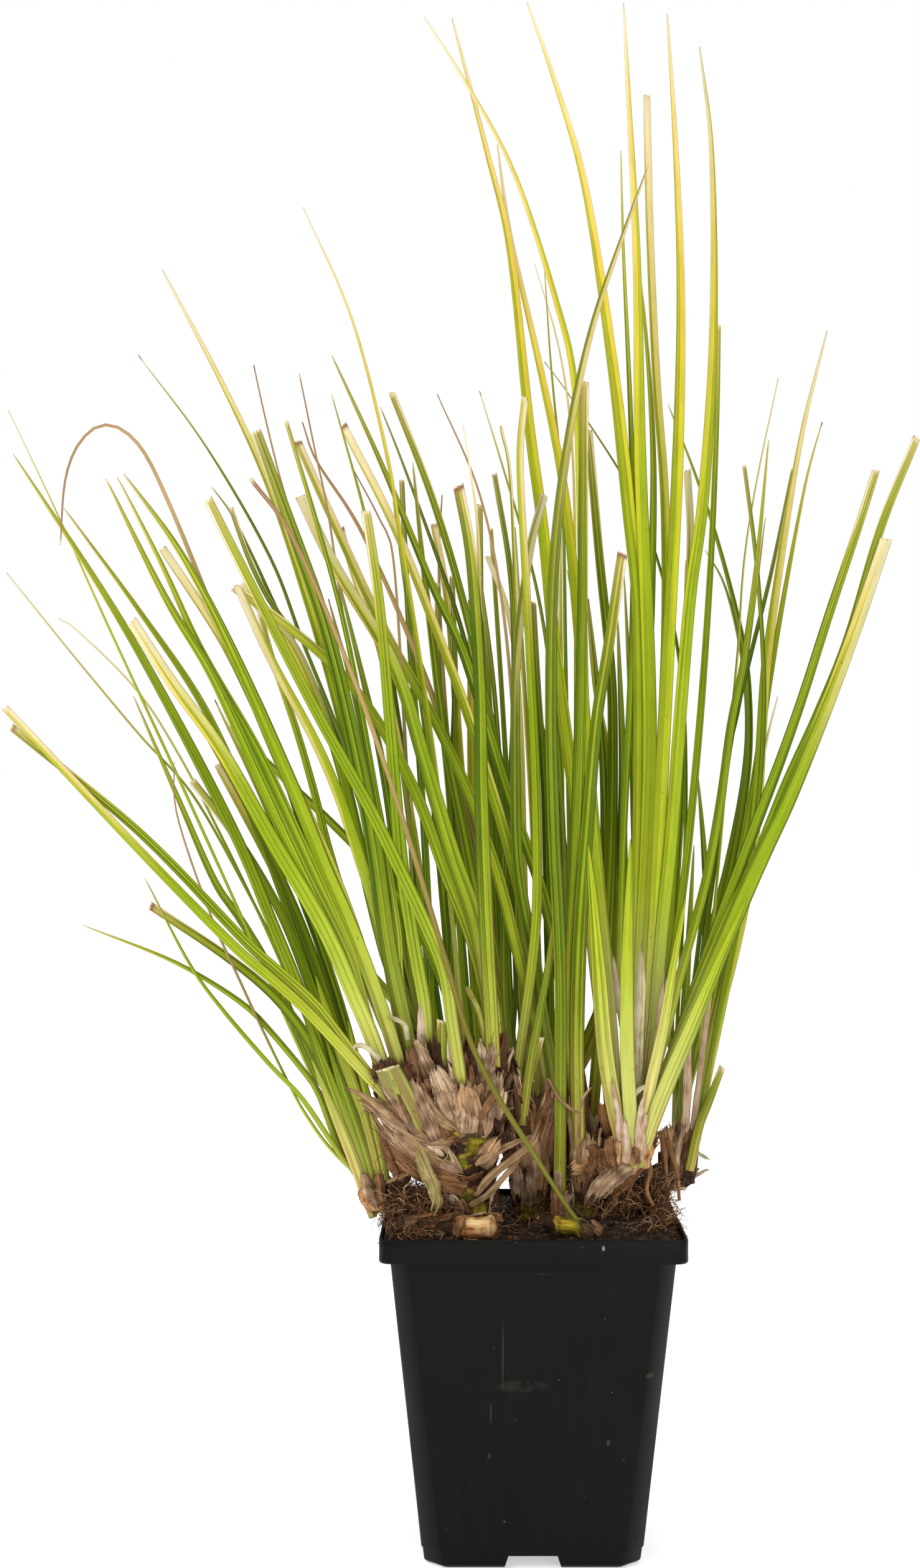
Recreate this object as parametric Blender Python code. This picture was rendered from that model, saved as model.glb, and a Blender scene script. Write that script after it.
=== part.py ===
"""A golden sweet flag in its square nursery pot.

The pot stands on z = 0 with the middle of its base at the origin, +X to the right and +Y away
from the viewer. Sizes are millimetres until a shape is made, and the scene is in metres.
"""

import bisect
import math
from collections import namedtuple

import bmesh
import bpy
from mathutils import Vector

MM = 0.001
GAP = 0.3
TINY = 1e-9
SHARP_ANGLE = 40

# Pot: a 9 x 9 x 10 cm square nursery pot
POT_HEIGHT = 99.0
RIM_WIDTH = 90.0
RIM_BAND = 7.0
RIM_CORNER = 3.5
BODY_TOP_WIDTH = 84.0
BODY_TOP_CHAMFER = 5.4
BASE_WIDTH = 65.0
BASE_CHAMFER = 5.8
CORNER_STEPS = 3
WALL = 1.0
STEP_HEIGHT = 4.5
STEP_DEPTH = 0.35
STEP_RISE = 0.4
FOOT_BEVEL = 0.8
LEDGE_BEVEL = 0.6
FLOOR = 1.2
NOTCH_WIDE = 18.0
NOTCH_NARROW = 14.5
NOTCH_HEIGHT = 3.6
CHANNEL_LENGTH = 20.0
CHANNEL_INTO_WALL = 0.9
PAST = 2.0
DRAIN_RADIUS = 3.0
DRAIN_INSET = 10.0
DRAIN_DEPTH = 4.0
DRAIN_SIDES = 12

# Soil
SOIL_LEVEL = 97.0
SOIL_CELLS = 7
SOIL_EDGE_TOP = 98.3
CORNER_PULL = 0.91
CRUMB_HIGH = (0.7, 0.5)
CRUMB_LONG = (3.1, 3.7, 1.7, 2.3)
LEFT_MOUND = (-31.0, -14.0, 12.0, 8.0)
RIGHT_MOUND = (34.0, 12.0, 11.0, 9.0)
FRONT_RIGHT_MOUND = (26.0, -14.0, 12.0, 3.5)

# Sight line: a leaf's route is measured on the upright plane through the pot's axis, as seen
# from the eye, and its depth then says how far behind that plane each stretch runs
EYE = Vector((-21.5, -747.0, 231.0))
TUFT_FOOT = 118.0
TUFT_HEIGHT = 352.0
DEPTH_SPREAD = 1.8
DEPTH_SWAY = 26.0
SWAY_CENTRE = -25.0
SWAY_LENGTH = 60.0
SWAY_POWER = 1.5

# Leaf blades
SHEATH_THICK = 2.2
SHEATH_EXTRA = 0.7
SHEATH_JOINED = 12.0
SHEATH_REACH = 40.0
BLADE_THICK = 0.9
TIP_WIDTH = 0.35
TIP_THICK = 0.3
TAPER_SHARE = 0.42
TAPER_POWER = 0.8
CUT_NARROWING = 0.82
RING_LENGTH = 190.0
RING_BEND = 42.0
ROUTE_STEPS = 8
FINE_STEPS = 60
FEWEST_RINGS = 2
MOST_RINGS = 9

Leaf = namedtuple("Leaf", "lane turn width end route")
TIP = "tip"
CUT = "cut"

# Leaf: depth lane at the foot, turn of the blade from facing the eye in degrees, widest
# width, how it ends, and its route as "across height" points from foot to end. Leaves in
# one row of brackets grew from one sheath.
CLUMPS = {
    "left_clump": (
        (
            Leaf(-13, 40, 1.6, TIP, "-46 103, -57 115, -70 134, -80 144.5, -95 162, -105 176, -118.5 202"),
            Leaf(-12, 60, 1, TIP,
                 "-46.5 102.5, -60 112, -70 130.5, -80 150.5, -90 172, -98 190, -108.5 221, "
                 "-109.5 238"),
            Leaf(-11, 30, 1.9, TIP,
                 "-45.5 104, -56 119, -64 135, -80 155, -90 164.5, -110 176.5, -137.5 187.5"),
        ),
        (
            Leaf(-8.5, 10, 3, CUT, "-48 101, -55 122, -62 141, -70 155, -80 167, -95 179, -116.8 193.5"),
        ),
        (
            Leaf(-6, 0, 3, TIP,
                 "-47 101, -55 122, -63 145, -71 168, -80 190, -90 214, -110 253, -130 288, "
                 "-159 332.5"),
            Leaf(-5, 60, 1.3, TIP,
                 "-50 102, -59 122, -68 143, -77 163, -86 184, -105 226, -130 280, -144 311, "
                 "-160.5 346"),
        ),
        (
            Leaf(-2.5, 15, 3, CUT, "-46 102, -53 125, -60 147, -68 170, -77 192, -90 214, -104 232"),
            Leaf(-1.5, -15, 3, TIP, "-45 103, -51 125, -57 147, -64 170, -73 194, -86 222, -101 248"),
        ),
        (
            Leaf(1, 0, 2.6, TIP,
                 "-44.5 106, -50 120, -56 138, -63 160, -71 183, -84 218, -100 254, -120 284, "
                 "-143.5 316"),
            Leaf(2, 25, 3, TIP, "-44 106, -49 125, -54 147, -61 171, -70 196, -82 226, -97 257"),
            Leaf(3.4, 5, 3, CUT, "-45 105, -53 130, -60 157, -69 184, -81 209, -96 237"),
            Leaf(4.8, 10, 2.4, TIP,
                 "-45 105, -60 130, -70 152, -80 174, -89.5 190, -97 201, -108 226, -122 258"),
            Leaf(6.2, 0, 0.8, TIP,
                 "-45 104, -58 133, -73 170, -88 200, -104 228, -120 246, -140 270, -161 296"),
            Leaf(7.4, 0, 0.8, TIP,
                 "-45 104, -55 125, -68 156, -82 188, -95 215, -108 240, -121 260, -139 278, "
                 "-145 282"),
        ),
    ),
    "big_left": (
        (
            Leaf(-27.5, 10, 2.6, CUT,
                 "-36 127, -50 141, -60 152, -70 162.5, -80 171.5, -92 182, -120 210.5, -161.5 254.5"),
            Leaf(-26.5, 10, 2.6, CUT,
                 "-37.5 131, -48 143, -58 154, -68 165, -78 174, -88 183, -120 216, -159.5 248.5"),
        ),
        (
            Leaf(-24, 0, 4, CUT,
                 "-44 140, -49 154, -55 168, -61 182, -68 195, -80 215, -95 241.5, -110 262, "
                 "-122.5 281"),
            Leaf(-23, 10, 3.2, TIP,
                 "-42 142, -48 157, -54 172, -61 187, -69 203, -83 233, -98 265, -112 288, "
                 "-130.5 325"),
            Leaf(-22, -10, 2.6, TIP,
                 "-41 143, -47 159, -53 174, -60 190, -69 210, -83 240, -101 272, -113 298, "
                 "-127 325.5"),
        ),
        (
            Leaf(-19.5, 0, 3.6, TIP,
                 "-40 144, -45 160, -50 174, -56 189, -63 205, -73 230, -93 275, -108 303, "
                 "-125 326.5"),
            Leaf(-18.5, 10, 3, CUT,
                 "-41 143, -47 164, -54 186, -62 207, -72 229, -83 252, -95 276, -113 303.5"),
            Leaf(-17.9, 10, 2.2, TIP, "-41 143, -52 168, -60 189, -66 206, -72 223, -78 240, -89 262.5"),
        ),
        (
            Leaf(-16, 30, 1.6, TIP,
                 "-39 142, -49 165, -57 190, -67 213, -78 238, -88 262, -97 283, -110 315, -120 335, "
                 "-130 342, -138 337, -143 325, -144.5 304.5"),
        ),
        (
            Leaf(-13.5, 10, 3, CUT,
                 "-38 144, -42 168, -46 188, -52 207, -59 228, -67 246, -80 270, -90 292"),
        ),
    ),
    "big_middle": (
        (
            Leaf(-22.5, 0, 3.4, CUT, "-26.5 138, -27 148, -27 158"),
        ),
        (
            Leaf(-19, 5, 3.4, CUT,
                 "-31 137, -32 160, -34.5 175, -37 190, -39.5 207, -41.5 230, -43.5 255, -46.5 288, "
                 "-50.5 315"),
        ),
        (
            Leaf(-16.5, 0, 4.2, CUT,
                 "-35.5 143, -40 163, -44 183, -48 212, -54 243, -63 280, -75 314, -84.5 339.5"),
            Leaf(-15.5, 30, 1.8, CUT, "-35 144, -41 190, -48 232, -56 275, -64 306, -75 342.5"),
        ),
        (
            Leaf(-10.5, 50, 1.5, TIP,
                 "-36.5 145, -41 175, -44 195, -48 215, -56 240, -70 275, -80 301, -100 335.5, "
                 "-120.5 363"),
            Leaf(-9.5, 10, 2.6, TIP,
                 "-36 145, -40 172, -44 192, -49 215, -56 243, -66 280, -80 322, -95 355, "
                 "-113.2 389.4"),
            Leaf(-8.5, 0, 0.8, TIP,
                 "-36 145, -46 200, -54 240, -62 275, -69 300, -76 322, -81.5 344, -85 360"),
        ),
        (
            Leaf(-7.2, 40, 1.8, TIP,
                 "-31.5 137, -36 170, -38 190, -40 215, -42 240, -45 270, -49 306, -61 351"),
            Leaf(-6.4, 50, 1.4, TIP, "-31 138, -35 180, -37 215, -39 255, -42 300, -46 312, -55 329"),
            Leaf(-5.2, 10, 2.4, CUT,
                 "-32 138, -42 155, -50 173, -56.5 193, -62 211, -66.5 229, -72 248, -79.5 270, "
                 "-83 283"),
            Leaf(-4, 0, 3.4, CUT,
                 "-32 138, -39 160, -46 185, -52 210, -57 232, -62 248.5, -69 266, -74.5 276, "
                 "-81.5 283, -88 293"),
            Leaf(-2.8, 10, 1.8, CUT,
                 "-32 138, -38 165, -44 195, -51 222, -60.5 248, -67.5 260, -74.5 279, -80.5 288, "
                 "-86.5 300.5, -92 316"),
            Leaf(-1.6, 10, 1.6, TIP,
                 "-32 138, -37 165, -43 195, -50 222, -56 238, -64 257, -69.5 268, -78 285, "
                 "-85 300.5, -92 314.5, -98 322.5"),
            Leaf(-3.4, 0, 0.8, TIP,
                 "-32 138, -39 180, -45 215, -51 250, -57 280, -62 314, -66 333, -71 357.5"),
        ),
    ),
    "big_right": (
        (
            Leaf(-32, 0, 1.9, CUT,
                 "17 94, 12 100, 0 119, -10 135, -18 151, -24 170, -32 197, -43 232, -56 268, "
                 "-73 307, -86 325"),
        ),
        (
            Leaf(-25, 0, 3.2, CUT,
                 "-21 138, -24 158, -26.5 174, -33 190, -42 209, -50 225, -65 252, -80 281, "
                 "-99 318.5"),
        ),
        (
            Leaf(-20, 0, 3.8, CUT,
                 "-11 139, -12 160, -13 178, -14 200, -15 230, -15.5 262, -18 300, -22 322.8"),
            Leaf(-19, 55, 1.8, TIP, "-14 139, -15 180, -15.5 230, -15.5 280, -16 310, -20.5 341.5"),
        ),
        (
            Leaf(-12.2, 0, 4, CUT,
                 "-10 140, -11.5 160, -14.5 178, -18 193, -24 210, -33 240, -42 268, -60 298, "
                 "-70.5 319.5"),
            Leaf(-11.4, 10, 3.2, CUT,
                 "-13.5 139, -14 158, -16 176, -20 189, -26 204, -35 228, -46 249, -58 265, -75 280, "
                 "-91 291.5"),
        ),
        (
            Leaf(-2, 50, 2, TIP,
                 "-20 140, -22 170, -25 200, -29 235, -34 270, -39.5 305, -44.5 335, -55 375, "
                 "-69.8 408.6"),
        ),
    ),
    "rear_left": (
        (
            Leaf(12, 0, 2.8, CUT,
                 "-16 98, -19 140, -24 162, -32 182, -43 200, -60 218, -76 233, -92.5 248.5"),
        ),
        (
            Leaf(16, 30, 2.4, CUT, "-29 97, -30 150, -31 185, -32.5 215, -34.5 245, -37 275, -39.5 324.5"),
            Leaf(17, 20, 2.6, TIP, "-31 97, -38 150, -43 190, -50 230, -58 265, -68 300"),
            Leaf(18.2, 5, 3, TIP, "-30 97, -34 145, -39 185, -42 215, -46 240, -52 266, -60 298"),
            Leaf(19.4, 5, 2.2, CUT,
                 "-29 97, -30 150, -33 195, -38 230, -43 257, -47 275, -54.5 296, -58 310"),
            Leaf(20.6, 5, 2.8, TIP, "-30 97, -35 150, -41 190, -48 230, -55 262, -62 288"),
        ),
        (
            Leaf(20, 20, 2.4, CUT, "-17.5 99, -18 142, -20 170, -22.5 200, -25 230, -28 262, -28.5 293"),
            Leaf(21, 20, 2.4, CUT, "-20 99, -23.5 150, -24 190, -24 230, -23 260, -24 295"),
            Leaf(22.2, 5, 2.8, CUT, "-21 99, -27 150, -33 190, -38 230, -43 265, -48 300"),
            Leaf(23.4, 5, 2.4, TIP, "-20 99, -23 150, -27 200, -31 240, -36 275, -42 318"),
            Leaf(24.6, 5, 2.8, CUT, "-17 99, -16 150, -19 200, -22 245, -25 285, -29.5 311"),
            Leaf(25.8, 5, 2.8, CUT, "-16 99, -13 150, -16 190, -18 235, -18 288"),
        ),
    ),
    "middle": (
        (
            Leaf(-12, 0, 3.2, TIP,
                 "9 96, 9.5 140, 9.5 170, 8.5 195, 7.5 215, 6.5 255, 7.5 300, 12 338, 19 371, 29 401, "
                 "36.5 421.5"),
        ),
        (
            Leaf(-9.5, 0, 2.4, CUT, "-2.5 126, 0 145, 2.5 158, 5.5 174, 8 189.5"),
            Leaf(-8.5, 0, 2.6, CUT, "1 126, 3.5 141, 4.8 153"),
        ),
        (
            Leaf(-6, 0, 3.2, CUT,
                 "-4.5 130, -3 148, 0 170, 2 190, 2.3 210, 1.5 240, -1 290, -3 330, -1.5 350"),
        ),
        (
            Leaf(-3.2, 10, 3, CUT,
                 "8 127, 7 142, 4 160, 1.5 178, -1.5 192, -4 210, -4.5 240, -4 270, 0 303, 4.5 320"),
        ),
        (
            Leaf(-0.5, 0, 3, CUT,
                 "6.5 124, 5 142, 1 160, -4 180, -9 200, -14 215, -20 231, -30 252, -45 279, -60 311, "
                 "-71.5 336.5"),
            Leaf(0.5, 10, 3, CUT,
                 "6 124, 4 150, 1 175, -3 197, -9 220, -19 252, -29 279, -42 311, -57.5 341.5"),
        ),
        (
            Leaf(3.5, 0, 2.8, TIP,
                 "8.5 124, 11 150, 8.5 175, 4.5 195, -1 212, -7 228, -20 270, -30 292, -45 328, "
                 "-61 363"),
            Leaf(4.5, 10, 2.6, CUT,
                 "6.5 124, 2 150, 0 175, -3 200, -7 225, -12 250, -20 285, -30 319, -42.5 351.5"),
        ),
        (
            Leaf(7, 50, 1.5, TIP, "1 125, -1 160, -3 200, -5 250, -9 290, -16 322, -28.5 351"),
            Leaf(8, 50, 1.7, CUT, "-1 125, -3 170, -4.5 220, -4.5 280, -6 325, -9 341"),
        ),
        (
            Leaf(10, 30, 2.4, CUT,
                 "-3.5 128, -6.5 150, -8 175, -7 210, -5 250, -5 280, -6.5 300, -11 326.5"),
            Leaf(11, 0, 3, TIP,
                 "-4 129, -8 150, -11.5 170, -15 190, -20 215, -26 245, -30 275, -33 300, -36 330"),
            Leaf(12.3, 5, 1.8, TIP,
                 "-3.5 128, -8 165, -14 200, -22 232, -30 258, -40 283, -50 305, -56 316, -66 331, "
                 "-70 342.5"),
            Leaf(13.5, 5, 1.6, TIP, "-3 128, -5 190, -9 225, -15 255, -22 282, -30 305, -40 332, -46 347"),
        ),
        (
            Leaf(14, 50, 1.8, TIP, "11.8 122, 11.3 160, 11 200, 9 240, 5 275, 0 300, -9 331, -15.5 352"),
            Leaf(15, 50, 1.7, TIP, "12.5 122, 13 170, 12 220, 11 270, 10 320, 6.5 360, 4.5 390"),
            Leaf(16, 50, 1.4, TIP, "13.2 122, 14 170, 14 230, 14 290, 13 335, 9 365, 1.5 391"),
            Leaf(17.4, 5, 2.6, TIP, "13 122, 20 150, 22.5 190, 23 220, 22 245, 20.5 265, 18 288"),
            Leaf(18.6, 5, 2.8, TIP, "13.5 122, 24 150, 27 190, 26 215, 24 240, 20 262, 17.5 290"),
        ),
        (
            Leaf(18.5, 20, 2.2, CUT, "1 110, -1 165, -2 210, -3 250, -6 281, -13 301"),
            Leaf(19.5, 20, 1.8, CUT, "-2 110, -6 165, -8 215, -11 260, -15.5 295"),
            Leaf(20.5, 20, 1.8, CUT, "4 110, 3 165, 1 215, -2 265, -5 310"),
            Leaf(21.5, 20, 1.8, CUT, "0 110, -3 165, -6 215, -9 265, -12 309.5"),
            Leaf(22.8, 5, 2.6, CUT, "-1 110, -8 150, -11 190, -13 230, -15 270, -15.5 317"),
            Leaf(24, 5, 2.4, CUT, "2 110, 6 150, 5.5 190, 4.5 230, 2.5 260, 1 287"),
            Leaf(25.2, 5, 2.4, TIP, "3 110, 10 150, 12 190, 10 215, 7 235, 3 252, -1 272"),
            Leaf(26.8, 5, 2.6, CUT, "-1 110, -6 150, -9 200, -12 245, -14 281"),
            Leaf(28, 5, 2.4, TIP, "3 110, 11 150, 15.5 190, 17 225, 16.5 255, 14.5 280, 11.5 297"),
            Leaf(29.2, 5, 1.6, TIP, "-1 110, -13 150, -19 190, -24 230, -27 270, -28 300, -27 320"),
            Leaf(30.4, 5, 2, TIP, "2 110, 8 150, 9.5 200, 9.5 250, 9.3 300, 9.5 330"),
        ),
    ),
    "centre": (
        (
            Leaf(-9, 0, 3.8, CUT, "15 115, 14.5 150, 15 175, 16 195, 17.5 215, 20.5 250, 24 272, 28.5 302"),
            Leaf(-8, 0, 3.4, CUT, "13.5 115, 12 150, 12.5 175, 14 205, 15 235, 16 275, 16.5 330, 16.8 355"),
        ),
        (
            Leaf(15, 0, 3.2, CUT, "18 112, 21 150, 23.5 180, 25 210, 25.5 240, 25 265, 21.5 300, 18 340"),
        ),
    ),
    "right_fan": (
        (
            Leaf(-14.5, 0, 4.4, CUT,
                 "32 118, 37 128, 42.5 141, 49 156, 56 173, 64 192, 72 210, 80 227, 91 254, 101 281, "
                 "109.7 306.5"),
        ),
        (
            Leaf(-12, 10, 2.4, TIP,
                 "33 124, 37 137, 41.5 153, 46 171, 51 189, 55 205, 59 228, 62 250, 66 270, 70 300, "
                 "73.5 337"),
        ),
        (
            Leaf(-9.5, 0, 3, CUT,
                 "34 122, 42 143, 51 166, 60 187, 69 206, 79 231, 88 251, 98 276, 108 310, 119 337.5"),
            Leaf(-8.5, 0, 3, CUT,
                 "36 124, 43 145, 51 168, 60 193, 69 217, 77 238, 84 258, 92 283, 101 310, "
                 "106.5 327.5"),
        ),
        (
            Leaf(-6, 0, 3.3, TIP,
                 "35 130, 38 155, 40.5 185, 43.5 215, 46.5 255, 49.5 290, 53.5 320, 56.5 370, 56 425, "
                 "52.2 458"),
            Leaf(-5, 0, 3.4, TIP,
                 "34.5 131, 36.5 155, 38 180, 39.5 210, 41 240, 43 280, 45.5 330, 46.5 380, 45 425, "
                 "42.3 468"),
        ),
        (
            Leaf(-2.5, 20, 2.2, CUT,
                 "32 123, 40 150, 43 170, 46 190, 48.5 210, 51 235, 53.5 265, 56 305, 57.5 345, "
                 "58 372.5"),
            Leaf(-1.5, 10, 2.8, CUT, "33 124, 40 160, 43 200, 46 240, 48 275, 49.5 305, 48.5 327.5"),
        ),
        (
            Leaf(1, 0, 3.6, TIP,
                 "33 131, 33.5 150, 34.5 180, 36 210, 37 245, 36 285, 34 330, 33 390, 30.5 440, "
                 "28.8 471.5"),
            Leaf(2, 0, 3.8, TIP,
                 "31 130, 32 150, 33 175, 33.5 205, 34 240, 33.5 285, 30.5 315, 25.5 360, 17 415, "
                 "7 449.5, -1 472"),
            Leaf(3, 30, 2.2, TIP,
                 "28 131, 27.5 160, 28 190, 29 220, 31 260, 32 300, 31 345, 28.8 395, 28 426"),
        ),
        (
            Leaf(5.5, 0, 2.3, TIP,
                 "27 131, 25.5 158, 22.5 190, 19.5 218, 17 255, 16 300, 14 352, 8 380, -5 419.5, "
                 "-20 447.5, -32.5 467"),
        ),
        (
            Leaf(8, 0, 3.3, TIP,
                 "25 130, 23 150, 20 175, 17.5 200, 12 240, 7.5 275, 4 310, 0 340, -6 395, -13 425, "
                 "-24 467"),
            Leaf(9, 0, 3, TIP,
                 "29 132, 27 150, 24 175, 21 205, 17.5 245, 14 290, 10 325, 3 360, -6 400, -10 428"),
        ),
        (
            Leaf(11.5, 10, 2.9, CUT,
                 "31 122, 36 165, 38 200, 40.5 240, 42 280, 41.5 320, 39 355, 37 400, 36 443"),
            Leaf(12.5, 10, 2.6, TIP, "30 124, 31 165, 33 200, 35 240, 37 280, 38 330, 35.5 372, 32 400"),
            Leaf(13.7, 5, 3, TIP, "31 124, 31 150, 29.5 180, 28.5 210, 28.5 240, 27 282"),
            Leaf(14.9, 5, 2.2, TIP, "31 124, 34 150, 33 190, 32 225, 31 255, 29 295"),
        ),
    ),
    "right_rear": (
        (
            Leaf(8, 0, 2.4, CUT, "49 112, 52 125.5, 55 133, 59.2 143.8"),
        ),
        (
            Leaf(11, 40, 2, CUT,
                 "49 112, 52 125, 56 148, 60 170, 65 193, 69 215, 71.5 240, 72 265, 70 297, 66 329"),
            Leaf(12, 20, 1.8, TIP, "50 112, 53 128, 57 150, 62 174, 66 195, 69.5 218, 72 240, 76.3 258"),
        ),
        (
            Leaf(15, 0, 3, TIP,
                 "48 112, 51 122, 54 142, 58 160, 63 180, 67 200, 70 225, 71.5 250, 73 270, 78 305, "
                 "84 340, 91.5 370.5"),
            Leaf(16, 20, 2.2, TIP,
                 "47 112, 50 125, 53 145, 57 165, 61 185, 65 208, 69 232, 73 258, 78 288, 85 324, "
                 "90 342.5"),
            Leaf(17.2, 0, 0.8, TIP, "48 112, 52 150, 57 195, 61 240, 64 272, 66 300, 70 325, 76.5 356"),
        ),
        (
            Leaf(19, 40, 2, CUT,
                 "46 113, 48 130, 50.5 155, 54 185, 58 215, 62 245, 68 271, 74.5 297, 81 328"),
            Leaf(20, 40, 1.6, TIP,
                 "45 113, 47 130, 49.5 160, 53 190, 57 215, 61 240, 65 258, 70 293, 72.5 313"),
            Leaf(21.3, 5, 2.4, TIP, "45 113, 45.5 135, 47.5 160, 49 185, 50.5 212"),
        ),
        (
            Leaf(23, 40, 2.6, TIP,
                 "44 113, 47 135, 51 160, 57 185, 63 210, 67 235, 67.5 255, 65.5 275, 58 305, 51 326, "
                 "42.5 348"),
            Leaf(24, 30, 2.4, TIP,
                 "43 113, 46 135, 50 160, 55.5 185, 61 207, 65.5 230, 67 250, 65 272, 60 292, 54 303"),
            Leaf(25, 20, 2.4, TIP, "43 113, 43 150, 44 185, 46.5 225, 47.5 260, 48 300"),
            Leaf(25.8, 5, 2.8, TIP, "43 113, 50 140, 53.5 165, 54.5 190, 53.5 212, 51.5 235"),
        ),
        (
            Leaf(28, 40, 1.4, TIP,
                 "44 113, 45 150, 47 190, 48 225, 47 260, 42 290, 34 315, 26 330, 12 351, 4.5 361"),
        ),
    ),
}

POT_BLACK = (0.012, 0.011, 0.011)
POT_ROUGHNESS = 0.42
PEAT = (0.02, 0.012, 0.008)
PEAT_ROUGHNESS = 0.95
BARK_ROUGHNESS = 0.85
LEAF_ROUGHNESS = 0.45
CLUMP_COLOURS = {
    "left_clump": (0.16, 0.26, 0.03),
    "big_left": (0.36, 0.48, 0.05),
    "big_middle": (0.30, 0.42, 0.06),
    "big_right": (0.28, 0.40, 0.05),
    "rear_left": (0.10, 0.20, 0.03),
    "middle": (0.20, 0.34, 0.03),
    "centre": (0.26, 0.42, 0.02),
    "right_fan": (0.42, 0.50, 0.08),
    "right_rear": (0.16, 0.26, 0.04),
}

# Rootstock: stretches of (across, height, depth, radius) points, drawn as thick stems that
# meet, and the dry scales of old leaves on them: root, tip, width
Rootstock = namedtuple("Rootstock", "colour stems scales")
BARK = (0.20, 0.12, 0.07)
PALE_BARK = (0.42, 0.28, 0.15)
ROOTSTOCKS = {
    "big_rootstock": Rootstock(BARK, (
        ((-17, 91, -14, 6.5), (-18, 101, -15, 7.5), (-21, 113, -16, 10.5), (-23, 130, -17, 12)),
        ((-26, 117, -20, 8), (-35, 128, -23, 8.5), (-43, 140, -25, 5.5)),
        ((-26, 120, -16, 9), (-32, 134, -15, 9), (-36, 145, -14, 6)),
        ((-24, 126, -21, 8), (-26.5, 140, -22.5, 4.5)),
        ((-20, 122, -20, 9), (-20, 143, -22, 5)),
        ((-19, 120, -17, 9), (-14, 133, -17, 7.5), (-12, 141, -18, 5.5)),
        ((-22, 126, -9, 7), (-20, 140, -4, 4.5)),
    ), (
        ((-38, 128, -22), (-54, 134.5, -26), 6), ((-33, 119, -24), (-47, 127, -29), 8),
        ((-27, 110, -22), (-42, 117, -28), 8), ((-24, 114, -24), (-35, 121, -32), 8),
        ((-38, 136, -27), (-44.5, 147, -29), 6), ((-32, 136, -22), (-37.5, 152, -24), 6),
        ((-24, 132, -27), (-30, 145, -32), 7), ((-18, 126, -27), (-20, 140, -32), 8),
        ((-12, 128, -23), (-8, 138, -26), 6), ((-16, 113, -22), (-9, 123, -27), 7),
        ((-28, 112, -9), (-38, 123, -4), 8), ((-22, 120, -6), (-25, 137, 1), 9),
    )),
    "middle_rootstock": Rootstock(BARK, (
        ((1, 91, 3, 5), (1, 105, 3, 6), (1, 119, 2, 7)),
        ((0, 114, -1, 7), (-2.5, 124, -3.5, 7), (-4, 132, -6, 4.5)),
        ((2, 114, 0, 7), (4, 125, -2, 6), (8, 133, -1, 4.2)),
        ((0, 114, 6, 7), (-2, 126, 10, 5.6), (-4, 135, 12, 4)),
        ((3, 112, 2, 6), (8, 124, 3, 4)),
    ), (
        ((-1, 119, -5), (-10, 113, -10), 5), ((4, 124, -6), (7, 139, -9), 6),
        ((0, 118, 9), (-6, 131, 15), 7),
        ((5, 116, 6), (11, 127, 10), 6),
    )),
    "right_rootstock": Rootstock(PALE_BARK, (
        ((18, 90, -6, 5.5), (18, 102, -6, 5.5), (18, 116, -7, 5)),
        ((19, 106, -5, 6), (31, 120, -5, 7)),
        ((27, 113, -8, 7), (30, 124, -9, 7.5), (32, 131, -8, 5)),
        ((30, 114, -9, 6.5), (33, 120, -12, 6)),
        ((27, 114, 1, 7), (29, 124, 6, 8), (30, 132, 9, 5.5)),
    ), (
        ((34, 117, -13), (21, 102, -17), 8), ((19, 115, -9), (12, 112, -13), 6),
        ((26, 123, -14), (22, 134, -18), 6), ((33, 124, -14), (38, 137, -18), 6),
        ((24, 120, 2), (20, 131, 8), 7), ((33, 120, 4), (37, 131, 10), 7),
    )),
    "left_rim_rootstock": Rootstock(BARK, (
        ((-30, 91, -8, 5), (-36, 99, -8, 4.6), (-43, 104.4, -8, 3.9)),
        ((-43.5, 104.4, -15, 3.4), (-43.5, 104.6, -6, 4), (-43, 104.8, 3, 3.4)),
    ), (
        ((-41, 105, -10), (-38, 116, -12), 5), ((-41, 105, -2), (-37, 114, 1), 5),
    )),
    "right_rear_rootstock": Rootstock(BARK, (
        ((33, 93, 17, 5), (36, 101, 17, 4.6), (39.5, 108.5, 17, 4.4), (45, 111, 17, 4)),
        ((47.2, 108.5, 12, 4), (48, 117, 12, 3)),
        ((45.5, 109.5, 18, 4.6), (46.5, 120, 19, 3.4)),
        ((43.5, 109.5, 26, 4.4), (44, 118, 27, 3.4)),
        ((47.5, 110.5, 10, 3.4), (44, 110.5, 27, 4)),
    ), (
        ((44, 111, 12), (41.5, 127, 9), 6), ((47, 113, 15), (47.5, 129, 14), 5),
    )),
    "rear_rootstock": Rootstock(BARK, (
        ((-4, 99, 21, 4.6), (4, 102, 20, 6), (13, 104, 16, 6)),
        ((13, 98, 17, 5.5), (14, 116, 16, 5), (15, 131, 16, 3)),
        ((1, 98, 20, 5.5), (1, 115, 20, 4.6)),
    ), (
        ((15, 112, 12), (15.5, 146, 11), 6),
    )),
    "cut_rootstock": Rootstock(PALE_BARK, (
        ((-41, 94.5, -33, 2.9), (-33, 95, -32, 3.4), (-25, 94.6, -32, 3.2), (-12, 94.6, -34, 3.6)),
        ((-24, 95, -32, 2.8), (-24, 90, -31, 2.6)),
    ), ()),
    "small_rootstock": Rootstock(BARK, (
        ((22, 91, -32, 3.2), (15, 94.6, -32, 3.2), (9, 95.3, -30, 2.6), (3.5, 96.5, -28, 1.6)),
    ), ()),
}
STEM_SIDES = 6
STEM_LUMPS = 3.0
LUMP_HIGH = 0.06
LUMP_TURN = 1.7
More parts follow.
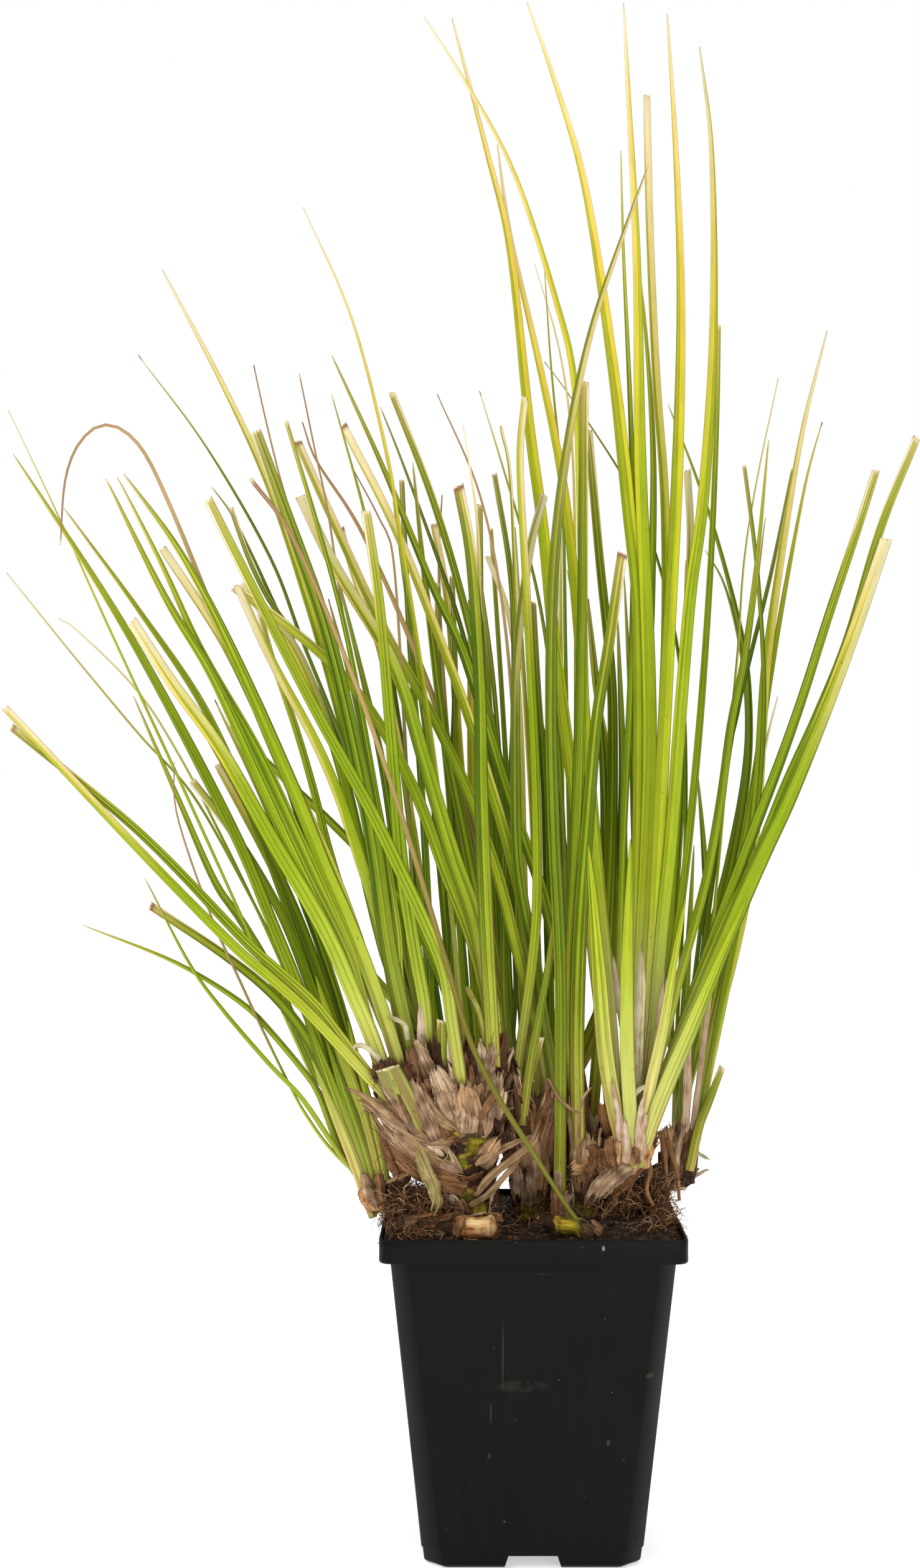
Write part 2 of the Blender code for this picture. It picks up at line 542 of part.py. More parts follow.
END_ROUND = 0.55
END_SHARE = 0.62
SCALE_THICK = 1.6
SCALE_BOW = 0.12
SCALE_SHAPE = ((0.0, 1.0, 1.0), (0.55, 0.9, 0.7), (1.0, 0.35, 0.45))


def in_space(across, height, depth):
    """The point seen at (across, height) on the pot's middle plane, at a depth behind it."""
    on_plane = Vector((across, 0.0, height))
    return EYE + (on_plane - EYE) * (1.0 + depth / -EYE.y)


def leaf_depth(lane, across, height):
    """Lanes fan out with height, and the whole tuft sways, so no two lanes cross."""
    rise = max(height - TUFT_FOOT, 0.0) / TUFT_HEIGHT
    sway = DEPTH_SWAY * rise ** SWAY_POWER * math.sin((across - SWAY_CENTRE) / SWAY_LENGTH)
    return lane * (1.0 + DEPTH_SPREAD * rise) + sway


def smooth_route(points):
    """A Catmull-Rom line through the points."""
    ends = [2 * points[0] - points[1], *points, 2 * points[-1] - points[-2]]
    line = []
    for a, b, c, d in zip(ends, ends[1:], ends[2:], ends[3:]):
        for step in range(ROUTE_STEPS):
            t = step / ROUTE_STEPS
            line.append(0.5 * (2 * b + (c - a) * t + (2 * a - 5 * b + 4 * c - d) * t ** 2
                               + (3 * b - a - 3 * c + d) * t ** 3))
    return line + [points[-1]]


def spots_along(line, shares):
    """The points at shares of a line's length, with the length run at each."""
    runs = [0.0]
    for a, b in zip(line, line[1:]):
        runs.append(runs[-1] + (b - a).length)
    spots = []
    for share in shares:
        run = runs[-1] * share
        at = min(bisect.bisect_right(runs, run) - 1, len(line) - 2)
        part = (run - runs[at]) / max(runs[at + 1] - runs[at], TINY)
        spots.append((line[at].lerp(line[at + 1], min(part, 1.0)), run))
    return spots


def even_shares(count):
    return [number / (count - 1) for number in range(count)]


def flat_line(leaf):
    """The leaf's smooth route on the measuring plane."""
    words = (word.split() for word in leaf.route.split(","))
    return smooth_route([Vector((float(across), float(height), 0.0)) for across, height in words])


def sheath_share(run):
    """1 where a leaf is still within its sheath, falling to 0 where it is free."""
    return min(max((SHEATH_REACH - run) / (SHEATH_REACH - SHEATH_JOINED), 0.0), 1.0)


def leaf_line(leaf, sheath_leaf):
    """The leaf's line in space. Near its foot it keeps to the leaf whose sheath it shares."""
    own = spots_along(flat_line(leaf), even_shares(FINE_STEPS))
    host = flat_line(sheath_leaf)
    host_length = spots_along(host, [1.0])[0][1]
    beside = spots_along(host, [min(run / host_length, 1.0) for _, run in own])
    line = []
    for (spot, run), (other, _) in zip(own, beside):
        across, height, _ = spot.lerp(other, sheath_share(run))
        line.append(in_space(across, height, leaf_depth(leaf.lane, across, height)))
    return line


def leaf_rings(leaf, sheath_leaf):
    """(centre, across vector, thickness vector) of each ring of a blade."""
    line = leaf_line(leaf, sheath_leaf)
    steps = [b - a for a, b in zip(line, line[1:])]
    length = sum(step.length for step in steps)
    bend = math.degrees(sum(a.angle(b) for a, b in zip(steps, steps[1:])))
    count = min(FEWEST_RINGS + round(length / RING_LENGTH + bend / RING_BEND), MOST_RINGS)
    shares = even_shares(count)
    if shares[1] * length > 2 * SHEATH_JOINED:
        shares.insert(1, SHEATH_JOINED / length)
    spots = spots_along(line, shares)
    rings = []
    for number, (centre, run) in enumerate(spots):
        before = spots[max(number - 1, 0)][0]
        after = spots[min(number + 1, len(spots) - 1)][0]
        along = (after - before).normalized()
        face = (EYE - centre).normalized()
        side = along.cross(face).normalized()
        face = side.cross(along).normalized()
        sheath = sheath_share(run)
        turn = math.radians(leaf.turn) * (1.0 - sheath)
        wide = side * math.cos(turn) + face * math.sin(turn)
        thin = face * math.cos(turn) - side * math.sin(turn)
        width = leaf.width + SHEATH_EXTRA * sheath
        thick = BLADE_THICK + (SHEATH_THICK - BLADE_THICK) * sheath
        left = max(1.0 - run / length, 0.0)
        if leaf.end == TIP:
            fine = min(left / TAPER_SHARE, 1.0) ** TAPER_POWER
            width = TIP_WIDTH + (width - TIP_WIDTH) * fine
            thick = TIP_THICK + (thick - TIP_THICK) * fine
        else:
            width *= CUT_NARROWING + (1.0 - CUT_NARROWING) * min(2.0 * left, 1.0)
        rings.append((centre, wide * width / 2, thin * thick / 2))
    return rings


def start_clean():
    for obj in list(bpy.data.objects):
        bpy.data.objects.remove(obj, do_unlink=True)


def new_collection(name, helper=False):
    collection = bpy.data.collections.new(name)
    bpy.context.scene.collection.children.link(collection)
    collection.hide_render = helper
    return collection


def material(name, colour, roughness):
    made = bpy.data.materials.new(name)
    made.use_nodes = True
    shader = made.node_tree.nodes["Principled BSDF"]
    shader.inputs["Base Color"].default_value = (*colour, 1.0)
    shader.inputs["Roughness"].default_value = roughness
    shader.inputs["Metallic"].default_value = 0.0
    return made


def keep(bm, name, collection, finish=None, smooth=True):
    """Turns a bmesh in millimetres into an object in metres."""
    bmesh.ops.scale(bm, vec=(MM, MM, MM), verts=bm.verts)
    bmesh.ops.recalc_face_normals(bm, faces=bm.faces)
    mesh = bpy.data.meshes.new(name)
    bm.to_mesh(mesh)
    bm.free()
    if smooth:
        mesh.shade_smooth()
        mesh.set_sharp_from_angle(angle=math.radians(SHARP_ANGLE))
    obj = bpy.data.objects.new(name, mesh)
    collection.objects.link(obj)
    if finish:
        mesh.materials.append(finish)
    return obj


def as_cutter(obj):
    obj.hide_render = True
    obj.display_type = "WIRE"
    return obj


def drawn_out(rings):
    """A closed form drawn out of its first ring: a disc extruded from ring to ring."""
    sides = len(rings[0])
    bm = bmesh.new()
    disc = bmesh.ops.create_circle(bm, segments=sides, radius=1.0, cap_ends=True)["verts"]
    for vert, place in zip(disc, rings[0]):
        vert.co = place
    face = bm.faces[:][0]
    order = list(disc)
    for ring in rings[1:]:
        old = [vert.co.copy() for vert in order]
        made = bmesh.ops.extrude_face_region(bm, geom=[face])["geom"]
        fresh = [item for item in made if isinstance(item, bmesh.types.BMVert)]
        faces = [item for item in made if isinstance(item, bmesh.types.BMFace)]
        order = [min(fresh, key=lambda vert, spot=spot: (vert.co - spot).length) for spot in old]
        for vert, place in zip(order, ring):
            vert.co = place
        if face.is_valid and face not in faces:
            bmesh.ops.delete(bm, geom=[face], context="FACES_ONLY")
        face = faces[0]
    bmesh.ops.holes_fill(bm, edges=[edge for edge in bm.edges if edge.is_boundary], sides=sides)
    bmesh.ops.triangulate(bm, faces=bm.faces[:], quad_method="FIXED")
    return bm


def blade(leaf, sheath_leaf):
    """A blade with a midrib on both faces: four edges, drawn out along its line."""
    rings = []
    for centre, wide, thin in leaf_rings(leaf, sheath_leaf):
        rings.append([centre + wide, centre + thin, centre - wide, centre - thin])
    return drawn_out(rings)


def stem_rings(points, grow):
    """Uneven rings along a stem, grown by a clearance, closing in at its far end."""
    centres = [in_space(across, height, depth) for across, height, depth, _ in points]
    rings = []
    for number, centre in enumerate(centres):
        along = centres[min(number + 1, len(points) - 1)] - centres[max(number - 1, 0)]
        along.normalize()
        side = along.cross(Vector((0, 1, 0))).normalized()
        face = side.cross(along)
        radius = points[number][3] + grow
        lengths = [(0.0, 1.0)]
        if number == 0:
            lengths = [(-grow, 1.0)]
        elif number == len(points) - 1:
            lengths.append((END_ROUND * radius, END_SHARE))
        for offset, share in lengths:
            ring = []
            for step in range(STEM_SIDES):
                angle = math.tau * step / STEM_SIDES
                lump = 1.0 + LUMP_HIGH * math.sin(STEM_LUMPS * angle + LUMP_TURN * number)
                reach = radius * share * lump
                ring.append(centre + along * offset
                            + (side * math.cos(angle) + face * math.sin(angle)) * reach)
            rings.append(ring)
    return rings


def scale_rings(root, tip, width, grow):
    """A dry scale: broad and thick at its root, thin at its turned-out tip."""
    start, end = in_space(*root), in_space(*tip)
    along = (end - start).normalized()
    out = Vector((0, -1 if root[2] > tip[2] else 1, 0))
    side = along.cross(out).normalized()
    out = side.cross(along).normalized()
    bow = (end - start).length * SCALE_BOW
    rings = []
    for share, wide, thick in SCALE_SHAPE:
        centre = start.lerp(end, share) + out * bow * math.sin(math.pi * share)
        half = side * (width * wide / 2 + grow)
        deep = out * (SCALE_THICK * thick / 2 + grow)
        rings.append([centre + half, centre + deep, centre - half, centre - deep])
    rings[0] = [spot - along * grow for spot in rings[0]]
    rings[-1] = [spot + along * grow for spot in rings[-1]]
    return rings


def fused(name, forms, collection, helpers, finish):
    """Makes the first form the object and joins the others to it with one Boolean union."""
    obj = keep(forms[0], name, collection, finish)
    if len(forms) == 1:
        return obj
    group = bpy.data.collections.new(name + "_joined")
    helpers.children.link(group)
    for number, form in enumerate(forms[1:], 1):
        as_cutter(keep(form, f"{name}_form_{number}", group))
    join = obj.modifiers.new("grown together", "BOOLEAN")
    join.operation = "UNION"
    join.operand_type = "COLLECTION"
    join.collection = group
    return obj


def cut_with(obj, cutter, label):
    """Cuts an object, or every object of a collection, out of obj."""
    cut = obj.modifiers.new(label, "BOOLEAN")
    cut.operation = "DIFFERENCE"
    if isinstance(cutter, bpy.types.Collection):
        cut.operand_type = "COLLECTION"
        cut.collection = cutter
    else:
        cut.object = cutter


def box_of(spots):
    """The low and high corners of the box round some points."""
    columns = list(zip(*spots))
    return tuple(map(min, columns)), tuple(map(max, columns))


def meet(first, second):
    """Whether two boxes share any room."""
    return all(first[0][i] < second[1][i] and second[0][i] < first[1][i] for i in range(3))


def rootstock_forms(stock, grow=0.0):
    forms = [drawn_out(stem_rings(stem, grow)) for stem in stock.stems]
    return forms + [drawn_out(scale_rings(*scale, grow)) for scale in stock.scales]


def square_ring(width, height, corner, flat=False):
    """A square outline, its corners rounded or cut flat, anticlockwise seen from above."""
    half = width / 2 - corner
    ring = []
    for quarter, (sx, sy) in enumerate(((1, 1), (-1, 1), (-1, -1), (1, -1))):
        first = Vector((math.cos(math.pi / 2 * quarter), math.sin(math.pi / 2 * quarter)))
        last = Vector((-first.y, first.x))
        for step in range(CORNER_STEPS + 1):
            share = step / CORNER_STEPS
            out = first.lerp(last, share) if flat else first.slerp(last, share)
            ring.append(Vector((sx * half + corner * out.x, sy * half + corner * out.y, height)))
    return ring


def taper_width(height):
    """The body's outer width at a height."""
    top = POT_HEIGHT - RIM_BAND
    return BASE_WIDTH + (BODY_TOP_WIDTH - BASE_WIDTH) * height / top


def pot_form():
    """The thin pot: body, stepped foot, ledge and upright rim band."""
    ledge = POT_HEIGHT - RIM_BAND
    inner_foot = taper_width(FLOOR) - 2 * WALL - 2 * STEP_DEPTH
    inner_top = BODY_TOP_WIDTH - 2 * WALL
    inner_rim = RIM_WIDTH - 2 * WALL
    foot_width = BASE_WIDTH - 2 * STEP_DEPTH
    return drawn_out([
        square_ring(foot_width - 2 * FOOT_BEVEL, 0.0, BASE_CHAMFER, True),
        square_ring(foot_width, FOOT_BEVEL, BASE_CHAMFER, True),
        square_ring(taper_width(STEP_HEIGHT) - 2 * STEP_DEPTH, STEP_HEIGHT, BASE_CHAMFER, True),
        square_ring(taper_width(STEP_HEIGHT + STEP_RISE), STEP_HEIGHT + STEP_RISE, BASE_CHAMFER, True),
        square_ring(BODY_TOP_WIDTH, ledge, BODY_TOP_CHAMFER, True),
        square_ring(RIM_WIDTH - LEDGE_BEVEL, ledge, RIM_CORNER),
        square_ring(RIM_WIDTH, ledge + LEDGE_BEVEL, RIM_CORNER),
        square_ring(RIM_WIDTH, POT_HEIGHT, RIM_CORNER),
        square_ring(inner_rim, POT_HEIGHT, RIM_CORNER - WALL),
        square_ring(inner_rim, ledge + WALL, RIM_CORNER - WALL),
        square_ring(inner_top, ledge, BODY_TOP_CHAMFER - WALL / 2, True),
        square_ring(inner_foot, FLOOR, BASE_CHAMFER - WALL / 2, True),
    ])


def bar(low, high, collection, name, narrow_share=1.0):
    """A block between two corners whose top can be narrower across X than its bottom."""
    bm = bmesh.new()
    bmesh.ops.create_cube(bm, size=1.0)
    low, high = Vector(low), Vector(high)
    for vert in bm.verts:
        vert.co = (low + high) / 2 + Vector(c * s for c, s in zip(vert.co, high - low))
        if vert.co.z > (low.z + high.z) / 2:
            vert.co.x *= narrow_share
    return as_cutter(keep(bm, name, collection, smooth=False))


def turned(obj, quarter):
    obj.rotation_euler = (0.0, 0.0, math.radians(90 * quarter))
    return obj


def add_pot(parts, helpers):
    """The pot with its four drainage channels, each arched over inside and drained by a hole."""
    pot = keep(pot_form(), "pot", parts, material("pot_black", POT_BLACK, POT_ROUGHNESS))
    edge = BASE_WIDTH / 2
    start = edge - CHANNEL_LENGTH
    wide, narrow = NOTCH_WIDE / 2, NOTCH_NARROW / NOTCH_WIDE
    for quarter in range(4):
        ridge = bar((-wide - WALL, start - WALL, FLOOR / 2),
                    (wide + WALL, edge - CHANNEL_INTO_WALL, NOTCH_HEIGHT + WALL), helpers,
                    f"ridge_{quarter}")
        turned(ridge, quarter)
        join = pot.modifiers.new("channel roof", "BOOLEAN")
        join.operation = "UNION"
        join.object = ridge
    for quarter in range(4):
        channel = bar((-wide, start, -PAST), (wide, edge + PAST, NOTCH_HEIGHT), helpers,
                      f"channel_{quarter}", narrow)
        cut_with(pot, turned(channel, quarter), "drainage channel")
        drain = bmesh.new()
        bmesh.ops.create_cone(drain, cap_ends=True, segments=DRAIN_SIDES,
                              radius1=DRAIN_RADIUS, radius2=DRAIN_RADIUS, depth=DRAIN_DEPTH)
        hole = as_cutter(keep(drain, f"drain_{quarter}", helpers))
        spot = Vector((0.0, (start + DRAIN_INSET) * MM, (NOTCH_HEIGHT + WALL / 2) * MM))
        spot.rotate(turned(hole, quarter).rotation_euler)
        hole.location = spot
        cut_with(pot, hole, "drain hole")


def mound(x, y, spec):
    centre_x, centre_y, reach, height = spec
    away = math.hypot(x - centre_x, y - centre_y) / reach
    return height * math.exp(-away * away)


def soil_height(x, y):
    """The soil's surface: heaps beside the rootstocks and a crumbly roll between."""
    crumbs = (CRUMB_HIGH[0] * math.sin(x / CRUMB_LONG[0]) * math.cos(y / CRUMB_LONG[1])
              + CRUMB_HIGH[1] * math.sin(x / CRUMB_LONG[2] - y / CRUMB_LONG[3]))
    heaps = mound(x, y, LEFT_MOUND) + mound(x, y, RIGHT_MOUND) + mound(x, y, FRONT_RIGHT_MOUND)
    return SOIL_LEVEL + crumbs + heaps


def soil_form(grow=0.0):
    """A grid for the crumbly surface, its rim drawn down the inside of the pot."""
    ledge = POT_HEIGHT - RIM_BAND
    top = (RIM_WIDTH - 2 * WALL) / 2 - GAP
    body = (BODY_TOP_WIDTH - 2 * WALL) / 2 - GAP
    foot = (taper_width(FLOOR) - 2 * WALL - 2 * STEP_DEPTH) / 2 - GAP
    bm = bmesh.new()
    bmesh.ops.create_grid(bm, x_segments=SOIL_CELLS, y_segments=SOIL_CELLS, size=top)
    for vert in bm.verts:
        vert.co.z = soil_height(vert.co.x, vert.co.y) + grow
    rim = [edge for edge in bm.edges if edge.is_boundary]
    for vert in {vert for edge in rim for vert in edge.verts}:
        vert.co.z = min(vert.co.z, SOIL_EDGE_TOP + grow)
        if min(abs(vert.co.x), abs(vert.co.y)) > top - GAP:
            vert.co.xy *= CORNER_PULL
    size = top
    for height, reach in ((ledge + WALL + 2 * GAP, top), (ledge + GAP, body), (FLOOR + GAP, foot)):
        made = bmesh.ops.extrude_edge_only(bm, edges=rim)["geom"]
        for vert in (item for item in made if isinstance(item, bmesh.types.BMVert)):
            vert.co = Vector((vert.co.x * reach / size, vert.co.y * reach / size, height))
        rim = [item for item in made if isinstance(item, bmesh.types.BMEdge)]
        size = reach
    bmesh.ops.contextual_create(bm, geom=rim)
    return bm


def add_soil(parts, helpers, rooms):
    soil = keep(soil_form(), "soil", parts, material("soil_peat", PEAT, PEAT_ROUGHNESS))
    edge = BASE_WIDTH / 2
    start = edge - CHANNEL_LENGTH
    wide = NOTCH_WIDE / 2 + WALL + GAP
    for quarter in range(4):
        room = bar((-wide, start - WALL - GAP, -PAST),
                   (wide, edge + PAST, NOTCH_HEIGHT + WALL + GAP), helpers, f"ridge_room_{quarter}")
        cut_with(soil, turned(room, quarter), "channel roof")
    for room in rooms:
        cut_with(soil, room, "socket")


def add_rootstocks(parts, helpers):
    """Each rootstock, and a slightly larger copy that keeps the other pieces off it."""
    rooms = []
    for name, stock in ROOTSTOCKS.items():
        fused(name, rootstock_forms(stock), parts, helpers, material(name, stock.colour, BARK_ROUGHNESS))
        room = new_collection(name + "_room", helper=True)
        for number, form in enumerate(rootstock_forms(stock, GAP), 1):
            as_cutter(keep(form, f"{name}_room_{number}", room))
        rooms.append(room)
    return rooms


def add_leaves(parts, helpers, rooms):
    for clump, sheaths in CLUMPS.items():
        for number, leaves in enumerate(sheaths, 1):
            word = "leaf" if len(leaves) == 1 else "leaves"
            name = f"{clump}_{word}_{number}"
            finish = material(name, CLUMP_COLOURS[clump], LEAF_ROUGHNESS)
            forms = [blade(leaf, leaves[0]) for leaf in leaves]
            box = box_of([vert.co * MM for form in forms for vert in form.verts])
            obj = fused(name, forms, parts, helpers, finish)
            for room in rooms:
                boxes = (box_of([vert.co for vert in form.data.vertices]) for form in room.objects)
                if any(meet(box, other) for other in boxes):
                    cut_with(obj, room, "clear of " + room.name)


def main():
    start_clean()
    parts = new_collection("potted_sweet_flag")
    helpers = new_collection("cutters", helper=True)
    add_pot(parts, helpers)
    rooms = add_rootstocks(parts, helpers)
    add_soil(parts, helpers, rooms)
    soil_room = new_collection("soil_room", helper=True)
    as_cutter(keep(soil_form(GAP), "soil_surface", soil_room))
    add_leaves(parts, helpers, [*rooms, soil_room])


main()
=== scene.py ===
"""A golden sweet flag in its square nursery pot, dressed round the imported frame.

Routes and sizes are millimetres, read on the upright plane through the pot's axis as the eye
sees it. Every mesh is made in metres, in the frame's own axes: +X right, +Y away, +Z up.
"""

import bisect
import logging
import math
import random
from collections.abc import Sequence
from dataclasses import dataclass, field
from enum import Enum

import bmesh
import bpy
import numpy as np
from mathutils import Matrix, Vector, noise

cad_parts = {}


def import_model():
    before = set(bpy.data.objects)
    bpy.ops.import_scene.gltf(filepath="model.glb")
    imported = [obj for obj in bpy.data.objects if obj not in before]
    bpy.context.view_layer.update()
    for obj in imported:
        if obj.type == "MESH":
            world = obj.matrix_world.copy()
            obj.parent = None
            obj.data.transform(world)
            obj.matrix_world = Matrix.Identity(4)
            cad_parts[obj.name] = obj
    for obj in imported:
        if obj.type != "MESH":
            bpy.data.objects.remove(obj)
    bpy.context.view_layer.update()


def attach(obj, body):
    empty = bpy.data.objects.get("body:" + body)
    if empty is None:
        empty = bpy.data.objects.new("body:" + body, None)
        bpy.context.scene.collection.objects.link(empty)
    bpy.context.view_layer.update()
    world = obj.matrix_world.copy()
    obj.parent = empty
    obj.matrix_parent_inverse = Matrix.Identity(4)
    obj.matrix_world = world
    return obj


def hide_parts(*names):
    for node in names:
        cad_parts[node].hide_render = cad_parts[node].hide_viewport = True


LOG = logging.getLogger("sweet_flag")
MM = 0.001
BODY = "root"

# The eye, and how the tuft spreads in depth behind the measuring plane
EYE = Vector((-21.5, -747.0, 231.0))
TUFT_FOOT = 118.0
TUFT_HEIGHT = 352.0
DEPTH_SPREAD = 1.8
DEPTH_SWAY = 26.0
SWAY_CENTRE = -25.0
SWAY_LENGTH = 60.0

# A leaf's foot, where it is still wrapped in its sheath
SHEATH_THICK = 2.2
SHEATH_EXTRA = 0.7
SHEATH_JOINED = 12.0
SHEATH_REACH = 40.0
FOOT_REACH = 16.0
BLADE_THICK = 0.9
TIP_WIDTH = 0.35
TIP_THICK = 0.3
TAPER_SHARE = 0.42
TAPER_POWER = 0.65
CUT_NARROWING = 0.82
BROAD_LEAF = 2.0

# How finely lines are followed
ROUTE_STEPS = 8
FINE_STEPS = 60
FIBRE_STEPS = 6
FIBRE_TIP = 0.05
TINY = 1e-9

Colour = tuple[float, float, float]
Spot = tuple[float, float, float]
Piece = bpy.types.Object
Material = bpy.types.Material


def paint(red: float, green: float, blue: float) -> Colour:
    """A linear colour from its 0 to 255 screen values.

    Args:
        red: Its red.
        green: Its green.
        blue: Its blue.

    Returns:
        The colour.
    """
    def straight(value: float) -> float:
        """One channel, out of the screen's curve."""
        share = value / 255.0
        return share / 12.92 if share <= 0.04045 else ((share + 0.055) / 1.055) ** 2.4
    return straight(red), straight(green), straight(blue)


class End(Enum):
    """How a leaf ends."""

    TIP = "grown tip"
    CUT = "cut across"


class Tone(Enum):
    """The colour a leaf has grown or dried to."""

    GREEN = "green"
    GOLD = "gold"
    PALE = "pale"
    DARK = "dark"
    DRIED = "dried"
    HALF = "half"
    CREAM = "cream"
    OLIVE = "olive"
    BRIGHT = "bright"
    BEIGE = "beige"
    STALK = "old stalk"
    STUB = "torn stub"


TIP, CUT = End
GREEN, GOLD, PALE, DARK, DRIED, HALF, CREAM, OLIVE, BRIGHT, BEIGE, STALK, STUB = Tone


@dataclass(frozen=True)
class ToneMix:
    """How much of each leaf colour a tone holds, from 0 to 1."""

    gold: float = 0.0
    pale: float = 0.0
    dark: float = 0.0
    dry: float = 0.0
    half: float = 0.0


TONE_MIXES = {
    GREEN: ToneMix(gold=0.1, dark=0.25),
    GOLD: ToneMix(gold=0.75, pale=0.28),
    PALE: ToneMix(gold=0.5, pale=0.8),
    DARK: ToneMix(dark=0.6),
    DRIED: ToneMix(dry=0.9),
    HALF: ToneMix(gold=0.3, half=0.75),
    CREAM: ToneMix(gold=0.6, pale=1.0),
    OLIVE: ToneMix(dark=1.4, dry=0.3),
    BRIGHT: ToneMix(gold=0.5),
    BEIGE: ToneMix(dark=0.7, dry=0.45, half=1.0),
    STALK: ToneMix(dark=1.4, dry=1.3),
    STUB: ToneMix(pale=0.5, dark=0.3, dry=1.5),
}


@dataclass(frozen=True)
class Leaf:
    """One leaf, as it was measured.

    Depth lane at the foot, turn of the blade from facing the eye in degrees, widest width, how
    it ends, its tone, and its route as "across height" points from foot to end.
    """

    lane: float
    turn: float
    width: float
    end: End
    tone: Tone
    route: str


def read_leaves(rows: str) -> tuple[tuple[Leaf, ...], ...]:
    """Reads a clump's leaves.

    Args:
        rows: Lane, turn, width, end, tone and route of each leaf, with ; between leaves of one
            sheath and / between sheaths.

    Returns:
        A row of leaves for each sheath.
    """
    sheaths = []
    for sheath in rows.split("/"):
        leaves = []
        for row in sheath.split(";"):
            lane, turn, width, end, tone, *route = row.split()
            leaves.append(Leaf(float(lane), float(turn), float(width), End[end], Tone[tone],
                               " ".join(route)))
        sheaths.append(tuple(leaves))
    return tuple(sheaths)


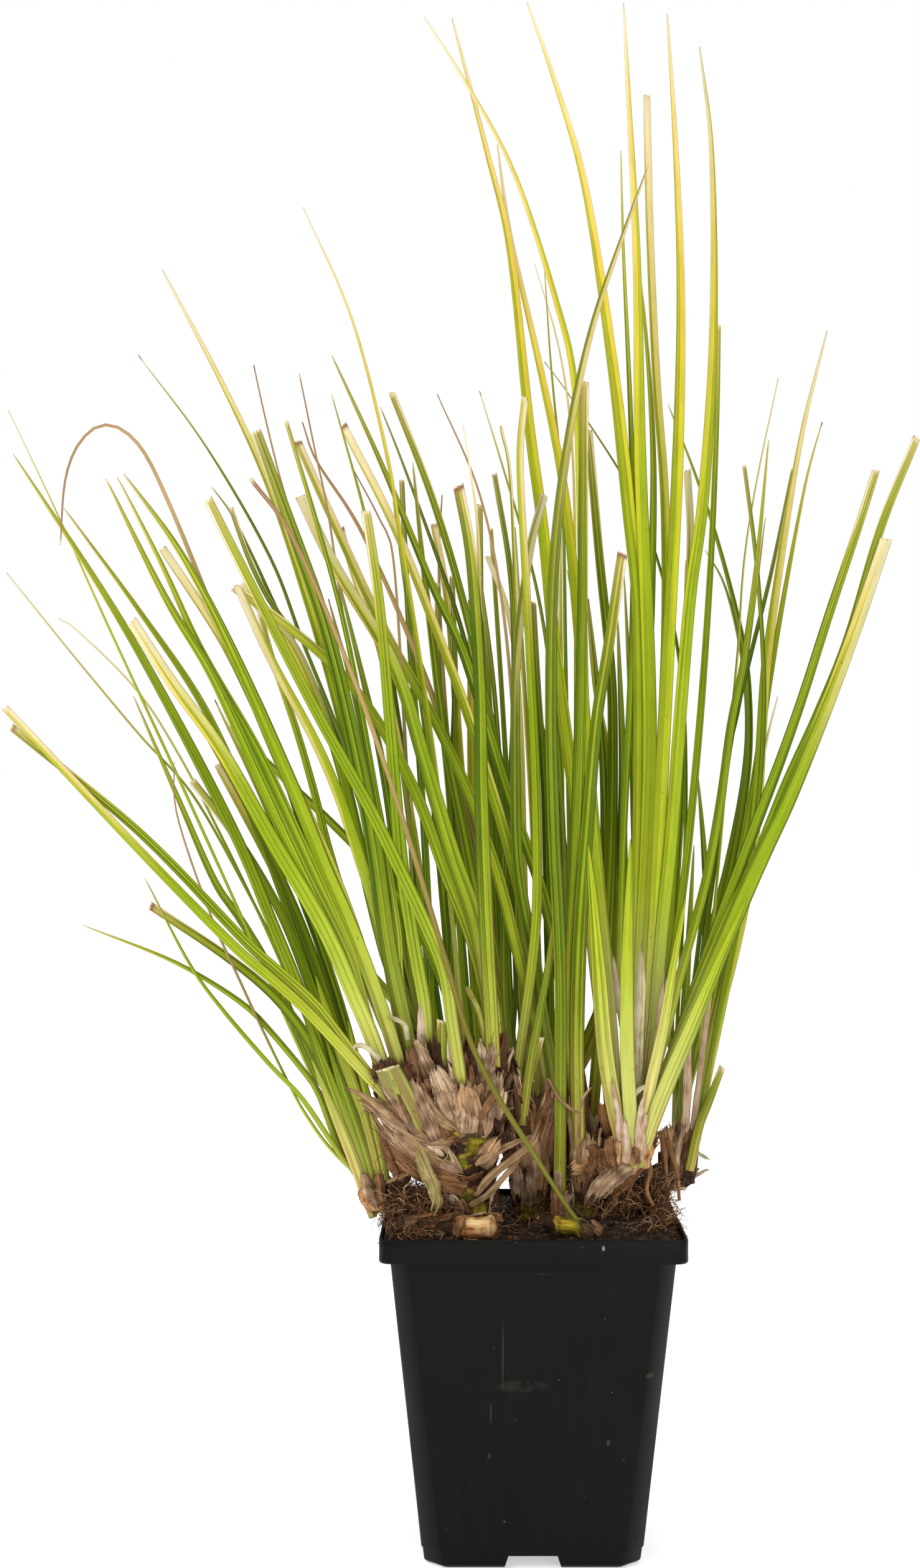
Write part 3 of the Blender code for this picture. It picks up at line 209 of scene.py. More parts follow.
# The leaves of one sheath stand for one node of their clump
CLUMPS: dict[str, tuple[tuple[Leaf, ...], ...]] = {
    "left_clump": read_leaves("""
    -13 40 1.6 TIP GREEN -46 103, -57 115, -70 134, -80 144.5, -95 162, -105 176, -118.5 202;
    -12 60 1 TIP DRIED -46.5 102.5, -60 112, -70 130.5, -80 150.5, -90 172, -98 190, -108.5 221,
        -109.5 238;
    -11 30 1.9 TIP GREEN -45.5 104, -56 119, -64 135, -80 155, -90 164.5, -110 176.5, -137.5 187.5 /
    -8.5 10 3 CUT GREEN -48 101, -55 122, -62 141, -70 155, -80 167, -95 179, -116.8 193.5 /
    -6 0 3 TIP GREEN -47 101, -55 122, -63 145, -71 168, -80 190, -90 214, -110 253, -130 288,
        -159 332.5;
    -5 60 1.3 TIP PALE -50 102, -59 122, -68 143, -77 163, -86 184, -105 226, -130 280, -144 311,
        -160.5 346 /
    -2.5 15 3 CUT DARK -46 102, -53 125, -60 147, -68 170, -77 192, -90 214, -104 232;
    -1.5 -15 3 TIP DARK -45 103, -51 125, -57 147, -64 170, -73 194, -86 222, -101 248 /
    1 0 2.6 TIP GREEN -44.5 106, -50 120, -56 138, -63 160, -71 183, -84 218, -100 254, -120 284,
        -143.5 316;
    2 25 3 TIP DARK -44 106, -49 125, -54 147, -61 171, -70 196, -82 226, -97 257;
    3.4 5 3 CUT BRIGHT -45 105, -53 130, -60 157, -69 184, -81 209, -96 237;
    4.8 10 2.4 TIP GREEN -45 105, -60 130, -70 152, -80 174, -89.5 190, -97 201, -108 226, -122 258;
    6.2 0 0.8 TIP PALE -45 104, -58 133, -73 170, -88 200, -104 228, -120 246, -140 270, -161 296;
    7.4 0 0.8 TIP PALE -45 104, -55 125, -68 156, -82 188, -95 215, -108 240, -121 260, -139 278,
        -145 282"""),
    "big_left": read_leaves("""
    -27.5 10 2.6 CUT HALF -36 127, -50 141, -60 152, -70 162.5, -80 171.5, -92 182, -120 210.5,
        -161.5 254.5;
    -26.5 10 2.6 CUT GREEN -37.5 131, -48 143, -58 154, -68 165, -78 174, -88 183, -120 216,
        -159.5 248.5 /
    -24 0 4 CUT HALF -44 140, -49 154, -55 168, -61 182, -68 195, -80 215, -95 241.5, -110 262,
        -122.5 281;
    -23 10 3.2 TIP GREEN -42 142, -48 157, -54 172, -61 187, -69 203, -83 233, -98 265, -112 288,
        -130.5 325;
    -22 -10 2.6 TIP GREEN -41 143, -47 159, -53 174, -60 190, -69 210, -83 240, -101 272, -113 298,
        -127 325.5 /
    -19.5 0 3.6 TIP GREEN -40 144, -45 160, -50 174, -56 189, -63 205, -73 230, -93 275, -108 303,
        -125 326.5;
    -18.5 10 3 CUT CREAM -41 143, -47 164, -54 186, -62 207, -72 229, -83 252, -95 276, -113 303.5;
    -17.9 10 2.2 TIP OLIVE -41 143, -52 168, -60 189, -66 206, -72 223, -78 240, -89 262.5 /
    -16 30 1.6 TIP DRIED -39 142, -49 165, -57 190, -67 213, -78 238, -88 262, -97 283, -110 315,
        -120 335, -130 342, -138 337, -143 325, -144.5 304.5 /
    -13.5 10 3 CUT PALE -38 144, -42 168, -46 188, -52 207, -59 228, -67 246, -80 270, -90 292"""),
    "big_middle": read_leaves("""
    -22.5 0 3.4 CUT GREEN -26.5 138, -27 148, -27 158 /
    -19 5 3.4 CUT GREEN -31 137, -32 160, -34.5 175, -37 190, -39.5 207, -41.5 230, -43.5 255,
        -46.5 288, -50.5 315 /
    -16.5 0 4.2 CUT DARK -35.5 143, -40 163, -44 183, -48 212, -54 243, -63 280, -75 314,
        -84.5 339.5;
    -15.5 30 1.8 CUT GREEN -35 144, -41 190, -48 232, -56 275, -64 306, -75 342.5 /
    -10.5 50 1.5 TIP OLIVE -36.5 145, -41 175, -44 195, -48 215, -56 240, -70 275, -80 301,
        -100 335.5, -120.5 363;
    -9.5 10 2.6 TIP CREAM -36 145, -40 172, -44 192, -49 215, -56 243, -66 280, -80 322, -95 355,
        -113.2 389.4;
    -8.5 0 0.8 TIP DRIED -36 145, -46 200, -54 240, -62 275, -69 300, -76 322, -81.5 344, -85 360 /
    -7.2 40 1.8 TIP GREEN -31.5 137, -36 170, -38 190, -40 215, -42 240, -45 270, -49 306, -61 351;
    -6.4 50 1.4 TIP DRIED -31 138, -35 180, -37 215, -39 255, -42 300, -46 312, -55 329;
    -5.2 10 2.4 CUT GREEN -32 138, -42 155, -50 173, -56.5 193, -62 211, -66.5 229, -72 248,
        -79.5 270, -83 283;
    -4 0 3.4 CUT HALF -32 138, -39 160, -46 185, -52 210, -57 232, -62 248.5, -69 266, -74.5 276,
        -81.5 283, -88 293;
    -2.8 10 1.8 CUT OLIVE -32 138, -38 165, -44 195, -51 222, -60.5 248, -67.5 260, -74.5 279,
        -80.5 288, -86.5 300.5, -92 316;
    -1.6 10 1.6 TIP OLIVE -32 138, -37 165, -43 195, -50 222, -56 238, -64 257, -69.5 268, -78 285,
        -85 300.5, -92 314.5, -98 322.5;
    -3.4 0 0.8 TIP DRIED -32 138, -39 180, -45 215, -51 250, -57 280, -62 314, -66 333, -71 357.5"""),
    "big_right": read_leaves("""
    -32 0 1.4 CUT STALK 17 94, 12 100, 0 119, -10 135, -18 151, -24 170, -32 197, -43 232, -56 268,
        -73 307, -86 325 /
    -25 0 3.2 CUT GREEN -21 138, -24 158, -26.5 174, -33 190, -42 209, -50 225, -65 252, -80 281,
        -99 318.5 /
    -20 0 3.8 CUT DARK -11 139, -12 160, -13 178, -14 200, -15 230, -15.5 262, -18 300, -22 322.8;
    -19 55 1.8 TIP PALE -14 139, -15 180, -15.5 230, -15.5 280, -16 310, -20.5 341.5 /
    -12.2 0 4 CUT HALF -10 140, -11.5 160, -14.5 178, -18 193, -24 210, -33 240, -42 268, -60 298,
        -70.5 319.5;
    -11.4 10 3.2 CUT GREEN -13.5 139, -14 158, -16 176, -20 189, -26 204, -35 228, -46 249, -58 265,
        -75 280, -91 291.5 /
    -2 50 2 TIP GOLD -20 140, -22 170, -25 200, -29 235, -34 270, -39.5 305, -44.5 335, -55 375,
        -69.8 408.6"""),
    "rear_left": read_leaves("""
    12 0 2.8 CUT GREEN -16 98, -19 140, -24 162, -32 182, -43 200, -60 218, -76 233, -92.5 248.5 /
    16 30 2.4 CUT DARK -29 97, -30 150, -31 185, -32.5 215, -34.5 245, -37 275, -39.5 324.5;
    17 20 2.6 TIP DARK -31 97, -38 150, -43 190, -50 230, -58 265, -68 300;
    18.2 5 3 TIP DARK -30 97, -34 145, -39 185, -42 215, -46 240, -52 266, -60 298;
    19.4 5 2.2 CUT PALE -29 97, -30 150, -33 195, -38 230, -43 257, -47 275, -54.5 296, -58 310;
    20.6 5 2.8 TIP DARK -30 97, -35 150, -41 190, -48 230, -55 262, -62 288 /
    20 20 2.4 CUT DARK -17.5 99, -18 142, -20 170, -22.5 200, -25 230, -28 262, -28.5 293;
    21 20 2.4 CUT DARK -20 99, -23.5 150, -24 190, -24 230, -23 260, -24 295;
    22.2 5 2.8 CUT DARK -21 99, -27 150, -33 190, -38 230, -43 265, -48 300;
    23.4 5 2.4 TIP GREEN -20 99, -23 150, -27 200, -31 240, -36 275, -42 318;
    24.6 5 2.8 CUT BRIGHT -17 99, -16 150, -19 200, -22 245, -25 285, -29.5 311;
    25.8 5 2.8 CUT BRIGHT -16 99, -13 150, -16 190, -18 235, -18 288"""),
    "middle": read_leaves("""
    -12 0 3.2 TIP BEIGE 9 96, 9.5 140, 9.5 170, 8.5 195, 7.5 215, 6.5 255, 7.5 300, 12 338, 19 371,
        29 401, 36.5 421.5 /
    -9.5 0 2.4 CUT GREEN -2.5 126, 0 145, 2.5 158, 5.5 174, 8 189.5;
    -8.5 0 2.6 CUT GREEN 1 126, 3.5 141, 4.8 153 /
    -6 0 2.6 CUT HALF -4.5 130, -3 148, 0 170, 2 190, 2.3 210, 1.5 240, -1 290, -3 330, -1.5 350 /
    -3.2 10 3 CUT BEIGE 8 127, 7 142, 4 160, 1.5 178, -1.5 192, -4 210, -4.5 240, -4 270, 0 303,
        4.5 320 /
    -0.5 0 3 CUT HALF 6.5 124, 5 142, 1 160, -4 180, -9 200, -14 215, -20 231, -30 252, -45 279,
        -60 311, -71.5 336.5;
    0.5 10 3 CUT PALE 6 124, 4 150, 1 175, -3 197, -9 220, -19 252, -29 279, -42 311, -57.5 341.5 /
    3.5 0 2.8 TIP GREEN 8.5 124, 11 150, 8.5 175, 4.5 195, -1 212, -7 228, -20 270, -30 292,
        -45 328, -61 363;
    4.5 10 2.6 CUT GREEN 6.5 124, 2 150, 0 175, -3 200, -7 225, -12 250, -20 285, -30 319,
        -42.5 351.5 /
    7 50 1.5 TIP DRIED 1 125, -1 160, -3 200, -5 250, -9 290, -16 322, -28.5 351;
    8 50 1.7 CUT GREEN -1 125, -3 170, -4.5 220, -4.5 280, -6 325, -9 341 /
    10 30 2.4 CUT DARK -3.5 128, -6.5 150, -8 175, -7 210, -5 250, -5 280, -6.5 300, -11 326.5;
    11 0 3 TIP GREEN -4 129, -8 150, -11.5 170, -15 190, -20 215, -26 245, -30 275, -33 300,
        -36 330;
    12.3 5 1.8 TIP DRIED -3.5 128, -8 165, -14 200, -22 232, -30 258, -40 283, -50 305, -56 316,
        -66 331, -70 342.5;
    13.5 5 1.6 TIP OLIVE -3 128, -5 190, -9 225, -15 255, -22 282, -30 305, -40 332, -46 347 /
    14 50 1.8 TIP GREEN 11.8 122, 11.3 160, 11 200, 9 240, 5 275, 0 300, -9 331, -15.5 352;
    15 50 1.7 TIP GREEN 12.5 122, 13 170, 12 220, 11 270, 10 320, 6.5 360, 4.5 390;
    16 50 1.4 TIP GOLD 13.2 122, 14 170, 14 230, 14 290, 13 335, 9 365, 1.5 391;
    17.4 5 2.6 TIP DARK 13 122, 20 150, 22.5 190, 23 220, 22 245, 20.5 265, 18 288;
    18.6 5 2.8 TIP BRIGHT 13.5 122, 24 150, 27 190, 26 215, 24 240, 20 262, 17.5 290 /
    18.5 20 2.2 CUT CREAM 1 110, -1 165, -2 210, -3 250, -6 281, -13 301;
    19.5 20 1.8 CUT DARK -2 110, -6 165, -8 215, -11 260, -15.5 295;
    20.5 20 1.8 CUT PALE 4 110, 3 165, 1 215, -2 265, -5 310;
    21.5 20 1.8 CUT GREEN 0 110, -3 165, -6 215, -9 265, -12 309.5;
    22.8 5 2.6 CUT GREEN -1 110, -8 150, -11 190, -13 230, -15 270, -15.5 317;
    24 5 2.4 CUT DARK 2 110, 6 150, 5.5 190, 4.5 230, 2.5 260, 1 287;
    25.2 5 2.4 TIP OLIVE 3 110, 10 150, 12 190, 10 215, 7 235, 3 252, -1 272;
    26.8 5 2.6 CUT DARK -1 110, -6 150, -9 200, -12 245, -14 281;
    28 5 2.4 TIP DARK 3 110, 11 150, 15.5 190, 17 225, 16.5 255, 14.5 280, 11.5 297;
    29.2 5 1.6 TIP DRIED -1 110, -13 150, -19 190, -24 230, -27 270, -28 300, -27 320;
    30.4 5 2 TIP PALE 2 110, 8 150, 9.5 200, 9.5 250, 9.3 300, 9.5 330"""),
    "centre": read_leaves("""
    -9 0 3.8 CUT GREEN 15 115, 14.5 150, 15 175, 16 195, 17.5 215, 20.5 250, 24 272, 28.5 302;
    -8 0 3.4 CUT GREEN 13.5 115, 12 150, 12.5 175, 14 205, 15 235, 16 275, 16.5 330, 16.8 355 /
    15 0 3.2 CUT GREEN 18 112, 21 150, 23.5 180, 25 210, 25.5 240, 25 265, 21.5 300, 18 340"""),
    "right_fan": read_leaves("""
    -14.5 0 4.4 CUT HALF 32 118, 37 128, 42.5 141, 49 156, 56 173, 64 192, 72 210, 80 227, 91 254,
        101 281, 109.7 306.5 /
    -12 10 2.4 TIP GREEN 33 124, 37 137, 41.5 153, 46 171, 51 189, 55 205, 59 228, 62 250, 66 270,
        70 300, 73.5 337 /
    -9.5 0 3 CUT GREEN 34 122, 42 143, 51 166, 60 187, 69 206, 79 231, 88 251, 98 276, 108 310,
        119 337.5;
    -8.5 0 3 CUT GREEN 36 124, 43 145, 51 168, 60 193, 69 217, 77 238, 84 258, 92 283, 101 310,
        106.5 327.5 /
    -6 0 3.3 TIP GOLD 35 130, 38 155, 40.5 185, 43.5 215, 46.5 255, 49.5 290, 53.5 320, 56.5 370,
        56 425, 52.2 458;
    -5 0 3.4 TIP GOLD 34.5 131, 36.5 155, 38 180, 39.5 210, 41 240, 43 280, 45.5 330, 46.5 380,
        45 425, 42.3 468 /
    -2.5 20 2.2 CUT GREEN 32 123, 40 150, 43 170, 46 190, 48.5 210, 51 235, 53.5 265, 56 305,
        57.5 345, 58 372.5;
    -1.5 10 2.8 CUT HALF 33 124, 40 160, 43 200, 46 240, 48 275, 49.5 305, 48.5 327.5 /
    1 0 3.6 TIP GOLD 33 131, 33.5 150, 34.5 180, 36 210, 37 245, 36 285, 34 330, 33 390, 30.5 440,
        28.8 471.5;
    2 0 3.8 TIP GOLD 31 130, 32 150, 33 175, 33.5 205, 34 240, 33.5 285, 30.5 315, 25.5 360, 17 415,
        7 449.5, -1 472;
    3 30 2.2 TIP GREEN 28 131, 27.5 160, 28 190, 29 220, 31 260, 32 300, 31 345, 28.8 395, 28 426 /
    5.5 0 2.3 TIP GOLD 27 131, 25.5 158, 22.5 190, 19.5 218, 17 255, 16 300, 14 352, 8 380,
        -5 419.5, -20 447.5, -32.5 467 /
    8 0 3.3 TIP GOLD 25 130, 23 150, 20 175, 17.5 200, 12 240, 7.5 275, 4 310, 0 340, -6 395,
        -13 425, -24 467;
    9 0 3 TIP GOLD 29 132, 27 150, 24 175, 21 205, 17.5 245, 14 290, 10 325, 3 360, -6 400,
        -10 428 /
    11.5 10 2.9 CUT CREAM 31 122, 36 165, 38 200, 40.5 240, 42 280, 41.5 320, 39 355, 37 400,
        36 443;
    12.5 10 2.6 TIP GREEN 30 124, 31 165, 33 200, 35 240, 37 280, 38 330, 35.5 372, 32 400;
    13.7 5 3 TIP DARK 31 124, 31 150, 29.5 180, 28.5 210, 28.5 240, 27 282;
    14.9 5 2.2 TIP GREEN 31 124, 34 150, 33 190, 32 225, 31 255, 29 295"""),
    "right_rear": read_leaves("""
    8 0 2.4 CUT GREEN 49 112, 52 125.5, 55 133, 59.2 143.8 /
    11 40 2 CUT DARK 49 112, 52 125, 56 148, 60 170, 65 193, 69 215, 71.5 240, 72 265, 70 297,
        66 329;
    12 20 1.8 TIP PALE 50 112, 53 128, 57 150, 62 174, 66 195, 69.5 218, 72 240, 76.3 258 /
    15 0 3 TIP CREAM 48 112, 51 122, 54 142, 58 160, 63 180, 67 200, 70 225, 71.5 250, 73 270,
        78 305, 84 340, 91.5 370.5;
    16 20 2.2 TIP GREEN 47 112, 50 125, 53 145, 57 165, 61 185, 65 208, 69 232, 73 258, 78 288,
        85 324, 90 342.5;
    17.2 0 0.8 TIP PALE 48 112, 52 150, 57 195, 61 240, 64 272, 66 300, 70 325, 76.5 356 /
    19 40 2 CUT OLIVE 46 113, 48 130, 50.5 155, 54 185, 58 215, 62 245, 68 271, 74.5 297, 81 328;
    20 40 1.6 TIP OLIVE 45 113, 47 130, 49.5 160, 53 190, 57 215, 61 240, 65 258, 70 293, 72.5 313;
    21.3 5 2.4 TIP GREEN 45 113, 45.5 135, 47.5 160, 49 185, 50.5 212 /
    23 40 2.6 TIP DARK 44 113, 47 135, 51 160, 57 185, 63 210, 67 235, 67.5 255, 65.5 275, 58 305,
        51 326, 42.5 348;
    24 30 2.4 TIP DARK 43 113, 46 135, 50 160, 55.5 185, 61 207, 65.5 230, 67 250, 65 272, 60 292,
        54 303;
    25 20 2.4 TIP DARK 43 113, 43 150, 44 185, 46.5 225, 47.5 260, 48 300;
    25.8 5 2.8 TIP GREEN 43 113, 50 140, 53.5 165, 54.5 190, 53.5 212, 51.5 235 /
    28 40 1.4 TIP DARK 44 113, 45 150, 47 190, 48 225, 47 260, 42 290, 34 315, 26 330, 12 351,
        4.5 361"""),
}


class Bare(Enum):
    """What shows in a window between the husks."""

    LIVE = "live stem"
    SHEATH = "green sheath"
    KNOB = "pale knob"


@dataclass(frozen=True)
class Patch:
    """A bare window between the husks, on the measuring plane."""

    left: float
    right: float
    low: float
    high: float
    look: Bare = Bare.LIVE

    def holds(self, across: float, height: float, margin: float = 0.0) -> bool:
        """Whether a spot of the plane lies in the window."""
        return (self.left - margin < across < self.right + margin
                and self.low - margin < height < self.high + margin)


class Husk(Enum):
    """The colour that old leaf bases have dried to."""

    BROWN = "brown"
    PALE = "pale"


@dataclass(frozen=True)
class Stock:
    """One rootstock: its stems, the broad scales on them, and its bare windows.

    A stem is (across, height, depth, radius) points, and a scale its root, tip and width.
    Collars are ruffled rings at runs up the first stem.
    """

    husk: Husk
    stems: tuple[tuple[tuple[float, float, float, float], ...], ...]
    scales: tuple[tuple[Spot, Spot, float], ...] = ()
    patches: tuple[Patch, ...] = ()
    husk_length: float = 10.0
    husk_gap: float = 3.4
    shaggy: float = 1.0
    collars: tuple[float, ...] = ()


STOCKS: dict[str, Stock] = {
    "big_rootstock": Stock(Husk.BROWN, (
        ((-17, 91, -14, 6.5), (-18, 101, -15, 7.5), (-21, 113, -16, 10.5), (-23, 130, -17, 12)),
        ((-26, 117, -20, 8), (-35, 128, -23, 8.5), (-43, 140, -25, 5.5)),
        ((-26, 120, -16, 9), (-32, 134, -15, 9), (-36, 145, -14, 6)),
        ((-24, 126, -21, 8), (-26.5, 140, -22.5, 4.5)),
        ((-20, 122, -20, 9), (-20, 143, -22, 5)),
        ((-19, 120, -17, 9), (-14, 133, -17, 7.5), (-12, 141, -18, 5.5)),
        ((-22, 126, -9, 7), (-20, 140, -4, 4.5)),
    ), (
        ((-38, 128, -22), (-54, 134.5, -26), 6), ((-33, 119, -24), (-47, 127, -29), 8),
        ((-27, 110, -22), (-42, 117, -28), 8), ((-24, 114, -24), (-35, 121, -32), 8),
        ((-38, 136, -27), (-44.5, 147, -29), 6), ((-32, 136, -22), (-37.5, 152, -24), 6),
        ((-24, 132, -27), (-30, 145, -32), 7), ((-18, 126, -27), (-20, 140, -32), 8),
        ((-12, 128, -23), (-8, 138, -26), 6), ((-16, 113, -22), (-9, 123, -27), 7),
        ((-28, 112, -9), (-38, 123, -4), 8), ((-22, 120, -6), (-25, 137, 1), 9),
    ), (
        Patch(-25.5, -21, 122.4, 125.5), Patch(-18.5, -12.3, 117.2, 121.6),
        Patch(-24.7, -19.4, 112.8, 116.3), Patch(-25.5, -16.7, 103, 106),
        Patch(-17.6, -12.3, 98.2, 101.3), Patch(-46.5, -37, 131, 144, Bare.SHEATH),
    ), 17.0, 5.2, 0.8, (10.7, 17.8, 21.3, 26.2, 31.0)),
    "middle_rootstock": Stock(Husk.BROWN, (
        ((1, 91, 3, 5), (1, 105, 3, 6), (1, 119, 2, 7)),
        ((0, 114, -1, 7), (-2.5, 124, -3.5, 7), (-4, 132, -6, 4.5)),
        ((2, 114, 0, 7), (4, 125, -2, 6), (8, 133, -1, 4.2)),
        ((0, 114, 6, 7), (-2, 126, 10, 5.6), (-4, 135, 12, 4)),
        ((3, 112, 2, 6), (8, 124, 3, 4)),
    ), (
        ((-1, 119, -5), (-10, 113, -10), 5), ((4, 124, -6), (7, 139, -9), 6),
        ((0, 118, 9), (-6, 131, 15), 7), ((5, 116, 6), (11, 127, 10), 6),
    ), (Patch(-4, 5, 95, 101.5),), 21.0, 6.0, 0.3, (9.5,)),
    "right_rootstock": Stock(Husk.PALE, (
        ((18, 90, -6, 5.5), (18, 102, -6, 5.5), (18, 116, -7, 5)),
        ((19, 106, -5, 6), (31, 120, -5, 7)),
        ((27, 113, -8, 7), (30, 124, -9, 7.5), (32, 131, -8, 5)),
        ((30, 114, -9, 6.5), (33, 120, -12, 6)),
        ((27, 114, 1, 7), (29, 124, 6, 8), (30, 132, 9, 5.5)),
    ), (
        ((34, 117, -13), (21, 102, -17), 8), ((19, 115, -9), (12, 112, -13), 6),
        ((26, 123, -14), (22, 134, -18), 6), ((33, 124, -14), (38, 137, -18), 6),
        ((24, 120, 2), (20, 131, 8), 7), ((33, 120, 4), (37, 131, 10), 7),
    ), (Patch(14, 21, 96.5, 101.5), Patch(24, 39, 116, 134, Bare.KNOB)), 13.0, 4.4, 0.5, (9.0,)),
    "left_rim_rootstock": Stock(Husk.BROWN, (
        ((-30, 91, -8, 5), (-36, 99, -8, 4.6), (-43, 104.4, -8, 3.9)),
        ((-43.5, 104.4, -15, 3.4), (-43.5, 104.6, -6, 4), (-43, 104.8, 3, 3.4)),
    ), (
        ((-41, 105, -10), (-38, 116, -12), 5), ((-41, 105, -2), (-37, 114, 1), 5),
    ), (), 7.0, 3.6, 0.7),
    "right_rear_rootstock": Stock(Husk.BROWN, (
        ((33, 93, 17, 5), (36, 101, 17, 4.6), (39.5, 108.5, 17, 4.4), (45, 111, 17, 4)),
        ((47.2, 108.5, 12, 4), (48, 117, 12, 3)),
        ((45.5, 109.5, 18, 4.6), (46.5, 120, 19, 3.4)),
        ((43.5, 109.5, 26, 4.4), (44, 118, 27, 3.4)),
        ((47.5, 110.5, 10, 3.4), (44, 110.5, 27, 4)),
    ), (
        ((44, 111, 12), (41.5, 127, 9), 6), ((47, 113, 15), (47.5, 129, 14), 5),
    ), (), 10.0, 3.6, 0.4),
    "rear_rootstock": Stock(Husk.BROWN, (
        ((-4, 99, 21, 4.6), (4, 102, 20, 6), (13, 104, 16, 6)),
        ((13, 98, 17, 5.5), (14, 116, 16, 5), (15, 131, 16, 3)),
        ((1, 98, 20, 5.5), (1, 115, 20, 4.6)),
    ), (
        ((15, 112, 12), (15.5, 146, 11), 6),
    ), (), 10.0, 3.6, 0.4),
    "cut_rootstock": Stock(Husk.PALE, (
        ((-41, 94.5, -33, 2.9), (-33, 95, -32, 3.4), (-25, 94.6, -32, 3.2), (-12, 94.6, -34, 3.6)),
        ((-24, 95, -32, 2.8), (-24, 90, -31, 2.6)),
    ), (), (Patch(-23, -9, 90, 99, Bare.KNOB),), 9.0, 4.0, 0.25, (9.0, 18.0)),
    "small_rootstock": Stock(Husk.BROWN, (
        ((22, 91, -32, 3.2), (15, 94.6, -32, 3.2), (9, 95.3, -30, 2.6), (3.5, 96.5, -28, 1.6)),
    ), (), (Patch(8, 15, 90, 98),), 5.0, 5.0, 0.15),
}


class Strip(Enum):
    """What a loose strip of the tuft is."""

    STRAW = "straw"
    HUSK = "brown husk"
    MEMBRANE = "pale membrane"
    BRACT = "pinkish bract"
    STUB = "green stub"
    ROOT = "live root"
    PAPER = "papery husk"
    WILTED = "wilted sheath"
    SCAR = "orange-beige knob"
    BURNT = "dark ragged end"


@dataclass(frozen=True)
class Ribbon:
    """One loose strip: its kind, widest width, curl and "across height depth" points."""

    kind: Strip
    width: float
    curl: float
    route: str


def read_ribbons(rows: str) -> tuple[Ribbon, ...]:
    """Reads a rootstock's loose strips.

    Args:
        rows: Kind, width, curl and route of each strip, with ; between strips.

    Returns:
        The strips in their order.
    """
    ribbons = []
    for row in rows.split(";"):
        kind, width, curl, *route = row.split()
        ribbons.append(Ribbon(Strip[kind], float(width), float(curl), " ".join(route)))
    return tuple(ribbons)


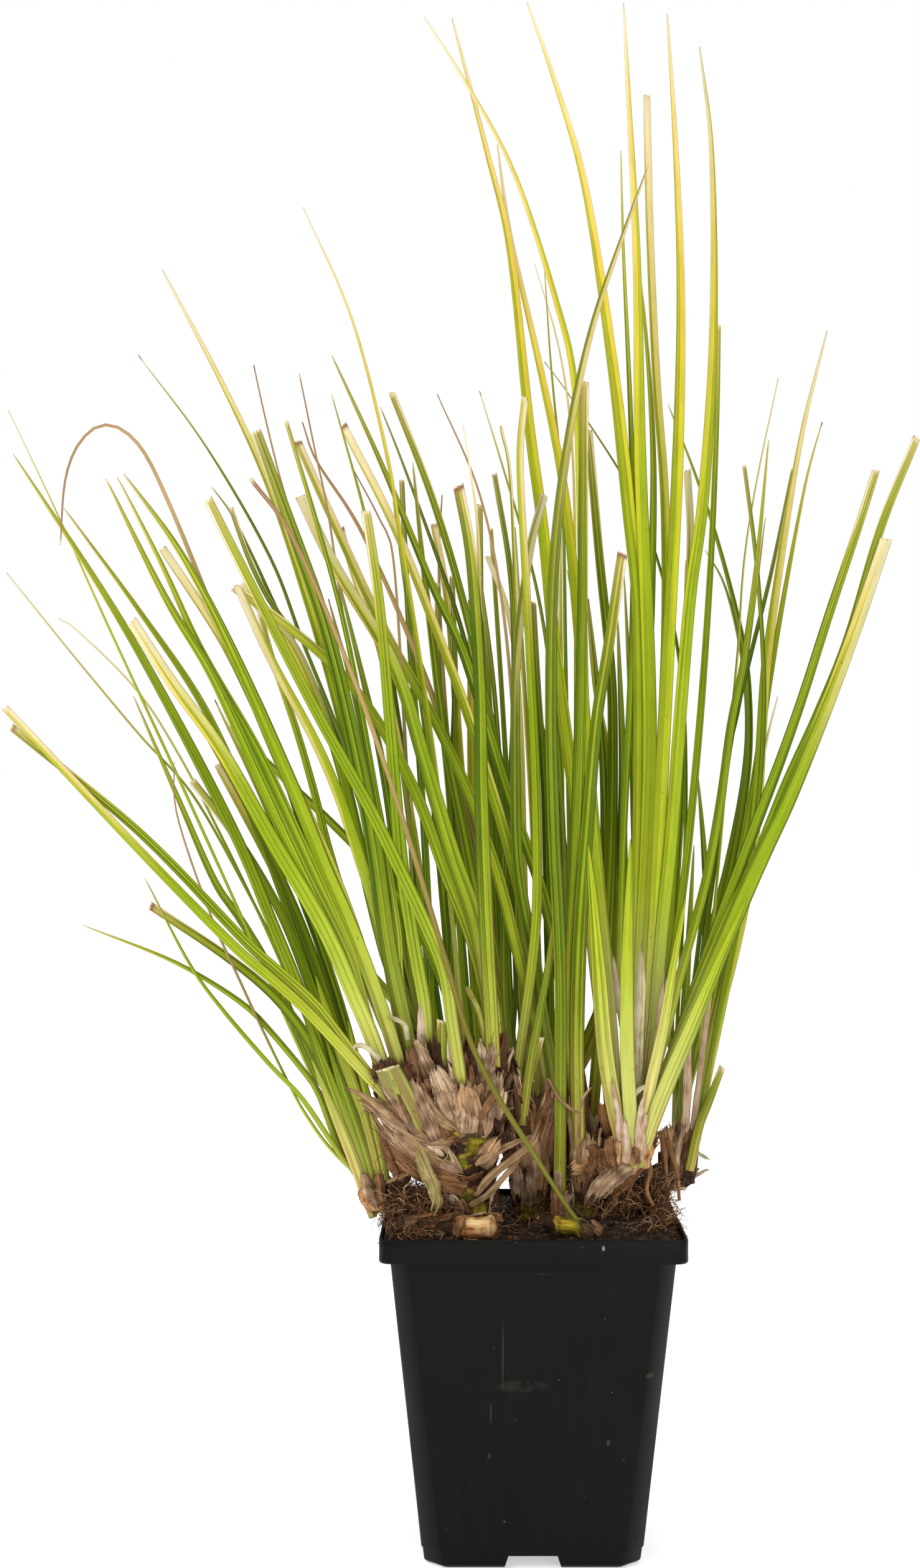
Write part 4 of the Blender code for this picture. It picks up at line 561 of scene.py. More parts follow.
# Loose strips by the rootstock that carries them
RIBBONS: dict[str, tuple[Ribbon, ...]] = {
    "big": read_ribbons("""
    STRAW 2.8 0.5 -22 122 -28, -30 121 -31, -36 125 -33, -44 129 -33, -50 134 -32, -56 137 -30,
        -60 136.5 -29;
    HUSK 4.6 0.25 -19 108 -25, -28 110 -29, -36 114 -31, -42 120 -32, -47 128 -31;
    STRAW 3 0.4 -24 112 -27, -31 116 -31, -38 122 -33, -43 126.5 -33;
    WILTED 4.4 0.8 -34.5 119 -32, -32 113 -34, -29.5 107 -35, -28.3 102 -35.5, -30.5 97.5 -36;
    STRAW 1.3 0.25 -44 108.5 -22, -39 110.5 -25, -34 112.5 -28;
    HUSK 6 0.25 -40 111 -22, -43 119 -23, -46 128 -24;
    MEMBRANE 1.7 0.6 -45 143 -31, -47 147 -32, -52 150.5 -32, -57 148 -31;
    SCAR 4.2 0.9 -51.2 106.6 -18.6, -49.4 101.6 -19.8, -44.4 98.6 -19.4;
    PAPER 3 0.9 -51 111 -18.8, -49.4 105 -20.4, -46.4 99.6 -20;
    HUSK 3.4 0.9 -46.4 111 -18.4, -45.6 105 -20, -43.4 100 -19.6;
    MEMBRANE 1.6 0.6 -37.5 152 -25, -39 157.5 -27, -45 160 -27;
    HUSK 2.3 0.5 -21 142 -27, -22 151 -27, -25 172 -26, -29 185 -25, -34 201 -25;
    STUB 2.4 0.25 -12.5 139 -21, -13.5 150 -22, -15.5 160 -23, -19.5 168.5 -23;
    HUSK 3.4 0.4 -17 127 -28, -14 131 -30, -11 136 -29, -10 141 -27;
    STRAW 2.6 0.4 -17 104 -23, -12 110 -25, -6 115 -24, 1 121 -20, 4 130 -17;
    STRAW 2 0.25 -19 101 -23, -13 104.5 -25, -7 111 -24, -1 118 -20;
    STRAW 2.4 0.25 -17 114 -26, -10 118 -26, -3 121.5 -21, 4 124 -16;
    BRACT 3.4 0.4 -31 139 -22, -33 146 -23, -33 156 -24, -33.5 166 -24;
    BRACT 2.6 0.5 -23 137 -28, -24 146 -28, -24.5 158 -27;
    BRACT 2.6 0.5 -13 138 -24, -14 146 -24, -16 153 -24;
    PAPER 5 0.4 -24 121 -28.5, -34 122.8 -32, -41.4 126.8 -33, -46.7 131.3 -31.5, -51 135.5 -30;
    PAPER 5.5 0.4 -22 111.5 -27, -32.6 116.5 -31, -38.8 120.7 -32.5, -44 124.7 -32, -48.5 131 -31;
    HUSK 5.5 0.4 -20 106 -24, -28.2 109.5 -28, -33.5 112.8 -29.5, -38 116.5 -30, -42.5 122 -30;
    PAPER 6.5 0.3 -23.5 124.5 -29.5, -25.5 131.3 -31, -28.5 140 -30.5;
    PAPER 7.5 0.3 -19.4 123.3 -29, -19.4 131.3 -30.5, -21.3 141 -29.5;
    PAPER 6.5 0.3 -15.8 122.4 -26.5, -13.8 130.4 -27.5, -11.4 139.2 -26.5, -10.2 146.5 -25.5;
    PAPER 3.6 0.6 -14.5 136 -26, -12.5 144.5 -26, -11.2 153 -25.5;
    HUSK 5.5 0.4 -25.5 121.6 -29.5, -31.5 130 -32.5, -35.4 136 -32.5, -41 142.5 -31.5;
    PAPER 5 0.9 -29 137 -28, -32.6 143.6 -28.5, -37 153.5 -28;
    STRAW 3.5 0.3 -33.5 136 -33, -28.5 128.5 -32.5, -21.5 124 -30;
    BURNT 8.6 0.9 -41.6 140 -33.8, -43.4 143 -34.8, -44.8 147 -34;
    PAPER 2.8 0.7 -34.6 123 -34.6, -39 130.4 -35.4, -44 137.5 -35.2, -46.6 144.5 -34;
    HUSK 3 0.7 -37.8 126.5 -34.4, -42 133 -35, -45.4 139 -34.8, -47.6 144 -34.2;
    PAPER 4.6 0.7 -29 121 -34, -32 128 -35, -35.4 135.5 -34.6, -37.4 142 -33.6;
    HUSK 1.3 0.6 -36.6 127 -35.8, -39.6 133 -36, -42 138.5 -35.6;
    HUSK 4.6 1.4 -23 91.5 -35.6, -21.4 95 -37, -21 98.6 -35.8"""),
    "middle": read_ribbons("""
    STRAW 1.2 0.6 5 136 -8, 5.5 140 -12, 9 134 -15, 14 130 -16, 19 129 -15;
    HUSK 3.2 0.4 0 119 -7, 3 127 -10, 5 133 -10, 5 140 -9;
    STRAW 2.2 0.3 -2 118 -7, -6 115 -11, -11 111 -13, -14 107 -14;
    HUSK 2.4 0.4 -3 122 -9, -6 127 -12, -8 134 -12;
    PAPER 5 0.3 -1 101 -4.5, 0 110 -5.5, -1.5 120 -7, -5.5 131 -9;
    PAPER 4.6 0.8 -4.2 119 -6.6, -3.6 112 -8, -3.4 102 -6;
    PAPER 4.8 0.8 0.4 121 -7.4, 0.8 112 -8.8, 0.6 101 -6.6;
    HUSK 4.6 0.8 5 119 -6.6, 5.2 111 -7.8, 4.4 102 -6;
    PAPER 3 0.8 8.8 118 -12, 9 107 -13.4, 9.4 96 -12.6;
    PAPER 5 0.3 3 101 -3.5, 3.2 111 -4.8, 4 121 -6.5, 6.5 134 -8.5;
    HUSK 4.5 0.5 1 104 -5, 1 114 -6.5, 1.5 124 -9, 1 135 -10;
    HUSK 3.4 0.7 8.6 96 -16.5, 8.4 103 -17, 8 109.5 -16.6;
    PAPER 3.2 0.7 11 96 -16.2, 11.4 102 -17, 12.4 107 -16.8;
    HUSK 2.8 0.7 9.8 95 -17, 9.9 100 -17.6, 9.6 104.5 -17.4"""),
    "right": read_ribbons("""
    STRAW 1.1 0.6 15 114 -13, 15 124 -15, 16 133 -16, 20 138.5 -16, 21.5 138 -15;
    MEMBRANE 1.8 0.7 30 130 -15, 31 133 -18, 34 137 -19, 40 138.5 -18;
    MEMBRANE 2.2 0.5 29 129 -15, 25 139 -18, 23 148 -18;
    BRACT 2 0.5 25 133 -15, 24 142 -16, 22.5 156 -15, 21 170 -14;
    BRACT 2.2 0.5 32 132 -13, 30 146 -14, 27.5 162 -13, 25 183 -12;
    BRACT 3 0.5 36 134 -14, 38 146 -15, 40 160 -14, 42 178 -13;
    MEMBRANE 3.2 0.5 32.6 132 -11, 33.2 150 -14, 34 170 -15, 34.5 182 -15, 36 186 -17;
    HUSK 3 0.4 20 118 -12, 19 113 -15, 16 111 -16;
    HUSK 4.5 0.5 23 119 -14, 23 113 -17, 24 108 -18;
    HUSK 4 0.5 19 120 -12, 20.5 115 -15, 21.5 111 -17;
    ROOT 1.6 0.25 36 118 -10, 37 112 -12, 36 106 -14, 38 101 -14;
    STRAW 1.4 0.25 12.5 110 -8, 13 120 -10, 12 129 -11, 12 138 -11;
    PAPER 7 0.4 34.5 117 -18, 28 112.5 -19.5, 22 107 -19.5, 17.5 101 -19;
    HUSK 6 0.5 23 112 -12, 20 106 -13.5, 17.5 99.5 -14;
    HUSK 4.5 0.5 27 111 -13.5, 25 104 -15, 24 98.5 -16;
    SCAR 4.2 0.9 26.2 112.6 -18.4, 27.6 117.4 -19.8, 28 123.4 -19.2;
    SCAR 4.6 0.9 31.4 111.6 -19, 32 117 -20.6, 31.6 122 -19.8;
    SCAR 3.6 0.9 35.2 112.4 -18.6, 35.8 117 -19.8, 37 122 -19.4;
    BRACT 3.2 0.9 29.6 114 -20.8, 29.8 121 -21.6, 29 130 -20.6;
    BRACT 2.6 0.9 34.2 115 -20.8, 34.4 121.6 -21.6, 36 131 -20.8;
    HUSK 3.4 0.9 24.4 121.6 -20, 24.8 116 -21, 26.6 110.6 -20.4;
    HUSK 2.6 0.8 25.6 119.6 -19.4, 25.2 115.6 -20.4, 26 112 -20;
    HUSK 2.2 0.8 33.2 121 -20.4, 33 117.4 -21.6, 33.6 113.4 -20.8;
    BRACT 2.4 0.6 27.6 121 -20.6, 27.4 130 -21, 25.2 141 -20.4;
    BRACT 2 0.6 33.2 119 -21.4, 34 128 -21.6, 35.6 137 -21"""),
    "right_rear": read_ribbons("""
    ROOT 1.7 0.25 40 124 6, 41.5 118 3, 42 111 3, 43 105 5;
    ROOT 1.7 0.25 42 122 5, 44 116 3, 45.5 110 4, 46 103 8;
    BRACT 2.8 0.5 46.6 112 10, 48.2 130 9.5, 48.8 152 9, 50.5 174 8;
    BRACT 1.8 0.5 49.4 120 10, 52 140 10, 54.5 160 9, 58 188 7.5;
    MEMBRANE 1.3 0.3 50 119 10, 52.5 117 8, 56 114.8 6;
    PAPER 3.4 0.9 44.4 108 8, 45.4 117 7, 47.4 128 8"""),
}
STRIP_PAINTS: dict[Strip, tuple[Colour, Colour]] = {
    Strip.STRAW: (paint(150, 122, 86), paint(226, 206, 166)),
    Strip.HUSK: (paint(104, 74, 50), paint(190, 150, 110)),
    Strip.MEMBRANE: (paint(206, 200, 150), paint(242, 234, 200)),
    Strip.BRACT: (paint(206, 176, 146), paint(242, 224, 200)),
    Strip.STUB: (paint(150, 172, 60), paint(196, 204, 110)),
    Strip.ROOT: (paint(140, 100, 64), paint(206, 164, 116)),
    Strip.PAPER: (paint(112, 88, 68), paint(228, 206, 180)),
    Strip.WILTED: (paint(140, 140, 78), paint(206, 198, 144)),
    Strip.SCAR: (paint(190, 134, 82), paint(244, 220, 172)),
    Strip.BURNT: (paint(56, 36, 26), paint(128, 88, 60)),
}
# Short broad leaves that wrap the feet of the long ones
SHEATHS: dict[str, tuple[Leaf, ...]] = {
    "left_clump": read_leaves("""
    -15 0 4.4 TIP GREEN -48.2 97.5, -50.5 106, -54 118, -59 131, -64 145, -70 162;
    -14 10 4 TIP BRIGHT -45.3 100, -47 110, -50 122, -54 136, -60 154, -66 172;
    -14.5 15 3.6 TIP DARK -46.6 99, -48.6 109, -52 121, -56.5 134, -62.5 152;
    -16.2 -10 3 TIP PALE -48.5 98, -52 109, -56.5 121, -62 134, -67 146;
    -13.4 5 2.6 TIP GREEN -43.4 100, -44.6 110, -47 122, -50.5 136, -56 158""")[0],
    "big_left": read_leaves("""
    -31.8 0 8.2 CUT STUB -34 124, -37.4 131, -41 137.5, -43.8 143.5""")[0],
    "right_fan": read_leaves("""
    -17.5 15 4.4 TIP GREEN 30 113, 28 122, 25.5 134, 23 150, 21 175, 18 212;
    -19 0 3.6 TIP GREEN 32 113, 31.3 124, 30.5 136, 29.8 152, 30 180, 31 214;
    -18.6 -10 4 TIP GREEN 34 113, 37.5 126, 42.5 139, 49 154, 57.5 174, 67 196;
    -17 -20 3 TIP PALE 33 114, 35 127, 37.5 140, 41 156, 44 174, 48 196""")[0],
}


def in_space(across: float, height: float, depth: float) -> Vector:
    """The point seen at (across, height) on the measuring plane, at a depth behind it."""
    on_plane = Vector((across, 0.0, height))
    return EYE + (on_plane - EYE) * (1.0 + depth / -EYE.y)


def on_plane(point: Sequence[float]) -> tuple[float, float]:
    """Where the eye sees a point on the measuring plane."""
    reach = -EYE.y / (point[1] - EYE.y)
    return EYE.x + (point[0] - EYE.x) * reach, EYE.z + (point[2] - EYE.z) * reach


def leaf_depth(lane: float, across: float, height: float) -> float:
    """Lanes fan out with height, and the whole tuft sways, so no two lanes cross.

    Args:
        lane: The leaf's depth at its foot.
        across: The spot on the measuring plane.
        height: Its height.

    Returns:
        The depth behind the plane.
    """
    rise = max(height - TUFT_FOOT, 0.0) / TUFT_HEIGHT
    sway = DEPTH_SWAY * rise ** 1.5 * math.sin((across - SWAY_CENTRE) / SWAY_LENGTH)
    return lane * (1.0 + DEPTH_SPREAD * rise) + sway


def smooth_route(points: list[Vector]) -> list[Vector]:
    """A Catmull-Rom line through points.

    Args:
        points: The points it passes through.

    Returns:
        The line's points, close together.
    """
    ends = [2 * points[0] - points[1], *points, 2 * points[-1] - points[-2]]
    line = []
    for a, b, c, d in zip(ends, ends[1:], ends[2:], ends[3:]):
        for step in range(ROUTE_STEPS):
            t = step / ROUTE_STEPS
            line.append(0.5 * (2 * b + (c - a) * t + (2 * a - 5 * b + 4 * c - d) * t ** 2
                               + (3 * b - a - 3 * c + d) * t ** 3))
    return line + [points[-1]]


def spots_along(line: list[Vector], shares: Sequence[float]) -> list[tuple[Vector, float]]:
    """Walks a line.

    Args:
        line: Its points.
        shares: Shares of its length, from 0 to 1.

    Returns:
        The point at each share, with the length run to it.
    """
    runs = [0.0]
    for a, b in zip(line, line[1:]):
        runs.append(runs[-1] + (b - a).length)
    spots = []
    for share in shares:
        run = runs[-1] * share
        at = min(bisect.bisect_right(runs, run) - 1, len(line) - 2)
        part = (run - runs[at]) / max(runs[at + 1] - runs[at], TINY)
        spots.append((line[at].lerp(line[at + 1], min(part, 1.0)), run))
    return spots


def even_shares(count: int) -> list[float]:
    """Shares from 0 to 1 with equal steps between them."""
    return [number / (count - 1) for number in range(count)]


def route_points(route: str) -> list[Vector]:
    """The points of a written route, with 0 for a number that it leaves out."""
    rows = [[float(word) for word in spot.split()] for spot in route.split(",")]
    return [Vector((*row, *[0.0] * (3 - len(row)))) for row in rows]


def sheath_share(run: float) -> float:
    """1 where a leaf is still within its sheath, falling to 0 where it is free."""
    return min(max((SHEATH_REACH - run) / (SHEATH_REACH - SHEATH_JOINED), 0.0), 1.0)


def leaf_line(leaf: Leaf, sheath_leaf: Leaf) -> list[Vector]:
    """The leaf's line in space. Near its foot it keeps to the leaf whose sheath it shares.

    Args:
        leaf: The leaf.
        sheath_leaf: The first leaf of its sheath.

    Returns:
        Its points, at even steps.
    """
    own = spots_along(smooth_route(route_points(leaf.route)), even_shares(FINE_STEPS))
    host = smooth_route(route_points(sheath_leaf.route))
    host_length = spots_along(host, [1.0])[0][1]
    beside = spots_along(host, [min(run / host_length, 1.0) for _, run in own])
    line = []
    for (spot, run), (other, _) in zip(own, beside):
        across, height, _ = spot.lerp(other, sheath_share(run))
        line.append(in_space(across, height, leaf_depth(leaf.lane, across, height)))
    return line


class Wire:
    """A node's output. Arithmetic on it adds the Math nodes of the expression."""

    def __init__(self, graph: "Graph", socket: bpy.types.NodeSocket) -> None:
        """Holds the socket and the graph that it belongs to."""
        self.graph = graph
        self.socket = socket

    def _math(self, operation: str, first: "Value", second: "Value") -> "Wire":
        """One Math node."""
        return self.graph.node("ShaderNodeMath", {"operation": operation}, {0: first, 1: second})

    def __add__(self, other: "Value") -> "Wire":
        """This plus the other."""
        return self._math("ADD", self, other)

    def __radd__(self, other: "Value") -> "Wire":
        """The other plus this."""
        return self._math("ADD", other, self)

    def __sub__(self, other: "Value") -> "Wire":
        """This less the other."""
        return self._math("SUBTRACT", self, other)

    def __rsub__(self, other: "Value") -> "Wire":
        """The other less this."""
        return self._math("SUBTRACT", other, self)

    def __mul__(self, other: "Value") -> "Wire":
        """This times the other."""
        return self._math("MULTIPLY", self, other)

    def __rmul__(self, other: "Value") -> "Wire":
        """The other times this."""
        return self._math("MULTIPLY", other, self)

    def sine(self) -> "Wire":
        """The sine of this."""
        return self._math("SINE", self, 0.0)


Value = Wire | float | Colour


class Graph:
    """One material's nodes, built round its Principled shader."""

    def __init__(self, name: str, **constants: float) -> None:
        """Starts a material, with what is the same all over set on the shader's own sockets.

        Args:
            name: The material's name.
            constants: Socket names, with _ for a space, and their values.
        """
        self.material = bpy.data.materials.new(name)
        self.material.use_nodes = True
        self.tree = self.material.node_tree
        self.shader = self.tree.nodes["Principled BSDF"]
        self.colour: Value = (1.0, 1.0, 1.0)
        for socket, value in constants.items():
            self.shader.inputs[socket.replace("_", " ")].default_value = value

    def _feed(self, socket: bpy.types.NodeSocket, value: Value) -> None:
        """Links a wire to a socket, or sets a plain value on it.

        Args:
            socket: The socket.
            value: A wire, a number or a colour.
        """
        if isinstance(value, Wire):
            self.tree.links.new(value.socket, socket)
        elif isinstance(value, tuple) and len(socket.default_value) == 4:
            socket.default_value = (*value, 1.0)
        else:
            socket.default_value = value

    def node(self, kind: str, settings: dict | None = None, inputs: dict | None = None,
             output: int | str = 0) -> Wire:
        """Adds a node: its settings first, then its sockets.

        Args:
            kind: The node's type.
            settings: Its properties, with "stops" for a ramp's (place, colour) pairs.
            inputs: Values or wires by socket name or number.
            output: The output that is wanted.

        Returns:
            That output.
        """
        made = self.tree.nodes.new(kind)
        for key, value in (settings or {}).items():
            if key != "stops":
                setattr(made, key, value)
                continue
            ramp = made.color_ramp.elements
            while len(ramp) < len(value):
                ramp.new(0.5)
            for element, (place, colour) in zip(ramp, value):
                element.position = place
                element.color = (*colour, 1.0)
        for key, value in (inputs or {}).items():
            self._feed(made.inputs[key], value)
        return Wire(self, made.outputs[output])

    def attribute(self, name: str, output: str = "Vector") -> Wire:
        """A value, or with output "Color" a colour, that the mesh carries at each of its points."""
        return self.node("ShaderNodeAttribute", {"attribute_name": name}, output=output)

    def split(self, vector: Wire) -> tuple[Wire, Wire, Wire]:
        """Parts a vector.

        Args:
            vector: The vector.

        Returns:
            Its three numbers.
        """
        first = self.node("ShaderNodeSeparateXYZ", {}, {0: vector})
        outputs = first.socket.node.outputs
        return first, Wire(self, outputs[1]), Wire(self, outputs[2])

    def join(self, x: Value, y: Value, z: Value) -> Wire:
        """A vector of three numbers."""
        return self.node("ShaderNodeCombineXYZ", {}, {0: x, 1: y, 2: z})

    def place(self, scale: Spot = (1.0, 1.0, 1.0), turn: Spot = (0.0, 0.0, 0.0)) -> Wire:
        """Object coordinates, stretched and turned."""
        spot = self.node("ShaderNodeTexCoord", output="Object")
        return self.node("ShaderNodeMapping", {}, {"Vector": spot, "Scale": scale, "Rotation": turn})

    def grain(self, vector: Wire, scale: float, detail: float = 2.0, rough: float = 0.5,
              twist: float = 0.0) -> Wire:
        """Soft noise.

        Args:
            vector: Where it is read.
            scale: How close its grains are.
            detail: How many finer layers it has.
            rough: How strong they are.
            twist: How far it is warped.

        Returns:
            A value from 0 to 1.
        """
        return self.node("ShaderNodeTexNoise", {}, {
            "Vector": vector, "Scale": scale, "Detail": detail, "Roughness": rough,
            "Distortion": twist})

    def ramp(self, factor: Value, *stops: tuple[float, float, float, float]) -> Wire:
        """The colour between stops.

        Args:
            factor: Where it is read.
            stops: A place with red, green and blue from 0 to 255 for each.

        Returns:
            The colour.
        """
        placed = [(place, paint(*colour)) for place, *colour in stops]
        return self.node("ShaderNodeValToRGB", {"stops": placed}, {0: factor})

    def mix(self, factor: Value, first: Value, second: Value, blend: str = "MIX") -> Wire:
        """Two colours mixed by a factor."""
        return self.node("ShaderNodeMix", {"data_type": "RGBA", "blend_type": blend},
                         {0: factor, 6: first, 7: second}, output=2)

    def between(self, value: Wire, low: float, high: float, start: float = 0.0,
                end: float = 1.0) -> Wire:
        """A smooth step from start to end as the value goes from low to high."""
        return self.node("ShaderNodeMapRange", {"interpolation_type": "SMOOTHSTEP"},
                         {0: value, 1: low, 2: high, 3: start, 4: end})

    def bump(self, height: Wire, strength: float, depth: float) -> Wire:
        """A normal raised by a height, with its depth in metres."""
        return self.node("ShaderNodeBump", {}, {"Height": height, "Strength": strength,
                                                "Distance": depth})

    def lay(self, factor: Value, coat: Wire | Colour, blend: str = "MIX") -> None:
        """Lays a coat over the colour so far.

        Args:
            factor: How much of it covers.
            coat: Its colour, as a wire or as 0 to 255 screen values.
            blend: How it is mixed in.
        """
        tint = coat if isinstance(coat, Wire) else paint(*coat)
        self.colour = self.mix(factor, self.colour, tint, blend)

    def dress(self, roughness: Value, normal: Wire | None = None) -> Material:
        """Feeds the shader with the colour so far.

        Args:
            roughness: The roughness.
            normal: The normal, if it is bumped.

        Returns:
            The material.
        """
        self._feed(self.shader.inputs["Base Color"], self.colour)
        self._feed(self.shader.inputs["Roughness"], roughness)
        if normal:
            self._feed(self.shader.inputs["Normal"], normal)
        return self.material


@dataclass(frozen=True)
class LeafFinish:
    """Living and dying leaf, in lengthwise streaks between its veins."""

    name: str
    lush: float = 0.5
    shine: float = 0.42
    pale_foot: float = 0.06

    def material(self) -> Material:
        """Builds the material.

        Its meshes carry "growth" (share of the length, gold, pale), "state" (dark, dry, half),
        "mark" (seed, cut face, dying end), and a UV of the share across and the run in centimetres.

        Returns:
            The material.
        """
        graph = Graph(self.name, IOR=1.42, Specular_IOR_Level=0.16)
        share, gold, pale = graph.split(graph.attribute("growth"))
        dark, dry, half = graph.split(graph.attribute("state"))
        seed, cut, withering = graph.split(graph.attribute("mark"))
        across, run, _ = graph.split(graph.node("ShaderNodeTexCoord", output="UV"))
        fresh = graph.ramp(share, (0.0, 216, 216, 112), (0.2, 190, 202, 46), (0.55, 144, 170, 10),
                           (0.88, 176, 184, 44), (1.0, 208, 194, 98))
        deep = graph.ramp(share, (0.0, 142, 154, 26), (0.28, 84, 110, 2), (0.75, 72, 100, 2),
                          (0.92, 116, 130, 32), (1.0, 154, 142, 74))
        golden = graph.ramp(share, (0.0, 200, 210, 76), (0.2, 186, 204, 36), (0.5, 202, 208, 36),
                            (0.75, 230, 204, 72), (0.92, 244, 214, 128), (1.0, 250, 232, 184))
        faded = graph.ramp(share, (0.0, 214, 216, 130), (0.3, 202, 204, 84), (0.6, 220, 208, 96),
                           (0.85, 240, 222, 162), (1.0, 246, 232, 204))
        dried = graph.ramp(share, (0.0, 104, 100, 34), (0.3, 116, 106, 40), (0.7, 186, 156, 108),
                           (1.0, 160, 122, 94))
        streak_seed = seed * 37.0
        broad = graph.grain(graph.join(across * 4.4 + streak_seed, run * 0.03, seed * 11.0), 1.0, 2.0)
        fine = graph.grain(graph.join(across * 17.0 + streak_seed, run * 0.07, seed * 7.0), 1.0, 2.0)
        veins = (across * 62.0 + fine * 2.0).sine()
        mottle = graph.grain(graph.join(across * 2.0, run * 0.9, seed * 23.0), 1.0, 3.0, 0.6)
        aside = (across - 0.5) * (across - 0.5) * 4.0
        green_streaks = graph.between(broad + (fine - 0.5) * 0.25, 0.5 - 0.1 * self.lush, 0.58)
        graph.colour = graph.mix(green_streaks * 0.72 + dark * 0.6 - gold * 0.25, fresh, deep)
        late = graph.between(share, 0.3, 0.95)
        gold_streaks = graph.between(fine * 0.5 + (1.0 - broad) * 0.5 + gold * 0.3, 0.5, 0.72)
        graph.lay(gold_streaks * gold * (0.3 + late * 0.25), golden)
        flip = graph.between(seed, 0.49, 0.51)
        edge = across + flip * (1.0 - across * 2.0) + (broad - 0.5) * 0.35
        turned = share * 0.95 + gold * 0.8 - edge * 0.9
        graph.lay(graph.between(turned, 0.73, 0.83), golden)
        blanched = share + pale * 0.6 - edge * 0.9
        graph.lay(graph.between(blanched, 0.73, 0.81, 0.0, 0.9), faded)
        half_side = graph.between(across + (fine - 0.5) * 0.12, 0.47, 0.53) * half
        graph.lay(half_side * graph.between(share, 0.62, 0.8), faded)
        withered = graph.between(share, 0.1, 0.75, 0.5) * dry
        graph.lay(graph.between(withered + (broad - 0.5) * dry, 0.3, 0.75), dried)
        graph.lay(graph.between(veins, -0.2, 1.0, 0.0, 0.12), (186, 196, 150), "MULTIPLY")
        foot = graph.between(run + (fine - 0.5) * 3.0, 0.8, 7.0, 1.0, 0.0)
        graph.lay(foot * (self.pale_foot + gold * 0.3 + pale * 0.4), (236, 230, 160))
        stained = graph.between(broad + fine * 0.4 - run * 0.05, 0.58, 0.78) * (1.0 - dark)
        graph.lay(stained * graph.between(run, 1.0, 6.0, 0.7, 0.0), (170, 118, 70))
        rusty = graph.between(aside + (fine - 0.5) * 0.5, 0.6, 0.95) * graph.between(seed, 0.45, 0.6)
        graph.lay(rusty * graph.between(run, 3.0, 13.0, 0.65, 0.0), (176, 130, 84))
        own_tint = graph.ramp(seed, (0.0, 214, 220, 204), (0.35, 255, 255, 255), (0.7, 234, 232, 214),
                              (1.0, 255, 250, 240))
        graph.lay(1.0, own_tint, "MULTIPLY")
        # Painted shade: the blade is darkened towards both its edges.
        graph.lay(graph.between(aside, 0.74, 0.98, 0.0, 0.5), (120, 128, 60), "MULTIPLY")
        # Painted highlight: a light golden line down the middle of the blade.
        graph.lay(graph.between(aside, 0.0, 0.02, 0.3, 0.0), golden)
        graph.lay(graph.between(mottle, 0.35, 0.75, 0.0, 0.25), (176, 180, 110), "MULTIPLY")
        specks = graph.grain(graph.join(across * 6.0, run * 3.6, seed * 19.0), 1.0, 1.0)
        graph.lay(graph.between(specks, 0.77, 0.81, 0.0, 0.75), (72, 52, 30))
        frayed = graph.grain(graph.join(across * 14.0, run * 2.0, seed), 1.0)
        dying = graph.ramp(frayed, (0.35, 232, 220, 176), (0.55, 216, 194, 142), (0.7, 170, 134, 96))
        dying = graph.mix(graph.between(seed, 0.72, 0.76), dying, paint(132, 82, 60))
        graph.lay(graph.between(withering + (frayed - 0.5) * 0.4, 0.35, 0.8), dying)
        face = graph.mix(graph.between(frayed, 0.5, 0.62), paint(236, 224, 178), paint(150, 118, 72))
        graph.lay(cut, face)
        height = veins * 0.35 + fine * 1.4 + mottle * 0.4
        rough = graph.between(mottle, 0.3, 0.8, self.shine - 0.06, self.shine + 0.14)
        return graph.dress(rough, graph.bump(height, 0.35, 0.00012))


@dataclass(frozen=True)
class HuskFinish:
    """Dry fibrous husk, bark and straw, each strip in the tint that its mesh carries."""

    name: str
    strand: float = 24.0
    roughness: float = 0.82
    blotches: float = 0.45

    def material(self) -> Material:
        """Builds the material. A mesh carries "tint", and a UV across and along each strip.

        Returns:
            The material.
        """
        graph = Graph(self.name, IOR=1.4, Specular_IOR_Level=0.28)
        tint = graph.attribute("tint", "Color")
        across, along, _ = graph.split(graph.node("ShaderNodeTexCoord", output="UV"))
        offset = graph.grain(graph.place(), 190.0, 1.0)
        fibres = graph.grain(graph.join(across * self.strand, along * 1.6, offset * 3.0), 1.0, 3.0, 0.65)
        threads = graph.grain(graph.join(across * self.strand * 3.1, along * 2.6, offset), 1.0, 2.0)
        blotch = graph.grain(graph.place(), 330.0, 3.0, 0.6)
        light = graph.ramp(fibres, (0.3, 118, 92, 72), (0.5, 230, 210, 190), (0.7, 255, 248, 236))
        _, _, chalk = graph.split(tint)
        solid = graph.between(chalk, 0.28, 0.5, 1.0, 0.25)
        graph.colour = graph.mix(solid, tint, light, "MULTIPLY")
        graph.lay(graph.between(blotch, 0.5, 0.72, 0.0, self.blotches) * solid, (78, 52, 34))
        graph.lay(graph.between(threads, 0.62, 0.8, 0.0, 0.35), (232, 204, 164))
        height = fibres * 1.2 + threads * 0.8 + blotch * 0.5
        rough = graph.between(blotch, 0.3, 0.7, self.roughness - 0.12, self.roughness + 0.1)
        return graph.dress(rough, graph.bump(height, 0.8, 0.0003))


